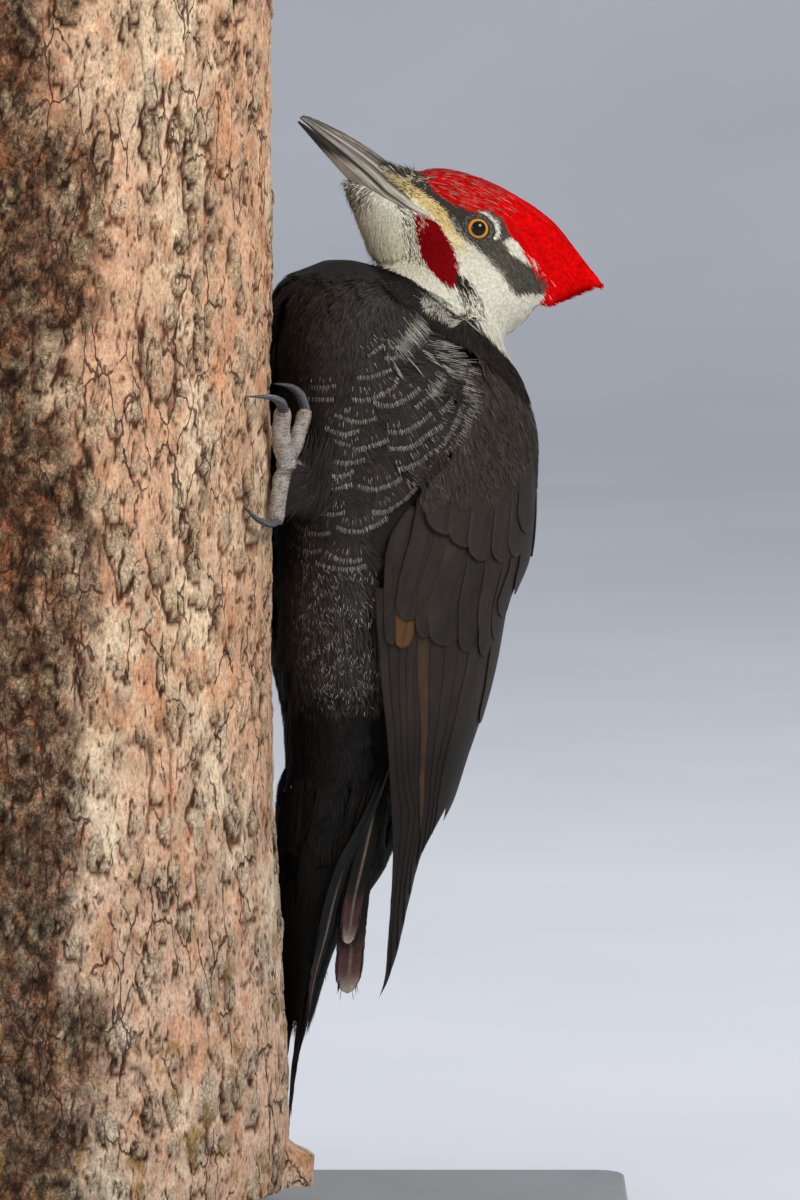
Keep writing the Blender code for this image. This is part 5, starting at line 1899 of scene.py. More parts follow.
def white_fringes(at, heading, half, sag, length):
    """The white ends of some barbs, which draw each flank feather's rounded edge as a row of dashes."""
    d, l, u = in_bird(at)
    a = around(d, l, u)
    near = (u > 0.212) & (u < 0.398) & (a > 14) & (a < 176)
    at, heading, half, sag, length = (v[near] for v in (at, heading, half, sag, length))
    owner, _, _, _, mid_at, tip_at = soft_feathers(
        ENVELOPE, at, heading, half, sag, length * 0.62, 0.62, FRINGE_PITCH, RNG, regular=True
    )
    m = len(owner)
    d, l, u = in_bird(tip_at)
    a = around(d, l, u)
    front = through(WING, u)[:, 3]
    traced = smooth(TRACED_ABOVE - 0.002, TRACED_ABOVE + 0.002, u) * (a > 38)
    band = smooth(0.228, 0.248, u) * smooth(0.300, 0.285, u) * smooth(18, 50, a) * (1 - traced)
    sparse = 0.80 * smooth(0.212, 0.226, u) * smooth(18, 50, a) * smooth(0.26, 0.24, u)
    feather_pick = RNG.random(len(at))[owner]
    chance = 0.75 * band * (0.35 + 0.65 * (feather_pick < 0.7))
    kept = (RNG.random(m) < np.maximum(chance, sparse)) & (a < front + 2)
    tip_at, mid_at = tip_at[kept], mid_at[kept]
    m = len(tip_at)
    way = unit(tip_at - mid_at) + RNG.normal(0, 0.22, (m, 3))
    tip_at = tip_at + unit(way) * (MM * RNG.normal(0, 1.1, m))[:, None]
    return pale_dashes(tip_at, unit(way), MM * (1.2 + 1.0 * RNG.random(m)), RNG)


body_coat()

# ---------------------------------------------------------------- vanes of wings and tail


def vane(parts, barbs, grid, normals, thick, colour, box, s_mm, x_mm, number):
    """A closed thin feather from its upper side's points, (R,C,3), and its thickness, (R,C)."""
    under = grid - normals * thick[..., None]
    verts, faces, uv = tube(np.concatenate([grid, under[:, ::-1]], 1), box)
    place = np.stack([np.abs(x_mm), s_mm - 0.9 * np.abs(x_mm), np.full(x_mm.shape, number * 7.3)], -1)
    barbs.append(with_ends(np.concatenate([place, place[:, ::-1]], 1)))
    # The underside takes the upper side's colours at 0.6: painted shade.
    parts.add(verts, faces, with_ends(np.concatenate([colour, colour[:, ::-1] * 0.6], 1)), uv)


def with_barbs(obj, barbs):
    point_vectors(obj.data, "barb", np.concatenate(barbs))
    return obj


def outline(t, pointed):
    """Half width as a share of the widest, from root (0) to tip (1)."""
    root = 0.45 + 0.55 * smooth(0, 0.30, t)
    if pointed:
        k = np.clip((t - POINT_FROM) / (1 - POINT_FROM), 0, 1)
        return root * np.maximum(1 - k**1.5, 0.03)
    k = np.clip((t - 0.86) / 0.14, 0, 1)
    return root * np.sqrt(np.maximum(1 - k**2.2, 0.003))


def chart(side, u, degrees, out):
    """Points on the folded wing's surface, at heights u and degrees round, standing out (metres) from it."""
    at = through(WING, u)
    a = np.radians(degrees)
    return bird_point(at[:, 0] - (at[:, 1] + out) * np.cos(a), side * (at[:, 2] + out) * np.sin(a), u)


def wing_feather(side, parts, barbs, spec, cell, rng):
    """spec: rows of height and the degrees of front and rear edge, root depth and stand at the tip mm, kind."""
    path, deep, tip_out, kind = spec
    path = sorted(path)
    u1, u0 = path[0][0], path[-1][0]
    long_one = u0 - u1 > 0.07
    rows, cols = (72, 13) if long_one else (34, 13)
    t = np.linspace(0, 1, rows) ** 0.85
    mid_u = u0 + (u1 - u0) * t
    edges = through(path, mid_u)
    # Edges are softened, so that a feather doesn't bend at the rows of its table.
    for _ in range(6):
        edges[1:-1] = 0.25 * edges[:-2] + 0.5 * edges[1:-1] + 0.25 * edges[2:]
    if deep > 2:  # a covert's root stays behind the soft wing's own front edge
        front = np.where(mid_u > 0.283, through(WING, mid_u)[:, 3] + 1.5, 0)
        edges[:, 0] = np.maximum(edges[:, 0], front)
        edges[:, 1] = np.maximum(edges[:, 1], edges[:, 0] + 8)
    middle, half = edges.mean(1), (edges[:, 1] - edges[:, 0]) / 2
    at = through(WING, mid_u)
    a = np.radians(middle)
    degree_mm = np.hypot(at[:, 1] * np.sin(a), at[:, 2] * np.cos(a)) * 1000 * np.pi / 180
    length_mm = (u0 - u1) * 1000
    end_mm = {"point": 15.0, "round": 6.5, "amber": 5.0, "brown": 16.0}[kind]
    left_mm = (1 - t) * length_mm
    k = np.clip(1 - left_mm / end_mm, 0, 1)
    if kind in ("point", "brown"):
        close = np.maximum(1 - k**1.7, 0.02)
    else:
        close = np.sqrt(np.maximum(1 - k**2.2, 0.003))
    w = half * close
    x = np.linspace(-1, 1, cols)
    teeth = 1 + 0.035 * noise2(t * length_mm * 0.35 + 20, np.full(rows, u1 * 900), 3) * smooth(0.3, 0.9, t)
    degrees = middle[:, None] + (w * teeth)[:, None] * x[None]
    across = w[:, None] * degree_mm[:, None] * x[None]
    drift = np.gradient(middle * degree_mm, mid_u * 1000)
    heights = mid_u[:, None] - 0.001 * across * np.clip(drift, -0.5, 0.5)[:, None] * 0.9
    # Barbs sweep towards the tip, so the rows of a vane are chevrons.
    heights = heights - 0.001 * 0.30 * np.abs(across) * (1 - t[:, None])
    out = -deep * (1 - t) ** 1.4 + tip_out
    widest = np.maximum(np.abs(across).max(), 1e-6)
    camber = 0.30 * (1 - (across / widest) ** 2)
    roll = -0.20 * x[None]
    rachis = 0.10 * np.exp(-((x / 0.12) ** 2))[None] * (1 - 0.7 * t)[:, None]
    ripple = 0.035 * noise2(across * 1.2 + u1 * 900, (mid_u * 500)[:, None] + 0.9 * np.abs(across), 17)
    stand = (out[:, None] + camber + roll + rachis + ripple) * MM
    flat_u, flat_a, flat_o = heights.ravel(), degrees.ravel(), stand.ravel()
    grid = chart(side, flat_u, flat_a, flat_o).reshape(rows, cols, 3)
    beyond = chart(side, flat_u, flat_a, flat_o + MM).reshape(rows, cols, 3)
    normals = unit(beyond - grid)
    thick = MM * (0.12 + 0.25 * np.exp(-((x / 0.16) ** 2)))[None] * (1 - 0.5 * t)[:, None]
    tone = 0.90 + 0.20 * rng.random()
    base = mix(C_WING, C_WING_DEEP, smooth(0.2, 1.0, x)[None] * np.ones((rows, 1)) * 0.5)
    edge = smooth(0.80, 1.0, -x)[None]
    base = mix(base, C_WING_EDGE, 0.50 * edge * smooth(0.2, 0.8, t)[:, None])
    worn = smooth(2.2, 0.4, left_mm)[:, None]
    base = mix(base, C_WING_EDGE, 0.30 * worn)
    barbwise = (mid_u * 420)[:, None] + 0.8 * np.abs(across)
    streaks = 0.5 + 0.5 * noise2(barbwise, np.sign(x)[None] * 3.0 + u1 * 700, 5)
    lower = smooth(0.225, 0.190, mid_u)[:, None, None]
    base = base * (0.84 + 0.30 * streaks)[..., None] * tone * (1 - 0.50 * lower)
    if kind == "amber":
        base = mix(base, C_AMBER, smooth(17.0, 12.0, left_mm)[:, None] * 0.9)
    if kind == "brown":
        share = smooth(0.12, 0.3, t)[:, None] * smooth(-0.02, -0.42, x)[None] * smooth(-1.0, -0.8, x)[None]
        share = share * (0.62 + 0.38 * noise2((mid_u * 160)[:, None] + 0 * across, x[None] * 2 + 50, 9))
        base = mix(base, C_BROWN, share)
    shaft = np.exp(-((x / 0.07) ** 2))[None]
    base = mix(base, C_SHAFT, 0.45 * shaft)
    if side < 0:
        grid, normals = grid[:, ::-1], normals[:, ::-1]
        thick, base, across = thick[:, ::-1], base[:, ::-1], across[:, ::-1]
    s_mm = ((u0 - mid_u) * 1000)[:, None] * np.ones((1, cols))
    vane(parts, barbs, grid, normals, thick, base, cell, s_mm, across, len(barbs) + 1)


def cells(count):
    """Even places on the OFBake map, one for each feather."""
    rows = math.ceil(count / CELL_COLUMNS)
    return [
        (
            (k % CELL_COLUMNS) / CELL_COLUMNS + 0.002,
            (k // CELL_COLUMNS) / rows + 0.002,
            0.94 / CELL_COLUMNS,
            0.94 / rows,
        )
        for k in range(count)
    ]


CELL_COLUMNS = 8
PRIMARIES = [  # each: rows of height, front edge, rear edge; root's depth; stand; kind
    (
        [
            (0.268, 66, 80), (0.244, 72, 84), (0.230, 75, 87), (0.210, 80, 92), (0.190, 84.5, 98), (0.170, 88, 104),
            (0.150, 92, 112), (0.120, 93, 114), (0.106, 97, 112), (0.0975, 86, 96),
        ], 1.2, 0.0, "point",
    ),
    (
        [
            (0.268, 72, 86), (0.230, 79.3, 92), (0.210, 84, 97), (0.190, 89, 104), (0.170, 95, 114),
            (0.150, 98, 120), (0.120, 99, 121), (0.107, 101, 116),
        ], 1.2, 0.2, "point",
    ),
    (
        [
            (0.268, 78, 92), (0.230, 83.5, 97), (0.210, 87.5, 101), (0.190, 92.5, 108), (0.170, 101, 120),
            (0.150, 104, 125), (0.125, 106, 123), (0.117, 108, 121),
        ], 1.2, 0.4, "point",
    ),
    (
        [
            (0.268, 82, 96), (0.230, 87, 101), (0.210, 91, 105), (0.190, 96, 112), (0.170, 106, 124),
            (0.150, 110, 127), (0.132, 112, 125), (0.128, 113, 124),
        ], 1.2, 0.6, "point",
    ),
    (
        [
            (0.268, 86, 98), (0.230, 90.5, 104), (0.210, 95, 108), (0.190, 99.5, 114), (0.170, 110, 128),
            (0.150, 114, 128), (0.140, 115, 127),
        ], 1.2, 0.7, "point",
    ),
]
SECONDARIES = [
    ([(0.290, 130, 160), (0.250, 136, 161), (0.230, 139, 160), (0.215, 142, 158),
        (0.2085, 142, 156)], 1.2, 0.5, "round"),
    (
        [(0.280, 124, 150), (0.230, 131, 156), (0.210, 133, 156), (0.190, 134, 158), (0.175, 134, 158),
            (0.1690, 136, 156)],
        1.2, 0.3, "round",
    ),
    (
        [(0.270, 86, 100), (0.230, 92.5, 108), (0.210, 98, 113), (0.190, 102.5, 117), (0.170, 108, 122),
            (0.160, 113, 124)],
        1.2, 0.8, "brown",
    ),
    (
        [(0.270, 93, 110), (0.230, 98.5, 114), (0.210, 102.6, 117), (0.190, 106.5, 121), (0.170, 112, 130),
            (0.152, 117, 129)],
        1.2, 1.0, "point",
    ),
    (
        [(0.275, 100, 118), (0.230, 106, 122), (0.210, 108, 124), (0.190, 111, 127), (0.170, 116, 132),
            (0.157, 119, 130)],
        1.2, 1.15, "point",
    ),
    (
        [(0.280, 108, 127), (0.230, 113, 130), (0.210, 114, 131), (0.190, 115, 132), (0.170, 119, 133),
            (0.161, 121, 131)],
        1.2, 1.3, "point",
    ),
    (
        [(0.285, 116, 138), (0.239, 119, 134), (0.217, 118.5, 137), (0.190, 119, 134), (0.175, 121, 133.5),
            (0.1645, 124, 132)],
        1.2, 1.5, "point",
    ),
]
COVERTS = [
    # greater
    ([(0.300, 64, 78), (0.287, 69, 80), (0.270, 70, 81), (0.250, 73.5, 81),
        (0.2440, 74.5, 80)], 1.6, 0.3, "round"),
    ([(0.300, 70, 84), (0.270, 74, 87), (0.250, 78.5, 88), (0.2425, 79, 85.5)], 1.6, 0.5, "amber"),
    ([(0.315, 84, 98), (0.287, 80, 95), (0.2765, 77.5, 93), (0.2626, 76.4, 91),
        (0.2537, 78, 89)], 1.6, 0.9, "round"),
    (
        [(0.318, 93, 108), (0.287, 90, 105), (0.2765, 87.5, 102), (0.2626, 85.8, 101), (0.2544, 86.9, 99),
            (0.2468, 87.5, 97)],
        1.6, 1.1, "round",
    ),
    ([(0.320, 101, 122), (0.2786, 94.5, 114), (0.2604, 92, 112), (0.2511, 93.6, 112),
        (0.2430, 95.5, 111)], 1.6, 1.3, "round"),
    ([(0.322, 111, 128), (0.2786, 106.2, 121), (0.2675, 106, 121.5), (0.2495, 109.5, 123),
        (0.2398, 111, 122)], 1.6, 1.5, "round"),
    ([(0.325, 119, 138), (0.2778, 115.6, 132), (0.2557, 119.8, 134), (0.245, 123, 135),
        (0.2372, 124.5, 134)], 1.6, 1.7, "round"),
    ([(0.330, 127, 148), (0.280, 127, 146), (0.250, 131, 145), (0.2440, 132, 143)], 1.6, 1.5, "round"),
    # median
    ([(0.335, 90, 108), (0.300, 86, 104), (0.2890, 86, 101)], 1.6, 1.25, "round"),
    ([(0.340, 100, 120), (0.300, 96, 114), (0.2835, 95, 110)], 1.6, 1.5, "round"),
    ([(0.345, 112, 130), (0.300, 106, 124), (0.2775, 104, 117)], 1.6, 1.75, "round"),
    ([(0.350, 122, 140), (0.300, 118, 136), (0.2765, 116, 130)], 1.6, 1.9, "round"),
    ([(0.352, 130, 148), (0.300, 128, 145), (0.2780, 126, 140)], 1.6, 1.95, "round"),
]
SCAPULARS = [
    ([(0.340, 133, 154), (0.290, 132, 152), (0.265, 132, 149), (0.2530, 132, 146)], 1.8, 1.7, "round"),
    ([(0.350, 150, 174), (0.310, 148, 172), (0.298, 146, 170), (0.286, 141, 166), (0.275, 139, 162),
        (0.2620, 140, 156)], 1.8, 1.95, "round"),
    ([(0.345, 138, 158), (0.330, 138, 158), (0.308, 134, 156), (0.295, 132, 150),
        (0.2870, 133, 146)], 1.8, 2.2, "round"),
    ([(0.345, 158, 184), (0.310, 158, 182), (0.290, 156, 178), (0.276, 154, 170)], 1.8, 1.9, "round"),
]


def build_wings():
    for side, name in ((1, "left"), (-1, "right")):
        rng = np.random.default_rng(SEEDS["wings"] + side)
        sunk = [[(path, 4.2, out, kind) for path, _, out, kind in group] for group in (COVERTS, SCAPULARS)]
        groups = (
            ("primaries", PRIMARIES),
            ("secondaries", SECONDARIES),
            ("coverts", sunk[0]),
            ("scapulars", sunk[1]),
        )
        for group, specs in groups:
            parts, barbs = Parts(), []
            for spec, cell in zip(specs, cells(len(specs))):
                wing_feather(side, parts, barbs, spec, cell, rng)
            obj = with_barbs(parts.make(f"wing_{name}_{group}_vanes", M_VANE, "flight_feather"), barbs)
            if group != "scapulars":
                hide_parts(f"wing_{name}_{group}")


build_wings()

# ---------------------------------------------------------------- tail

TAIL = {  # rank: half width, roll, path as distance, left, height in millimetres
    1: (6.2, 0, [(163, 4, 205), (146, 6, 173), (132.3, 7.5, 152.5), (124.8, 8, 124.5), (116.4, 8, 96),
        (110.8, 7, 66), (108.4, 6, 40)]),
    2: (6.8, 0, [(160, 8, 205), (144, 10, 173), (130.9, 12, 152.5), (123.4, 12.8, 124.5), (114.8, 13, 95),
        (112.0, 12.5, 81), (109.3, 12, 66)]),
    3: (6.6, 0, [(157, 11, 205), (142, 14, 173), (129.5, 16, 152.5), (122, 17.5, 124.5), (117, 18, 107.7),
        (113, 18, 94), (110.3, 17.5, 80)]),
    4: (5.8, 50, [(150, 26, 205), (135, 30.5, 172), (124.6, 31.5, 152.5), (119.4, 31.5, 136),
        (116.8, 31, 124.5), (112.6, 29.6, 107.7), (110, 28.4, 91)]),
    5: (6.5, 82, [(150, 20, 206), (143.5, 23, 187), (138.5, 23.6, 171), (134.4, 24, 152.5),
        (131.6, 23.5, 132), (130.2, 23, 115), (129, 22.5, 99.5)]),
    6: (4.5, 80, [(148, 23, 200), (142.7, 25.5, 187.5), (138.6, 25.9, 171), (134.0, 26.5, 152.6),
        (130.2, 26.5, 136.2), (128, 26.2, 120.2)]),
}
BRACED = (1, 2, 3, 4)
POINT_FROM = 0.60  # where a braced feather begins to narrow to its point
TAIL_ROWS, TAIL_COLUMNS = 96, 11
TAIL_LENGTH = 165
C_TAIL = rgb(17, 15, 14)
C_TAIL_PINK = rgb(84, 56, 54)
C_TAIL_SHAFT = rgb(118, 104, 90)
C_TIP_PALE = rgb(176, 160, 150)


def tail_path(side, rank, rows):
    half, roll, path = TAIL[rank]
    t = np.linspace(0, 1, rows)
    at = through([(i, *p) for i, p in enumerate(path)], t * (len(path) - 1)) * MM
    middle = bird_point(at[:, 0], side * at[:, 1], at[:, 2])
    a = math.radians(roll)
    across = math.sin(a) * OUT - side * math.cos(a) * LEFT
    face = math.cos(a) * OUT + side * math.sin(a) * LEFT
    return t, middle, unit(across), unit(face), half


def build_tail():
    for side, name in ((1, "left"), (-1, "right")):
        rng = np.random.default_rng(SEEDS["tail"] + side)
        for rank in TAIL:
            rows, cols = TAIL_ROWS, TAIL_COLUMNS
            t, middle, across, face, half = tail_path(side, rank, rows)
            braced = rank in BRACED
            x = np.linspace(-1, 1, cols)
            w = outline(t, braced) * half
            teeth = noise2(t * 60 + rank * 9, np.zeros(rows), rank + (side > 0) * 7)
            if braced:
                fray = 1 - 0.38 * np.maximum(teeth, 0) * smooth(0.62, 0.97, t)
            else:
                fray = 1 - 0.05 * np.abs(teeth)
            spread = w[:, None] * x[None] * fray[:, None]
            camber = -0.10 * (spread**2) / half
            ridge = 0.55 * np.exp(-((x / 0.13) ** 2))[None] * (1 - 0.75 * t)[:, None]
            sweep = 0.25 * np.abs(spread) * smooth(0.05, 0.3, t)[:, None]
            tangent = unit(np.gradient(middle, axis=0))
            grid = (
                middle[:, None]
                + across * (spread * MM)[..., None]
                + face * ((camber + ridge + 0.25) * MM)[..., None]
                + tangent[:, None] * (sweep * MM * (1 - t[:, None]))[..., None]
            )
            normals = np.broadcast_to(face, grid.shape)
            thick = MM * (0.16 + 0.9 * np.exp(-((x / 0.15) ** 2)))[None] * (1 - 0.7 * t)[:, None]
            tone = 0.85 + 0.3 * rng.random()
            base = np.broadcast_to(C_TAIL * tone, (rows, cols, 3)).copy()
            low = smooth(0.66, 0.86, t) * smooth(1.02, 0.9, t)
            outer = smooth(0.1, 0.9, -x if braced else np.abs(x))
            base = mix(base, C_TAIL_PINK, 0.6 * low[:, None] * outer[None])
            if not braced:
                end = smooth(0.88, 1.0, t)[:, None]
                base = mix(base, C_TIP_PALE, 0.7 * end)
                base = mix(base, C_TAIL_PINK, 0.6 * (smooth(0.72, 0.88, t) * smooth(1, 0.9, t))[:, None])
            line = np.exp(-((x / 0.10) ** 2))[None] * smooth(0.30, 0.5, t)[:, None]
            base = mix(base, C_TAIL_SHAFT, (0.55 if rank == 5 else 0.80) * line)
            barbwise = t[:, None] * 260 + 0.9 * np.abs(spread)
            streak = 0.5 + 0.5 * noise2(barbwise, np.sign(x)[None] * 2.0 + rank, 9)
            base = base * (0.75 + 0.4 * streak)[..., None]
            parts, barbs = Parts(), []
            s_mm = t[:, None] * TAIL_LENGTH * np.ones((1, cols))
            vane(parts, barbs, grid, normals, thick, base, (0.02, 0.02, 0.6, 0.96), s_mm, spread, rank)
            count = 150 if braced else 50
            # Loose barbs along the worn edges
            u = 0.62 + 0.38 * rng.random(count) if braced else 0.80 + 0.2 * rng.random(count)
            which = rng.choice([-1.0, 1.0], count)
            row = (u * (rows - 1)).astype(int)
            base_at = grid[row, np.where(which < 0, 1, cols - 2)]
            length = MM * (2.2 + 3.2 * rng.random(count)) * np.where(u > 0.9, 1.2, 1.0)
            dirs = unit(tangent[row] + across * (which * (0.10 + 0.30 * rng.random(count)))[:, None])
            k = np.linspace(0, 1, 4)
            centre = base_at[:, None] + dirs[:, None] * (length[:, None] * k[None])[..., None]
            centre += (across * which[:, None] * -0.0006)[:, None] * (k**2)[None, :, None]
            normal = np.broadcast_to(face, centre.shape)
            side_way = sideways(centre, normal, rng.normal(0, 0.6, count))
            width = MM * (0.10 + 0.08 * rng.random(count))[:, None] * np.array([1.0, 0.9, 0.6, 0.0])[None]
            shade = np.broadcast_to((C_TAIL * 1.1), (count, 4, 3))
            root_uv = np.full((count, 2), 0.8)
            rv, rf, rc, ru, _, _ = ribbons(centre, side_way, width, shade, root_uv, True, normal)
            parts.add(rv, rf, rc, ru)
            barbs.append(np.zeros((len(rv), 3)))
            obj = with_barbs(parts.make(f"tail_{name}_{rank}_vane", M_VANE, "flight_feather"), barbs)
            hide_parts(f"tail_{name}_{rank}")


build_tail()

# ---------------------------------------------------------------- bill

BILL = [  # forward, culmen, mouth, keel, half width
    (21.0, -4.4, -7.6, -9.6, 13.2),
    (30.0, -0.8, -8.8, -11.8, 11.5),
    (38.0, 1.6, -8.8, -13.2, 9.6),
    (44.0, 2.5, -8.0, -13.6, 8.2),
    (50.0, 2.8, -7.0, -13.3, 7.1),
    (57.0, 2.7, -6.2, -12.0, 6.1),
    (64.0, 2.2, -5.5, -10.4, 5.1),
    (71.5, 1.3, -4.8, -8.6, 4.0),
    (77.0, 0.4, -4.4, -7.2, 3.0),
    (81.5, -0.6, -4.1, -6.1, 2.2),
    (84.6, -1.6, -4.0, -5.4, 1.7),
]
UPPER_SHAPE = [(0.0, 1.0), (0.22, 0.98), (0.45, 0.80), (0.62, 0.52), (0.85, 0.30), (1.0, 0.10)]
LOWER_SHAPE = [(0.0, 0.97), (0.30, 0.90), (0.65, 0.62), (0.90, 0.30), (1.0, 0.12)]
MOUTH_OPEN_FROM, MOUTH_OPEN, BILL_GAP = 74.0, 0.9, 0.32
BILL_FROM, BILL_TO = BILL[0][0], BILL[-1][0]
C_HORN = rgb(88, 80, 70)
C_HORN_DARK = rgb(24, 21, 20)
C_IVORY = rgb(196, 189, 170)
C_SILVER = rgb(182, 176, 160)
C_PINKISH = rgb(196, 168, 140)


def bill_material():
    made, tree, shader = material("bill_horn_grain")
    place = node(tree, "ShaderNodeAttribute", attribute_name="grain").outputs["Vector"]
    mapped = node(tree, "ShaderNodeMapping", {"Vector": place, "Scale": (0.10, 1.5, 1.5)}).outputs["Vector"]
    inputs = {"Vector": mapped, "Scale": 1.6, "Detail": 5.0, "Roughness": 0.65}
    grain = node(tree, "ShaderNodeTexNoise", inputs).outputs["Fac"]
    fine = texture(tree, 900.0, 3.0)
    shade = ramp(tree, grain, [(0.30, grey(0.45)), (0.5, grey(0.92)), (0.72, grey(1.45))])
    rough = ramp(tree, fine, [(0.3, grey(0.34)), (0.7, grey(0.52))])
    values = {"Specular IOR Level": 0.18, "Coat Weight": 0.15, "Coat Roughness": 0.25}
    finish(tree, shader, tinted(tree, own_colour(tree), shade), values, rough)
    both = node(tree, "ShaderNodeMath", {0: grain, 1: fine}, operation="ADD").outputs["Value"]
    bump(tree, shader, both, 0.35, 0.0004)
    return made


M_BILL = bill_material()


def build_bill(upper):
    rows, half_cols = 150, 26
    shape = UPPER_SHAPE if upper else LOWER_SHAPE
    f = np.linspace(BILL_FROM, BILL_TO, rows)
    at = through(BILL, f)
    opening = np.maximum(0, (f - MOUTH_OPEN_FROM) / (BILL_TO - MOUTH_OPEN_FROM)) * MOUTH_OPEN
    clear = (BILL_GAP + opening) / 2
    start = at[:, 1] + (clear if upper else -clear)
    tall = (at[:, 0] if upper else at[:, 2]) - start
    share = np.linspace(0, 1, half_cols) ** 0.9
    wide = through(shape, share)[:, 0]
    shares = np.concatenate([share, share[::-1]])
    sides = np.concatenate([wide, -wide[::-1]])
    ff = f[:, None] * np.ones((1, len(shares)))
    ss = at[:, 3][:, None] * sides[None]
    hh = start[:, None] + tall[:, None] * shares[None]
    sign = np.sign(sides)[None]
    grooves = 0.10 * noise2(ff * 0.09 + 30, shares[None] * 9 + sign * 20, 4) + 0.05 * noise2(
        ff * 0.22 + 60, shares[None] * 22 + sign * 20, 6
    )
    if upper:
        bare = smooth(33, 42, ff)
        shelf = 0.30 * np.exp(-(((shares[None] - 0.50) / 0.07) ** 2)) * bare * smooth(84, 60, ff)
        dip = -0.28 * np.exp(-(((shares[None] - 0.66) / 0.08) ** 2)) * bare * smooth(84, 62, ff)
        ss = ss + sign * (shelf + dip + grooves * smooth(21, 40, ff))
    else:
        ss = ss + sign * grooves * 0.8
    # The worn tip: its last millimetre is uneven.
    chips = noise2(shares[None] * 7 + sign * 3, np.zeros_like(ff), 12 + int(upper))
    worn = 0.8 * np.maximum(chips, 0) + 0.5 * shares[None] * (1 if upper else 0.3)
    ff = ff - worn * smooth(81.5, BILL_TO, ff)
    ss = ss + 0.12 * noise2(ff * 0.9, shares[None] * 8 + sign * 11, 21) * smooth(74, 82, ff)
    rings = head_point(ff, ss, hh)
    streak = noise2(ff * 0.05 + 10, shares[None] * 8 + sign * 5, 31)
    fine = noise2(ff * 0.16 + 10, shares[None] * 26 + sign * 5, 33)
    s2 = shares[None] * np.ones_like(ff)
    if upper:
        low = smooth(0.46, 0.26, s2 + 0.06 * streak)
        colour = mix(C_HORN, C_IVORY, (0.30 + 0.45 * smooth(62, 34, ff)) * low)
        ridge = np.exp(-(((s2 - 0.52 + 0.02 * streak) / 0.055) ** 2))
        colour = mix(colour, C_PINKISH, 0.80 * ridge * smooth(30, 44, ff) * smooth(86, 72, ff))
        dark = np.exp(-(((s2 - 0.40) / 0.045) ** 2))
        colour = mix(colour, C_HORN_DARK, 0.75 * dark * smooth(30, 40, ff))
        colour = mix(colour, C_HORN_DARK, 0.70 * smooth(0.66, 0.92, s2 + 0.05 * streak))
        streaky = smooth(0.25, 0.8, fine) * smooth(0.58, 0.7, s2) * smooth(0.95, 0.85, s2)
        colour = mix(colour, C_PINKISH, 0.55 * streaky)
        colour = mix(colour, C_HORN_DARK, 0.85 * smooth(0.12, 0.02, s2) * smooth(28, 46, ff))
        colour = mix(colour, C_HORN_DARK, 0.45 * smooth(66, 84, ff) * smooth(0.2, 0.6, s2))
    else:
        colour = mix(C_SILVER, C_IVORY, 0.5 + 0.5 * streak)
        colour = mix(colour, C_HORN_DARK, 0.85 * smooth(0.16, 0.04, s2))
        colour = mix(colour, C_HORN_DARK * 0.8, 0.92 * smooth(58, 69, ff - 10 * (s2 - 0.5) + 3 * streak))
        colour = mix(colour, C_SILVER, 0.5 * smooth(0.5, 0.9, s2) * smooth(72, 60, ff))
    colour = colour * (0.92 + 0.16 * fine)[..., None]
    name = "bill_upper" if upper else "bill_lower"
    obj = loft(name + "_horn", rings, colour, M_BILL, "bill_horn")
    grain = np.stack([ff, s2 * tall[:, None] * sign, sign * 4 + 0 * ff], -1)
    point_vectors(obj.data, "grain", with_ends(grain))
    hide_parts(name)


build_bill(True)
build_bill(False)


NOSTRIL_BRISTLES = 8200


def nostril_tufts():
    """Stiff pale and dark bristles that lie forward over the nostrils and round the bill's root."""
    rng = np.random.default_rng(SEEDS["nostrils"])
    n = NOSTRIL_BRISTLES
    side = rng.choice([-1.0, 1.0], n)
    f = 27 + 15 * rng.random(n) ** 1.1
    share = rng.random(n)
    top, throat, wide = through(HEAD, f).T
    upper = through([(25, -4.6), (30, -3.6), (36, -3.0), (42, -2.0), (46, -1.0)], f)[:, 0]
    h = upper + (top - 0.6 - upper) * share
    middle, tall = (top + throat) / 2, (top - throat) / 2
    s = wide * np.sqrt(np.clip(1 - ((h - middle) / tall) ** 2, 0.02, 1)) * 0.93
    start = head_point(f, side * s, h)
    length = MM * (3.6 + 3.4 * rng.random(n)) * smooth(24, 36, f)
    reach = smooth(30, 36, f)
    ahead = reach[:, None] * H_FORWARD - (1 - reach)[:, None] * 0.3 * H_FORWARD
    heading = unit(
        ahead
        - 0.16 * H_UP
        + (side * (-0.14 + 0.10 * rng.normal(0, 1, n)))[:, None] * H_LEFT
        + (0.15 * rng.normal(0, 1, n))[:, None] * H_UP
    )
    k = np.linspace(0, 1, 4)
    out = unit(side[:, None] * H_LEFT + 0.3 * H_UP)
    centre = start[:, None] + heading[:, None] * (length[:, None] * k[None])[..., None]
    arch = MM * (0.7 * np.sin(np.pi * k * 0.8))[None] * rng.random(n)[:, None]
    centre = centre + out[:, None] * arch[..., None]
    normals = np.broadcast_to(out[:, None], centre.shape)
    across = sideways(centre, normals, rng.normal(0, 0.5, n))
    width = MM * (0.06 + 0.05 * rng.random(n))[:, None] * np.array([1.0, 1.0, 0.7, 0.0])[None]
    value = rng.random(n)
    yellowish = smooth(0.0, 0.30, 0.50 - share)
    dark_share = 0.26 + 0.66 * smooth(0.30, 0.62, share) + 0.10 * smooth(36, 42, f)
    colour = mix(C_CREAM, C_YELLOW, (0.60 * yellowish * smooth(42, 32, f))[:, None] * np.ones((1, 4)))
    dark = value < dark_share
    colour[dark] = C_LORE * 0.75
    colour = colour * (0.8 + 0.3 * rng.random(n))[:, None, None]
    made = ribbons(centre, across, width, colour, unwrap(start), True, normals)
    make_coat("coat_nostrils", [made], M_HAIR, "plumage_white")


nostril_tufts()

# ---------------------------------------------------------------- eyes

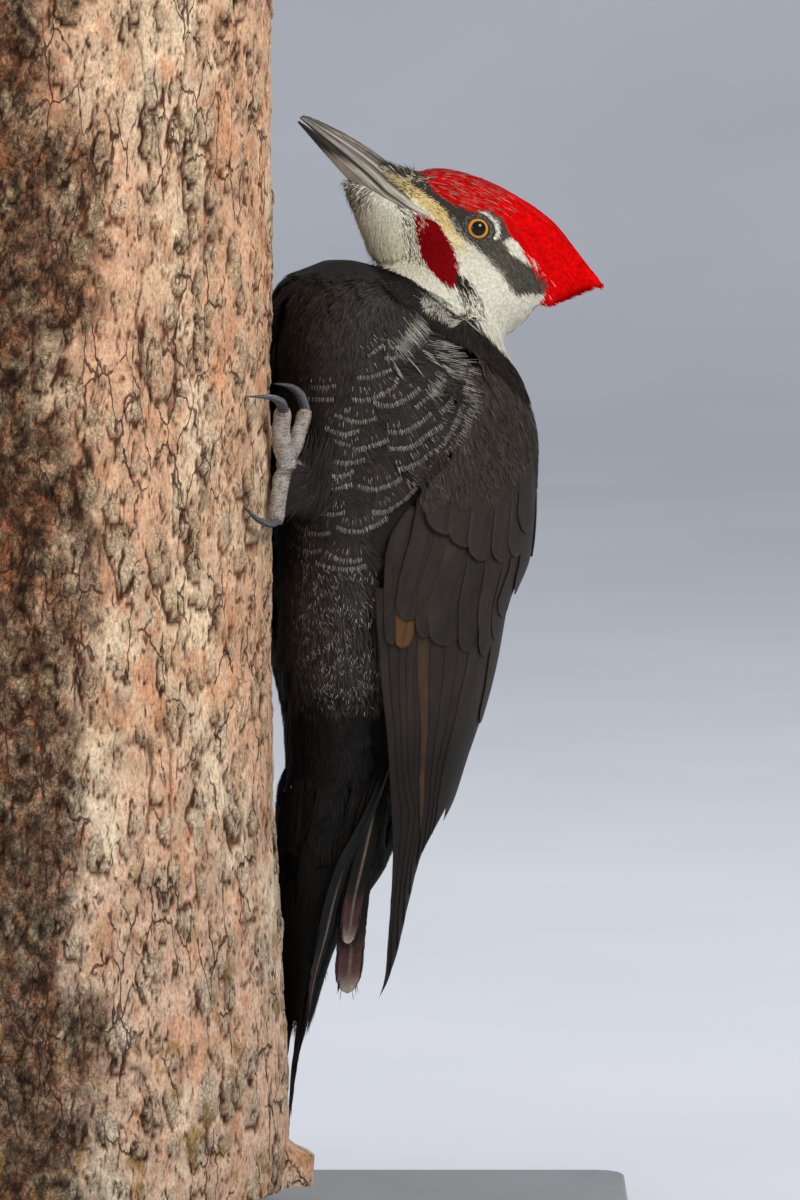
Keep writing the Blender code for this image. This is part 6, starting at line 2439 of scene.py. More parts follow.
C_PUPIL = rgb(5, 5, 6)
C_IRIS = rgb(222, 142, 44)
C_IRIS_DARK = rgb(150, 74, 16)
C_SCLERA = rgb(34, 24, 18)


def eye_material():
    made, tree, shader = material("eye_gloss")
    fibres = texture(tree, 2200.0, 2.0)
    shade = ramp(tree, fibres, [(0.3, grey(0.75)), (0.7, grey(1.2))])
    values = {"Roughness": 0.12, "Specular IOR Level": 0.12, "Coat Weight": 0.30, "Coat Roughness": 0.02}
    finish(tree, shader, tinted(tree, own_colour(tree), shade), values)
    bump(tree, shader, fibres, 0.03, 0.0001)
    return made


M_EYE = eye_material()


def build_eye(side, name):
    ahead, gaze, up = mirrored_axes(side)
    rows, cols = 96, 60
    # Rings crowd together on the side that looks out.
    polar = np.pi * (np.linspace(0.004, 0.996, rows) ** 1.5)
    angle = 2 * np.pi * np.arange(cols) / cols
    r = np.sin(polar)[:, None] * np.ones((1, cols))
    z = np.cos(polar)[:, None] * np.ones((1, cols))
    # The clear front stands a little proud, as a cornea does.
    bulge = EYE_RADIUS * (1 + 0.018 * smooth(0.75, 1.0, z))
    middle = head_point(0, side * EYE_OUT, 0)
    place = middle + MM * bulge[..., None] * (
        (r * np.cos(angle))[..., None] * ahead + (r * np.sin(angle))[..., None] * up + z[..., None] * gaze
    )
    out = r * EYE_RADIUS
    wobble = 0.06 * noise2(np.cos(angle) * 4 + 9, np.sin(angle) * 4 + 9, 5)[None]
    fibre = 0.5 + 0.5 * noise2(angle[None] * 16 + 100 + 0 * out, out * 1.6, 3)
    iris = mix(C_IRIS, C_IRIS_DARK, 0.45 * fibre)
    iris = mix(iris, C_IRIS_DARK * 0.8, smooth(4.05, 4.5, out))
    iris = mix(iris, rgb(240, 188, 84), 0.35 * smooth(3.2, 3.5, out) * smooth(3.95, 3.6, out))
    colour = mix(C_PUPIL, iris, smooth(2.96, 3.12, out + wobble))
    colour = mix(colour, C_SCLERA, smooth(4.45, 4.75, out))
    colour = np.where((z < 0)[..., None], C_SCLERA, colour)
    obj = loft(f"eye_{name}_globe", place, colour, M_EYE, "eye")
    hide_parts(f"eye_{name}")


build_eye(1, "left")
build_eye(-1, "right")

# ---------------------------------------------------------------- feet

TOES = {  # radii; path in degrees round the trunk, distance, height; claw's radius and path
    "inner": (
        (3.3, 3.0),
        [(-4, 108.6, 325.0), (-1.5, 110.6, 331.5), (0, 112.2, 336.6)],
        1.9,
        [(0.2, 113.0, 339.2), (-0.8, 110.8, 345.8), (-3.0, 106.2, 349.8), (-6.0, 100.8, 351.0)],
    ),
    "middle": (
        (3.9, 3.6),
        [(-9.5, 105.4, 325.5), (-11, 105.2, 332.5), (-12, 106.2, 338.6)],
        2.05,
        [(-12.8, 107.0, 340.8), (-16.2, 107.6, 344.6), (-21, 105.8, 347.4), (-26, 100.2, 348.0)],
    ),
    "outer": (
        (3.5, 3.2),
        [(-9.4, 104.6, 311.5), (-10.6, 104.0, 305), (-12, 103.8, 299.0)],
        1.75,
        [(-13, 104.6, 296.4), (-18.5, 104.8, 295.8), (-23.6, 102.8, 298.4), (-27.6, 100.0, 304.2)],
    ),
    "hind": (
        (2.3, 2.0),
        [(-1.0, 107.4, 310.5), (2, 106.4, 306), (4.2, 105.6, 302.8)],
        1.2,
        [(5.0, 105.6, 301.4), (6.6, 105.4, 299), (8.6, 103.2, 298.2), (10.6, 100.4, 299.2)],
    ),
}
HUB = (-7.6, 106.4, 318.5)
HUB_RADIUS = 4.2
HUB_SEED, SHANK_SEED = 3, 9
CLAW_TAPER = (1.12, 1.10, 0.76, 0.14)
RIGHT_FOOT_RAISE = 9.0
SHANK = [(0.0995, 0.0446, 0.3170), (0.1080, 0.0410, 0.3135), (0.1180, 0.0360, 0.3095), (0.1300, 0.0310, 0.3060)]
SHANK_RADII = [3.6, 3.0, 3.4, 4.0]
C_TOE = rgb(204, 196, 184)
C_TOE_PINK = rgb(184, 166, 150)
C_TOE_DARK = rgb(72, 64, 58)
C_CLAW = rgb(62, 62, 66)
C_CLAW_DARK = rgb(24, 23, 25)
C_CLAW_HIGHLIGHT = rgb(112, 112, 116)


def foot_material():
    """Granular scaly skin: pale raised grains, with painted shade darkening the creases between them."""
    made, tree, shader = material("foot_scales")
    inputs = {"Vector": stretched(tree, (1, 1, 1.35)), "Scale": 1250.0, "Randomness": 0.9}
    grains = node(tree, "ShaderNodeTexVoronoi", inputs, feature="DISTANCE_TO_EDGE").outputs["Distance"]
    crease = ramp(tree, grains, [(0.0, grey(0.42)), (0.12, grey(0.86)), (0.4, grey(1.12))])
    values = {"Roughness": 0.66, "Specular IOR Level": 0.35}
    finish(tree, shader, tinted(tree, own_colour(tree), crease), values)
    bump(tree, shader, grains, 0.8, 0.0012)
    return made


def claw_material():
    made, tree, shader = material("claw_gloss")
    grain = texture(tree, 700.0, 4.0, (1, 1, 2.5))
    shade = ramp(tree, grain, [(0.3, grey(0.72)), (0.7, grey(1.22))])
    rough = ramp(tree, grain, [(0.3, grey(0.20)), (0.7, grey(0.38))])
    finish(tree, shader, tinted(tree, own_colour(tree), shade), {}, rough)
    bump(tree, shader, grain, 0.2, 0.0003)
    return made


M_FOOT, M_CLAW = foot_material(), claw_material()


def foot_point(side, degrees, r, z):
    if side < 0:
        degrees = 2 * math.degrees(BIRD_TURN) - degrees
        z += RIGHT_FOOT_RAISE
    return trunk_point(degrees, r * MM, z * MM)


def limb_rings(points, radii, rows, sides, flatten, hint, swell=None):
    """Rings along a path, how far along it each lies in millimetres, and the angles round it."""
    table = [(i, *p, r) for i, (p, r) in enumerate(zip(points, radii))]
    at = through(table, np.linspace(0, len(points) - 1, rows))
    tangent = unit(np.gradient(at[:, :3], axis=0))
    across = unit(np.cross(tangent, hint))
    up = np.cross(across, tangent)
    a = 2 * np.pi * np.arange(sides) / sides
    r = at[:, 3][:, None] * np.ones((1, sides))
    length = np.concatenate([[0], np.cumsum(np.linalg.norm(np.diff(at[:, :3], axis=0), axis=1))]) / MM
    if swell is not None:
        r = r + swell(*np.meshgrid(length, a, indexing="ij")) * MM
    rings = at[:, None, :3] + (r * np.cos(a) * flatten)[..., None] * across[:, None]
    return rings + (r * np.sin(a))[..., None] * up[:, None], length, a


def toe_bands(s, a, seed):
    """Bands across a toe, from 0 in a crease to 1: s is millimetres along it and a is the angle round it."""
    phase = s / 1.45 + 0.18 * np.sin(a * 2 + seed) + 0.12 * noise2(s * 0.8, a * 2.0 + 20, seed)
    return np.abs(np.sin(np.pi * phase)) ** 0.45


def scutes(seed):
    def swell(s, a):
        """Bands across the top of a toe and rough pads below, millimetres."""
        top = smooth(-0.2, 0.5, np.sin(a))
        grains = noise2(s * 2.6 + 31, a * 5.0 + 40, seed + 5)
        pads = 0.35 * np.sin(2 * np.pi * s / 7.5 + seed) * (1 - top)
        return 0.36 * (toe_bands(s, a, seed) - 0.75) * (0.35 + 0.65 * top) + 0.16 * grains + pads * 0.5

    return swell


def toe_colour(s, a, seed):
    spots = noise2(s * 1.9 + 70, a * 4.2 + 60, seed + 9)
    colour = mix(C_TOE, C_TOE_PINK, smooth(-0.4, 0.6, noise2(s * 0.4 + 5, a * 1.2 + 9, seed + 2)))
    # Painted shade in the creases between the scales. The dark spots below are the skin's own.
    colour = mix(colour, C_TOE_DARK, 0.62 * smooth(0.62, 0.15, toe_bands(s, a, seed)))
    return mix(colour, C_TOE_DARK, 0.55 * smooth(0.25, 0.75, spots))


def build_foot(side, name):
    hub = foot_point(side, *HUB)
    outward = unit(hub - np.array([TRUNK_X, 0, hub[2]]))
    raised = RIGHT_FOOT_RAISE * MM if side < 0 else 0
    polar, angle = np.pi * np.linspace(0.01, 0.99, 40), 2 * np.pi * np.arange(48) / 48
    polar, angle = np.meshgrid(polar, angle, indexing="ij")
    ring = np.stack([np.sin(polar) * np.cos(angle), np.sin(polar) * np.sin(angle), np.cos(polar)], -1)
    size = HUB_RADIUS + scutes(HUB_SEED)(polar * HUB_RADIUS, angle) * 0.8
    colour = toe_colour(polar * HUB_RADIUS, angle, HUB_SEED)
    obj = loft(f"foot_{name}_hub_skin", hub + ring * (size * MM)[..., None], colour, M_FOOT, "foot_skin")
    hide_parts(f"foot_{name}_hub")
    for number, (toe, ((root, end), path, claw_root, claw_path)) in enumerate(TOES.items()):
        points = [foot_point(side, *p) for p in path]
        # The toe swells over the claw's root and closes round it.
        tip = foot_point(side, *claw_path[0])
        beyond = tip + unit(tip - points[-1]) * 0.0006
        radii = [root * MM * r for r in (0.9, 1.0, 0.92)] + [end * MM, claw_root * 1.22 * MM]
        rings, length, a = limb_rings([hub, *points, beyond], radii, 76, 32, 1.0, outward, scutes(number))
        colour = toe_colour(*np.meshgrid(length, a, indexing="ij"), number)
        obj = loft(f"foot_{name}_{toe}_toe_skin", rings, colour, M_FOOT, "foot_skin")
        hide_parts(f"foot_{name}_{toe}_toe")
        points = [foot_point(side, *p) for p in claw_path]
        start = points[0] - unit(points[1] - points[0]) * 0.0015
        radii = [claw_root * MM] + [claw_root * MM * r for r in CLAW_TAPER]
        rings, length, a = limb_rings([start, *points], radii, 70, 24, 0.70, outward)
        length, a = np.meshgrid(length, a, indexing="ij")
        t = length / length[-1]
        streak = noise2(length * 0.25 + 5, a * 3.5 + 7, number + 40)
        # Painted shade on the side of the claw that faces the trunk, and a painted highlight on its outward side
        # towards the root. The streaks and the dark tip are the claw's own.
        under = smooth(0.1, -0.9, np.sin(a))
        colour = mix(C_CLAW, C_CLAW_DARK, 0.55 * under + 0.35 * smooth(0.0, 0.8, streak))
        colour = mix(colour, C_CLAW_HIGHLIGHT, 0.5 * smooth(0.35, 0.9, np.sin(a)) * smooth(1, 0.3, t))
        colour = mix(colour, C_CLAW_DARK, smooth(0.8, 1.0, t) * 0.6)
        obj = loft(f"foot_{name}_{toe}_claw_horn", rings, colour, M_CLAW, "claw_horn")
        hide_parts(f"foot_{name}_{toe}_claw")
    shank = [bird_point(d, side * l, u + raised) for d, l, u in SHANK]
    radii = [r * MM for r in SHANK_RADII]
    rings, length, a = limb_rings(shank, radii, 90, 40, 1.0, np.array([0, 0, 1.0]), scutes(SHANK_SEED))
    colour = mix(toe_colour(*np.meshgrid(length, a, indexing="ij"), SHANK_SEED), C_TOE_DARK, 0.35)
    obj = loft(f"leg_{name}_skin", rings, colour, M_FOOT, "foot_skin")
    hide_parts(f"leg_{name}")


build_foot(1, "left")
build_foot(-1, "right")

# ---------------------------------------------------------------- trunk

TRUNK_RADIUS, TRUNK_FLARE, FLARE_TOP = 98.5, 7.0, 250.0
TRUNK_BOTTOM, TRUNK_TOP = 24.0, 515.0
TRUNK_WAVES = ((3, 0.9, 0.6), (5, 0.7, 2.1))
STUB_OUT, STUB_DEGREES, STUB_TOP = 12.0, 7.0, 40.0
ROUND_MM = 620.0  # once round the trunk
C_BARK = rgb(222, 178, 142)
C_BARK_CREAM = rgb(234, 206, 170)
C_BARK_ORANGE = rgb(216, 152, 110)
C_BARK_RUST = rgb(172, 88, 56)
C_BARK_PIT = rgb(62, 38, 26)
C_BARK_GREY = rgb(184, 160, 126)
C_BARK_BROWN = rgb(116, 78, 52)
C_BARK_DARK = rgb(50, 32, 22)
C_BARK_OLD_SHADED = rgb(104, 78, 54)
C_LICHEN = rgb(128, 110, 80)
C_LICHEN_GOLD = rgb(160, 120, 62)


def flakes(x, z, cell_x, cell_z, seed, chance, wrap):
    """Scattered bark plates. For each point: the height of the plate on it (0 to 1), that plate's own number, how far
    the point lies towards the plate's shaded side, and how deep it lies in the dark under a plate's edge."""
    cx, cz = x / cell_x, z / cell_z
    ix, iz = np.floor(cx), np.floor(cz)
    height, ident, lean, crescent = (np.zeros_like(x) for _ in range(4))
    for dx in (-1, 0, 1):
        for dz in (-1, 0, 1):
            gx, gz = np.mod(ix + dx, wrap), iz + dz
            own, in_x, in_z, big, long, high, way = (hashed(gx, gz, np.full_like(gx, seed + k)) for k in range(7))
            px = ix + dx + 0.15 + 0.7 * in_x
            pz = iz + dz + 0.15 + 0.7 * in_z
            size = 0.28 + 0.34 * big**1.5
            tall = 0.8 + 0.9 * long
            ox, oz = (cx - px) / size, (cz - pz) / (size * tall)
            warp = 0.30 * noise2(cx * 3.1 + own * 50, cz * 3.1 + own * 90, seed + 9)
            far = np.sqrt(ox**2 + oz**2) + warp
            there = (own < chance) & (far < 1.35)
            rise = smooth(1.0, 0.78, far) * (0.5 + 0.5 * high)
            turn = 2 * np.pi * way * 0.45 + 2.4
            towards = ox * np.cos(turn) + oz * np.sin(turn)
            dark = np.exp(-(((far - 1.06) / 0.15) ** 2)) * smooth(-0.1, 0.7, towards)
            over = there & (rise > height)
            height = np.where(over, rise, height)
            ident = np.where(over, own, ident)
            lean = np.where(over, towards, lean)
            crescent = np.where(there, np.maximum(crescent, dark), crescent)
    return height, ident, lean, crescent


def bark_material():
    """Scaly pine bark: the mesh's own plates and colours, under speckle, pits, cracks and fine crackle."""
    made, tree, shader = material("bark_plates")
    colour = own_colour(tree)
    weathered_and_shaded = node(tree, "ShaderNodeAttribute", attribute_name="weathered_and_shaded").outputs["Fac"]
    plate = node(tree, "ShaderNodeAttribute", attribute_name="plate").outputs["Fac"]

    def noise(scale, tall, detail, stops):
        at = stretched(tree, (1, 1, tall))
        inputs = {"Vector": at, "Scale": scale, "Detail": detail, "Roughness": 0.7}
        return ramp(tree, node(tree, "ShaderNodeTexNoise", inputs).outputs["Fac"], stops)

    def cracks(vector, scale, stops, feature="DISTANCE_TO_EDGE"):
        inputs = {"Vector": vector, "Scale": scale, "Randomness": 1.0}
        return ramp(tree, node(tree, "ShaderNodeTexVoronoi", inputs, feature=feature).outputs["Distance"], stops)

    def math_of(kind, *values):
        return node(tree, "ShaderNodeMath", dict(enumerate(values)), operation=kind).outputs["Value"]

    def laid_over(below, above, fac):
        return node(tree, "ShaderNodeMix", {"Factor": fac, 6: below, 7: above}, data_type="RGBA").outputs[2]

    def vector_of(kind, first, second):
        inputs = {0: first, "Scale" if kind == "SCALE" else 1: second}
        return node(tree, "ShaderNodeVectorMath", inputs, operation=kind).outputs["Vector"]

    tall = stretched(tree, (1.0, 1.0, 0.42))
    warp = node(tree, "ShaderNodeTexNoise", {"Vector": tall, "Scale": 170.0, "Detail": 3.0}).outputs["Color"]
    moved = vector_of("SUBTRACT", warp, (0.5, 0.5, 0.5))
    wavy = vector_of("ADD", tall, vector_of("SCALE", moved, 0.007))
    wobbly = vector_of("ADD", stretched(tree, (1, 1, 0.9)), vector_of("SCALE", moved, 0.012))
    grain = noise(900.0, 0.55, 6.0, [(0.30, grey(0.50)), (0.48, grey(0.96)), (0.72, grey(1.36))])
    rust = noise(520.0, 0.6, 4.0, [(0.53, grey(0.0)), (0.64, grey(1.0))])
    pit_where = noise(150.0, 0.6, 3.0, [(0.42, grey(0.0)), (0.52, grey(1.0))])
    pits = cracks(wavy, 330.0, [(0.12, grey(1.0)), (0.30, grey(0.0))], "F1")
    crack_where = noise(52.0, 0.5, 3.0, [(0.49, grey(0.0)), (0.55, grey(1.0))])
    long_cracks = cracks(wavy, 92.0, [(0.0, grey(1.0)), (0.014, grey(0.85)), (0.030, grey(0.0))])
    crackle = cracks(wobbly, 380.0, [(0.0, grey(0.42)), (0.06, grey(0.80)), (0.15, grey(1.0))])
    mottle = noise(150.0, 0.8, 5.0, [(0.38, grey(0.22)), (0.50, grey(0.88)), (0.64, grey(2.1))])
    base = tinted(tree, colour, grain)
    red_share = math_of("MULTIPLY", rust, math_of("MULTIPLY_ADD", plate, -0.45, 0.50))
    base = laid_over(base, (*C_BARK_RUST, 1.0), red_share)
    both = math_of("MINIMUM", math_of("ADD", math_of("MULTIPLY_ADD", plate, 0.8, 0.06), weathered_and_shaded), 1.0)
    base = laid_over(base, tinted(tree, base, crackle), both)
    base = laid_over(base, tinted(tree, base, mottle), weathered_and_shaded)
    pitted = math_of("MULTIPLY", pits, math_of("MULTIPLY", pit_where, 0.85))
    base = laid_over(base, (*C_BARK_PIT, 1.0), pitted)
    split = math_of("MULTIPLY", long_cracks, crack_where)
    base = laid_over(base, (*C_BARK_PIT, 1.0), math_of("MULTIPLY", split, 0.9))
    finish(tree, shader, base, {"Roughness": 0.9, "Specular IOR Level": 0.15})
    crackled = math_of("MULTIPLY", crackle, math_of("MULTIPLY", both, 0.5))
    height = math_of("MULTIPLY_ADD", grain, 0.40, crackled)
    height = math_of("MULTIPLY_ADD", pitted, -0.7, height)
    height = math_of("MULTIPLY_ADD", split, -1.3, height)
    bump(tree, shader, height, 0.9, 0.0009)
    return made


M_BARK = bark_material()


def wood_end_material():
    made, tree, shader = material("cut_wood")
    places = node(tree, "ShaderNodeTexCoord").outputs["Object"]
    inputs = {"Vector": places, "Location": (-TRUNK_X, 0, 0), "Scale": (1, 1, 0.05)}
    mapped = node(tree, "ShaderNodeMapping", inputs).outputs["Vector"]
    inputs = {"Vector": mapped, "Scale": 95.0, "Distortion": 3.2, "Detail": 3.0, "Detail Scale": 1.2}
    rings = node(tree, "ShaderNodeTexWave", inputs, wave_type="RINGS", rings_direction="Z").outputs["Fac"]
    grain = node(tree, "ShaderNodeTexNoise", {"Vector": mapped, "Scale": 420.0, "Detail": 6.0}).outputs["Fac"]
    colour = ramp(tree, rings, [(0.1, rgb(150, 108, 66)), (0.5, rgb(204, 168, 118)), (0.95, rgb(222, 192, 146))])
    shade = ramp(tree, grain, [(0.3, grey(0.78)), (0.7, grey(1.14))])
    finish(tree, shader, tinted(tree, colour, shade), {"Roughness": 0.75})
    both = node(tree, "ShaderNodeMath", {0: rings, 1: grain}, operation="ADD").outputs["Value"]
    bump(tree, shader, both, 0.4, 0.0006)
    return made


BARK_ROWS, BARK_COLUMNS = 232, 400
WOOD_RADIUS = 0.0955  # the cut face's wood ends here, and bark is round it
STUB_SPREAD = (1.15, 0.55)  # the flake's edge and its full height, as shares of STUB_DEGREES


def build_trunk():
    # Columns stand closer on the half that the bird and the camera are on.
    turn = np.linspace(0, 1, BARK_COLUMNS + 1)[:-1]
    degrees = 360 * (turn + 0.105 * np.sin(2 * np.pi * turn)) - 240.0
    rows = BARK_ROWS
    z = np.linspace(TRUNK_BOTTOM, TRUNK_TOP, rows)
    zz, dd = np.meshgrid(z, degrees, indexing="ij")
    a = np.radians(dd)
    r = TRUNK_RADIUS + TRUNK_FLARE * smooth(FLARE_TOP, TRUNK_BOTTOM, zz)
    for count, deep, phase in TRUNK_WAVES:
        r = r + deep * np.sin(count * a + phase)
    x = np.mod(dd, 360) / 360 * ROUND_MM
    rough = fractal(x / 31.0, zz / 44.0, 3, 11, 20)
    waves = fractal(x / 12.4, zz / 22.0, 3, 13, 50)
    small = fractal(x / 4.96, zz / 7.0, 3, 15, 125)
    wx = x + 1.5 * noise2(x / 6.2, zz / 8, 70, 100) + 0.7 * noise2(x / 2.48, zz / 3.2, 71, 250)
    wz = zz + 1.6 * noise2(x / 6.2, zz / 8, 72, 100) + 0.7 * noise2(x / 2.48, zz / 3.2, 73, 250)
    # The trunk's far left and its back are weathered bark, rougher and with more flakes and lichen. They are also
    # painted darker, as shade on the side turned from the light.
    weathered_and_shaded = smooth(-67, -86, dd + 9 * rough + 5 * waves) + smooth(60, 100, dd) * 0.55
    weathered_and_shaded = np.clip(weathered_and_shaded + 0.12 * waves, 0, 1)
    big = flakes(wx, wz, 10.0, 14.5, 101, 0.36 + 0.25 * weathered_and_shaded, 62)
    mid = flakes(wx + 5, wz + 3, 6.2, 8.2, 202, 0.30 + 0.30 * weathered_and_shaded, 100)
    tiny = flakes(wx + 2, wz + 8, 4.0, 5.0, 303, 0.24 + 0.3 * weathered_and_shaded, 155)
    # Long upright splits
    split = np.abs(noise2(wx / 15.5, zz / 64.0, 81, 40))
    where = smooth(0.05, 0.45, noise2(x / 31, zz / 52, 83, 20))
    split = smooth(0.045, 0.0, split) * where
    relief = 0.7 * rough + 0.55 * waves * (0.35 + 1.6 * weathered_and_shaded) + 0.22 * small * (0.5 + 1.8 * weathered_and_shaded)
    relief += 1.0 * big[0] * (0.7 + 0.7 * weathered_and_shaded) + 0.65 * mid[0] + 0.35 * tiny[0]
    relief -= 1.2 * big[3] + 0.8 * mid[3] + 0.4 * tiny[3] + 1.2 * split
    relief *= smooth(TRUNK_BOTTOM - 6, TRUNK_BOTTOM + 5, zz) * 0.75 + 0.25
    # The broken flake of bark at the foot, on the bird's side
    stub = smooth(*(STUB_DEGREES * k for k in STUB_SPREAD), np.abs(np.mod(dd + 180, 360) - 180))
    stub *= smooth(STUB_TOP + 1, STUB_TOP - 5, zz)
    r = r + np.clip(relief - 0.9, -2.6, 1.9) + STUB_OUT * stub * (0.86 + 0.14 * waves)
    r = np.minimum(r, TRUNK_RADIUS + TRUNK_FLARE + STUB_OUT + 0.5)
    grid = np.stack([TRUNK_X + r * MM * np.cos(a), r * MM * np.sin(a), zz * MM], -1)
    # Colour
    hue = fractal(x / 24.8 + 7, zz / 60.0, 3, 21, 25)
    patch = fractal(x / 10.0, zz / 16.0, 3, 23, 62)
    colour = mix(C_BARK, C_BARK_CREAM, smooth(-0.2, 0.9, hue))
    colour = mix(colour, C_BARK_ORANGE, 0.70 * smooth(0.25, 0.95, patch))
    grey_plate = mix(C_BARK_GREY, C_BARK_CREAM, hashed((big[1] * 1e6).astype(int)) * 0.7)
    colour = mix(colour, grey_plate, 0.62 * smooth(0.25, 0.6, big[0]))
    mid_plate = mix(C_BARK_GREY, C_BARK_ORANGE, hashed((mid[1] * 1e6).astype(int)) * 0.6)
    colour = mix(colour, mid_plate, 0.45 * smooth(0.25, 0.6, mid[0]))
    # The weathered side's own colours: old bark, lichen and brown. They are kept dark, so they also paint that side's
    # shade.
    worn = mix(C_BARK_OLD_SHADED, C_LICHEN, smooth(-0.1, 0.7, fractal(x / 12.4, zz / 18.0, 3, 27, 50)))
    worn = mix(worn, C_BARK_BROWN, smooth(0.0, 0.7, waves) * 0.8)
    colour = mix(colour, worn, 0.85 * weathered_and_shaded)
    rust = smooth(0.1, 0.7, fractal(x / 6.2 + 9, zz / 12.0, 3, 31, 100)) * weathered_and_shaded
    colour = mix(colour, rgb(120, 70, 34), 0.55 * rust)
    shade = np.clip(big[3] * 1.0 + mid[3] * 0.85 + tiny[3] * 0.6, 0, 1)
    colour = mix(colour, C_BARK_BROWN, 0.85 * smooth(0.15, 0.50, shade))
    colour = mix(colour, C_BARK_DARK, 0.95 * smooth(0.40, 0.80, shade))
    colour = mix(colour, C_BARK_DARK, 0.75 * split)
    # Painted shade: the relief's hollows are darkened towards brown.
    hollow = smooth(-0.1, -1.7, relief)
    colour = mix(colour, C_BARK_BROWN, 0.6 * hollow)
    gold = smooth(0.55, 0.85, fractal(x / 8.0 + 3, zz / 9.0, 3, 29, 78)) * smooth(200, 90, zz)
    colour = mix(colour, C_LICHEN_GOLD, 0.75 * gold)
    colour = colour * (0.90 + 0.16 * small[..., None])
    colour = colour * (1 - smooth(260, 110, zz)[..., None] * (1 - np.array([0.90, 1.0, 1.12])))
    # Painted shade: the weathered side, turned from the light, is darkened further.
    colour = colour * (1 - 0.22 * weathered_and_shaded[..., None])
    verts = grid.reshape(-1, 3)
    quads = grid_faces(rows, len(degrees), True)
    up = (zz - TRUNK_BOTTOM) / (TRUNK_TOP - TRUNK_BOTTOM)
    uv = np.stack([np.abs(np.mod(dd, 360) / 180 - 1) * 0.8 + 0.01, up * 0.98 + 0.01], -1)
    parts = Parts()
    parts.add(verts, quads, colour.reshape(-1, 3), uv.reshape(-1, 2))
    # Cut ends, slightly dished by the saw, with bark round them
    cols = len(degrees)
    for row, turn_over in ((0, True), (rows - 1, False)):
        rim = grid[row]
        level = rim[:, 2].mean()
        shares = np.array([1.0, 0.985, 0.965, 0.94, 0.8, 0.6, 0.4, 0.2, 0.05])
        centre = np.array([TRUNK_X, 0, level])
        ends = np.array([centre + (rim - centre) * k for k in shares])
        ends[1:, :, 2] += (1 if turn_over else -1) * 0.0002
        faces = grid_faces(len(shares), cols, True)
        hub = np.array([[TRUNK_X, 0, level]])
        j = np.arange(cols)
        last = (len(shares) - 1) * cols
        fan = np.stack([np.full(cols, last + cols), last + (j + 1) % cols, last + j], -1)
        if turn_over:
            faces, fan = faces[:, ::-1], fan[:, ::-1]
        end_verts = np.concatenate([ends.reshape(-1, 3), hub])
        end_colour = np.tile(C_BARK_BROWN, (len(end_verts), 1))
        q = (end_verts - [TRUNK_X, 0, 0]) / 0.21
        place = np.stack([0.91 + q[:, 0] * 0.16, (0.25 if turn_over else 0.75) + q[:, 1] * 0.16], -1)
        parts.add(end_verts, [faces[:, ::-1], fan[:, ::-1]], end_colour, place)
    obj = parts.make("trunk_bark", M_BARK, "bark")
    # The cut faces wear the wood.
    obj.data.materials.append(wood_end_material())
    centres, normals = (np.empty(len(obj.data.polygons) * 3, np.float32) for _ in range(2))
    obj.data.polygons.foreach_get("center", centres)
    obj.data.polygons.foreach_get("normal", normals)
    centres, normals = centres.reshape(-1, 3), normals.reshape(-1, 3)
    away = np.hypot(centres[:, 0] - TRUNK_X, centres[:, 1])
    wood = (np.abs(normals[:, 2]) > 0.9) & (away < WOOD_RADIUS)
    wood &= (centres[:, 2] < (TRUNK_BOTTOM + 0.6) * MM) | (centres[:, 2] > (TRUNK_TOP - 0.6) * MM)
    obj.data.polygons.foreach_set("material_index", wood.astype(np.int32))
    plates = np.clip(smooth(0.25, 0.6, big[0]) + 0.8 * smooth(0.25, 0.6, mid[0]), 0, 1)
    for title, field in (("weathered_and_shaded", weathered_and_shaded), ("plate", plates)):
        layer = obj.data.attributes.new(title, "FLOAT", "POINT")
        values = np.zeros(len(obj.data.vertices), np.float32)
        values[: field.size] = field.ravel()
        layer.data.foreach_set("value", values)
    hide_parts("trunk_length")


build_trunk()

# ---------------------------------------------------------------- stand, floor, light and camera


def stand_material():
    made, tree, shader = material("stand_satin")
    speckle, cloud = texture(tree, 700.0, 5.0), texture(tree, 16.0, 3.0)
    colour = ramp(tree, speckle, [(0.3, rgb(120, 121, 122)), (0.7, rgb(142, 143, 144))])
    shade = ramp(tree, cloud, [(0.3, grey(0.92)), (0.7, grey(1.06))])
    rough = ramp(tree, speckle, [(0.3, grey(0.42)), (0.7, grey(0.58))])
    finish(tree, shader, tinted(tree, colour, shade), {}, rough)
    bump(tree, shader, speckle, 0.2, 0.0003)
    return made


M_STAND = stand_material()
for part in ("stand_base", "stand_rod_back", "stand_rod_front"):
    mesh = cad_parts[part].data
    mesh.materials.clear()
    mesh.materials.append(M_STAND)


def floor_material():
    made, tree, shader = material("pale_floor")
    colour = ramp(tree, texture(tree, 2.2, 3.0), [(0.3, rgb(206, 208, 214)), (0.7, rgb(216, 217, 222))])
    finish(tree, shader, colour, {"Roughness": 0.9})
    bump(tree, shader, texture(tree, 60.0, 4.0), 0.1, 0.002)
    return made


STAGE_NEAR, STAGE_BEND, STAGE_HALF, STAGE_TOP = -9.0, 4.6, 9.0, 7.0
STAGE_RADIUS = 1.4  # of the bend from floor to backdrop


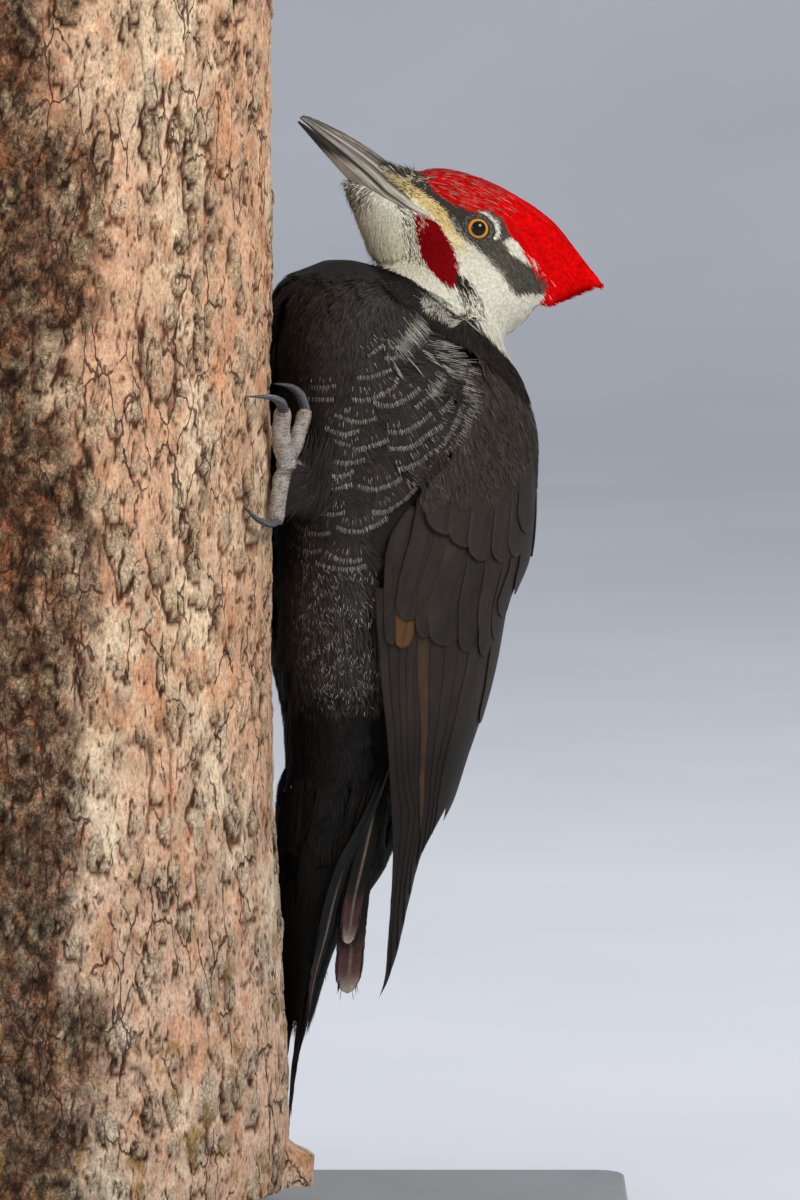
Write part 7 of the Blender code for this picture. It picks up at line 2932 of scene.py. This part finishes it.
def build_stage():
    """A pale floor that sweeps up into a pale backdrop."""
    profile = [(STAGE_NEAR, 0.0), (STAGE_BEND, 0.0)]
    for t in np.linspace(0.1, math.pi / 2, 14):
        profile.append((STAGE_BEND + STAGE_RADIUS * math.sin(t), STAGE_RADIUS - STAGE_RADIUS * math.cos(t)))
    profile.append((STAGE_BEND + STAGE_RADIUS, STAGE_TOP))
    verts = [(x, y, z) for y, z in profile for x in (-STAGE_HALF, STAGE_HALF)]
    faces = [(2 * k, 2 * k + 1, 2 * k + 3, 2 * k + 2) for k in range(len(profile) - 1)]
    mesh = bpy.data.meshes.new("floor_sweep")
    mesh.from_pydata(verts, [], faces)
    mesh.shade_smooth()
    mesh.materials.append(floor_material())
    obj = bpy.data.objects.new("floor_sweep", mesh)
    bpy.context.scene.collection.objects.link(obj)


def area_light(name, at, target, size, power, colour):
    data = bpy.data.lights.new(name, "AREA")
    data.shape = "DISK"
    data.size = size
    data.energy = power
    data.color = colour
    obj = bpy.data.objects.new(name, data)
    obj.location = at
    obj.rotation_mode = "QUATERNION"
    obj.rotation_quaternion = (Vector(target) - Vector(at)).to_track_quat("-Z", "Y")
    bpy.context.scene.collection.objects.link(obj)


build_stage()
TARGET = (0.0862, 0.045, 0.2585)
CAMERA_FAR, CAMERA_PITCH = 4.0, math.radians(5)
SCALE = 0.00041  # metres for each pixel of the 800 x 1200 image, at the target
IMAGE_HEIGHT = 1200
SENSOR = 36.0
LIGHTS = (  # name, place, target, size, watts, colour
    ("key", (1.5, -2.2, 2.1), (0, 0, 0.3), 1.1, 64, (1.0, 0.985, 0.96)),
    ("fill", (-2.4, -2.0, 1.0), (0, 0, 0.28), 2.2, 26, (0.93, 0.96, 1.0)),
    ("back", (1.2, 1.2, 1.9), (0, 0, 0.3), 1.2, 18, (0.96, 0.98, 1.0)),
)
SKY_COLOUR, SKY_STRENGTH = (0.83, 0.87, 0.93, 1), 0.62
for light in LIGHTS:
    area_light(*light)
world = bpy.data.worlds.new("soft_sky")
world.use_nodes = True
sky = world.node_tree.nodes["Background"].inputs
sky["Color"].default_value, sky["Strength"].default_value = SKY_COLOUR, SKY_STRENGTH
bpy.context.scene.world = world
camera = bpy.data.objects.new("camera", bpy.data.cameras.new("camera"))
forward = Vector((0, math.cos(CAMERA_PITCH), -math.sin(CAMERA_PITCH)))
camera.location = Vector(TARGET) - forward * CAMERA_FAR
camera.rotation_mode = "QUATERNION"
camera.rotation_quaternion = forward.to_track_quat("-Z", "Y")
camera.data.sensor_width = SENSOR
camera.data.lens = SENSOR * CAMERA_FAR / (IMAGE_HEIGHT * SCALE)
camera.data.clip_start, camera.data.clip_end = 0.1, 50
bpy.context.scene.collection.objects.link(camera)
bpy.context.scene.camera = camera
bpy.context.scene.view_settings.view_transform = "Standard"
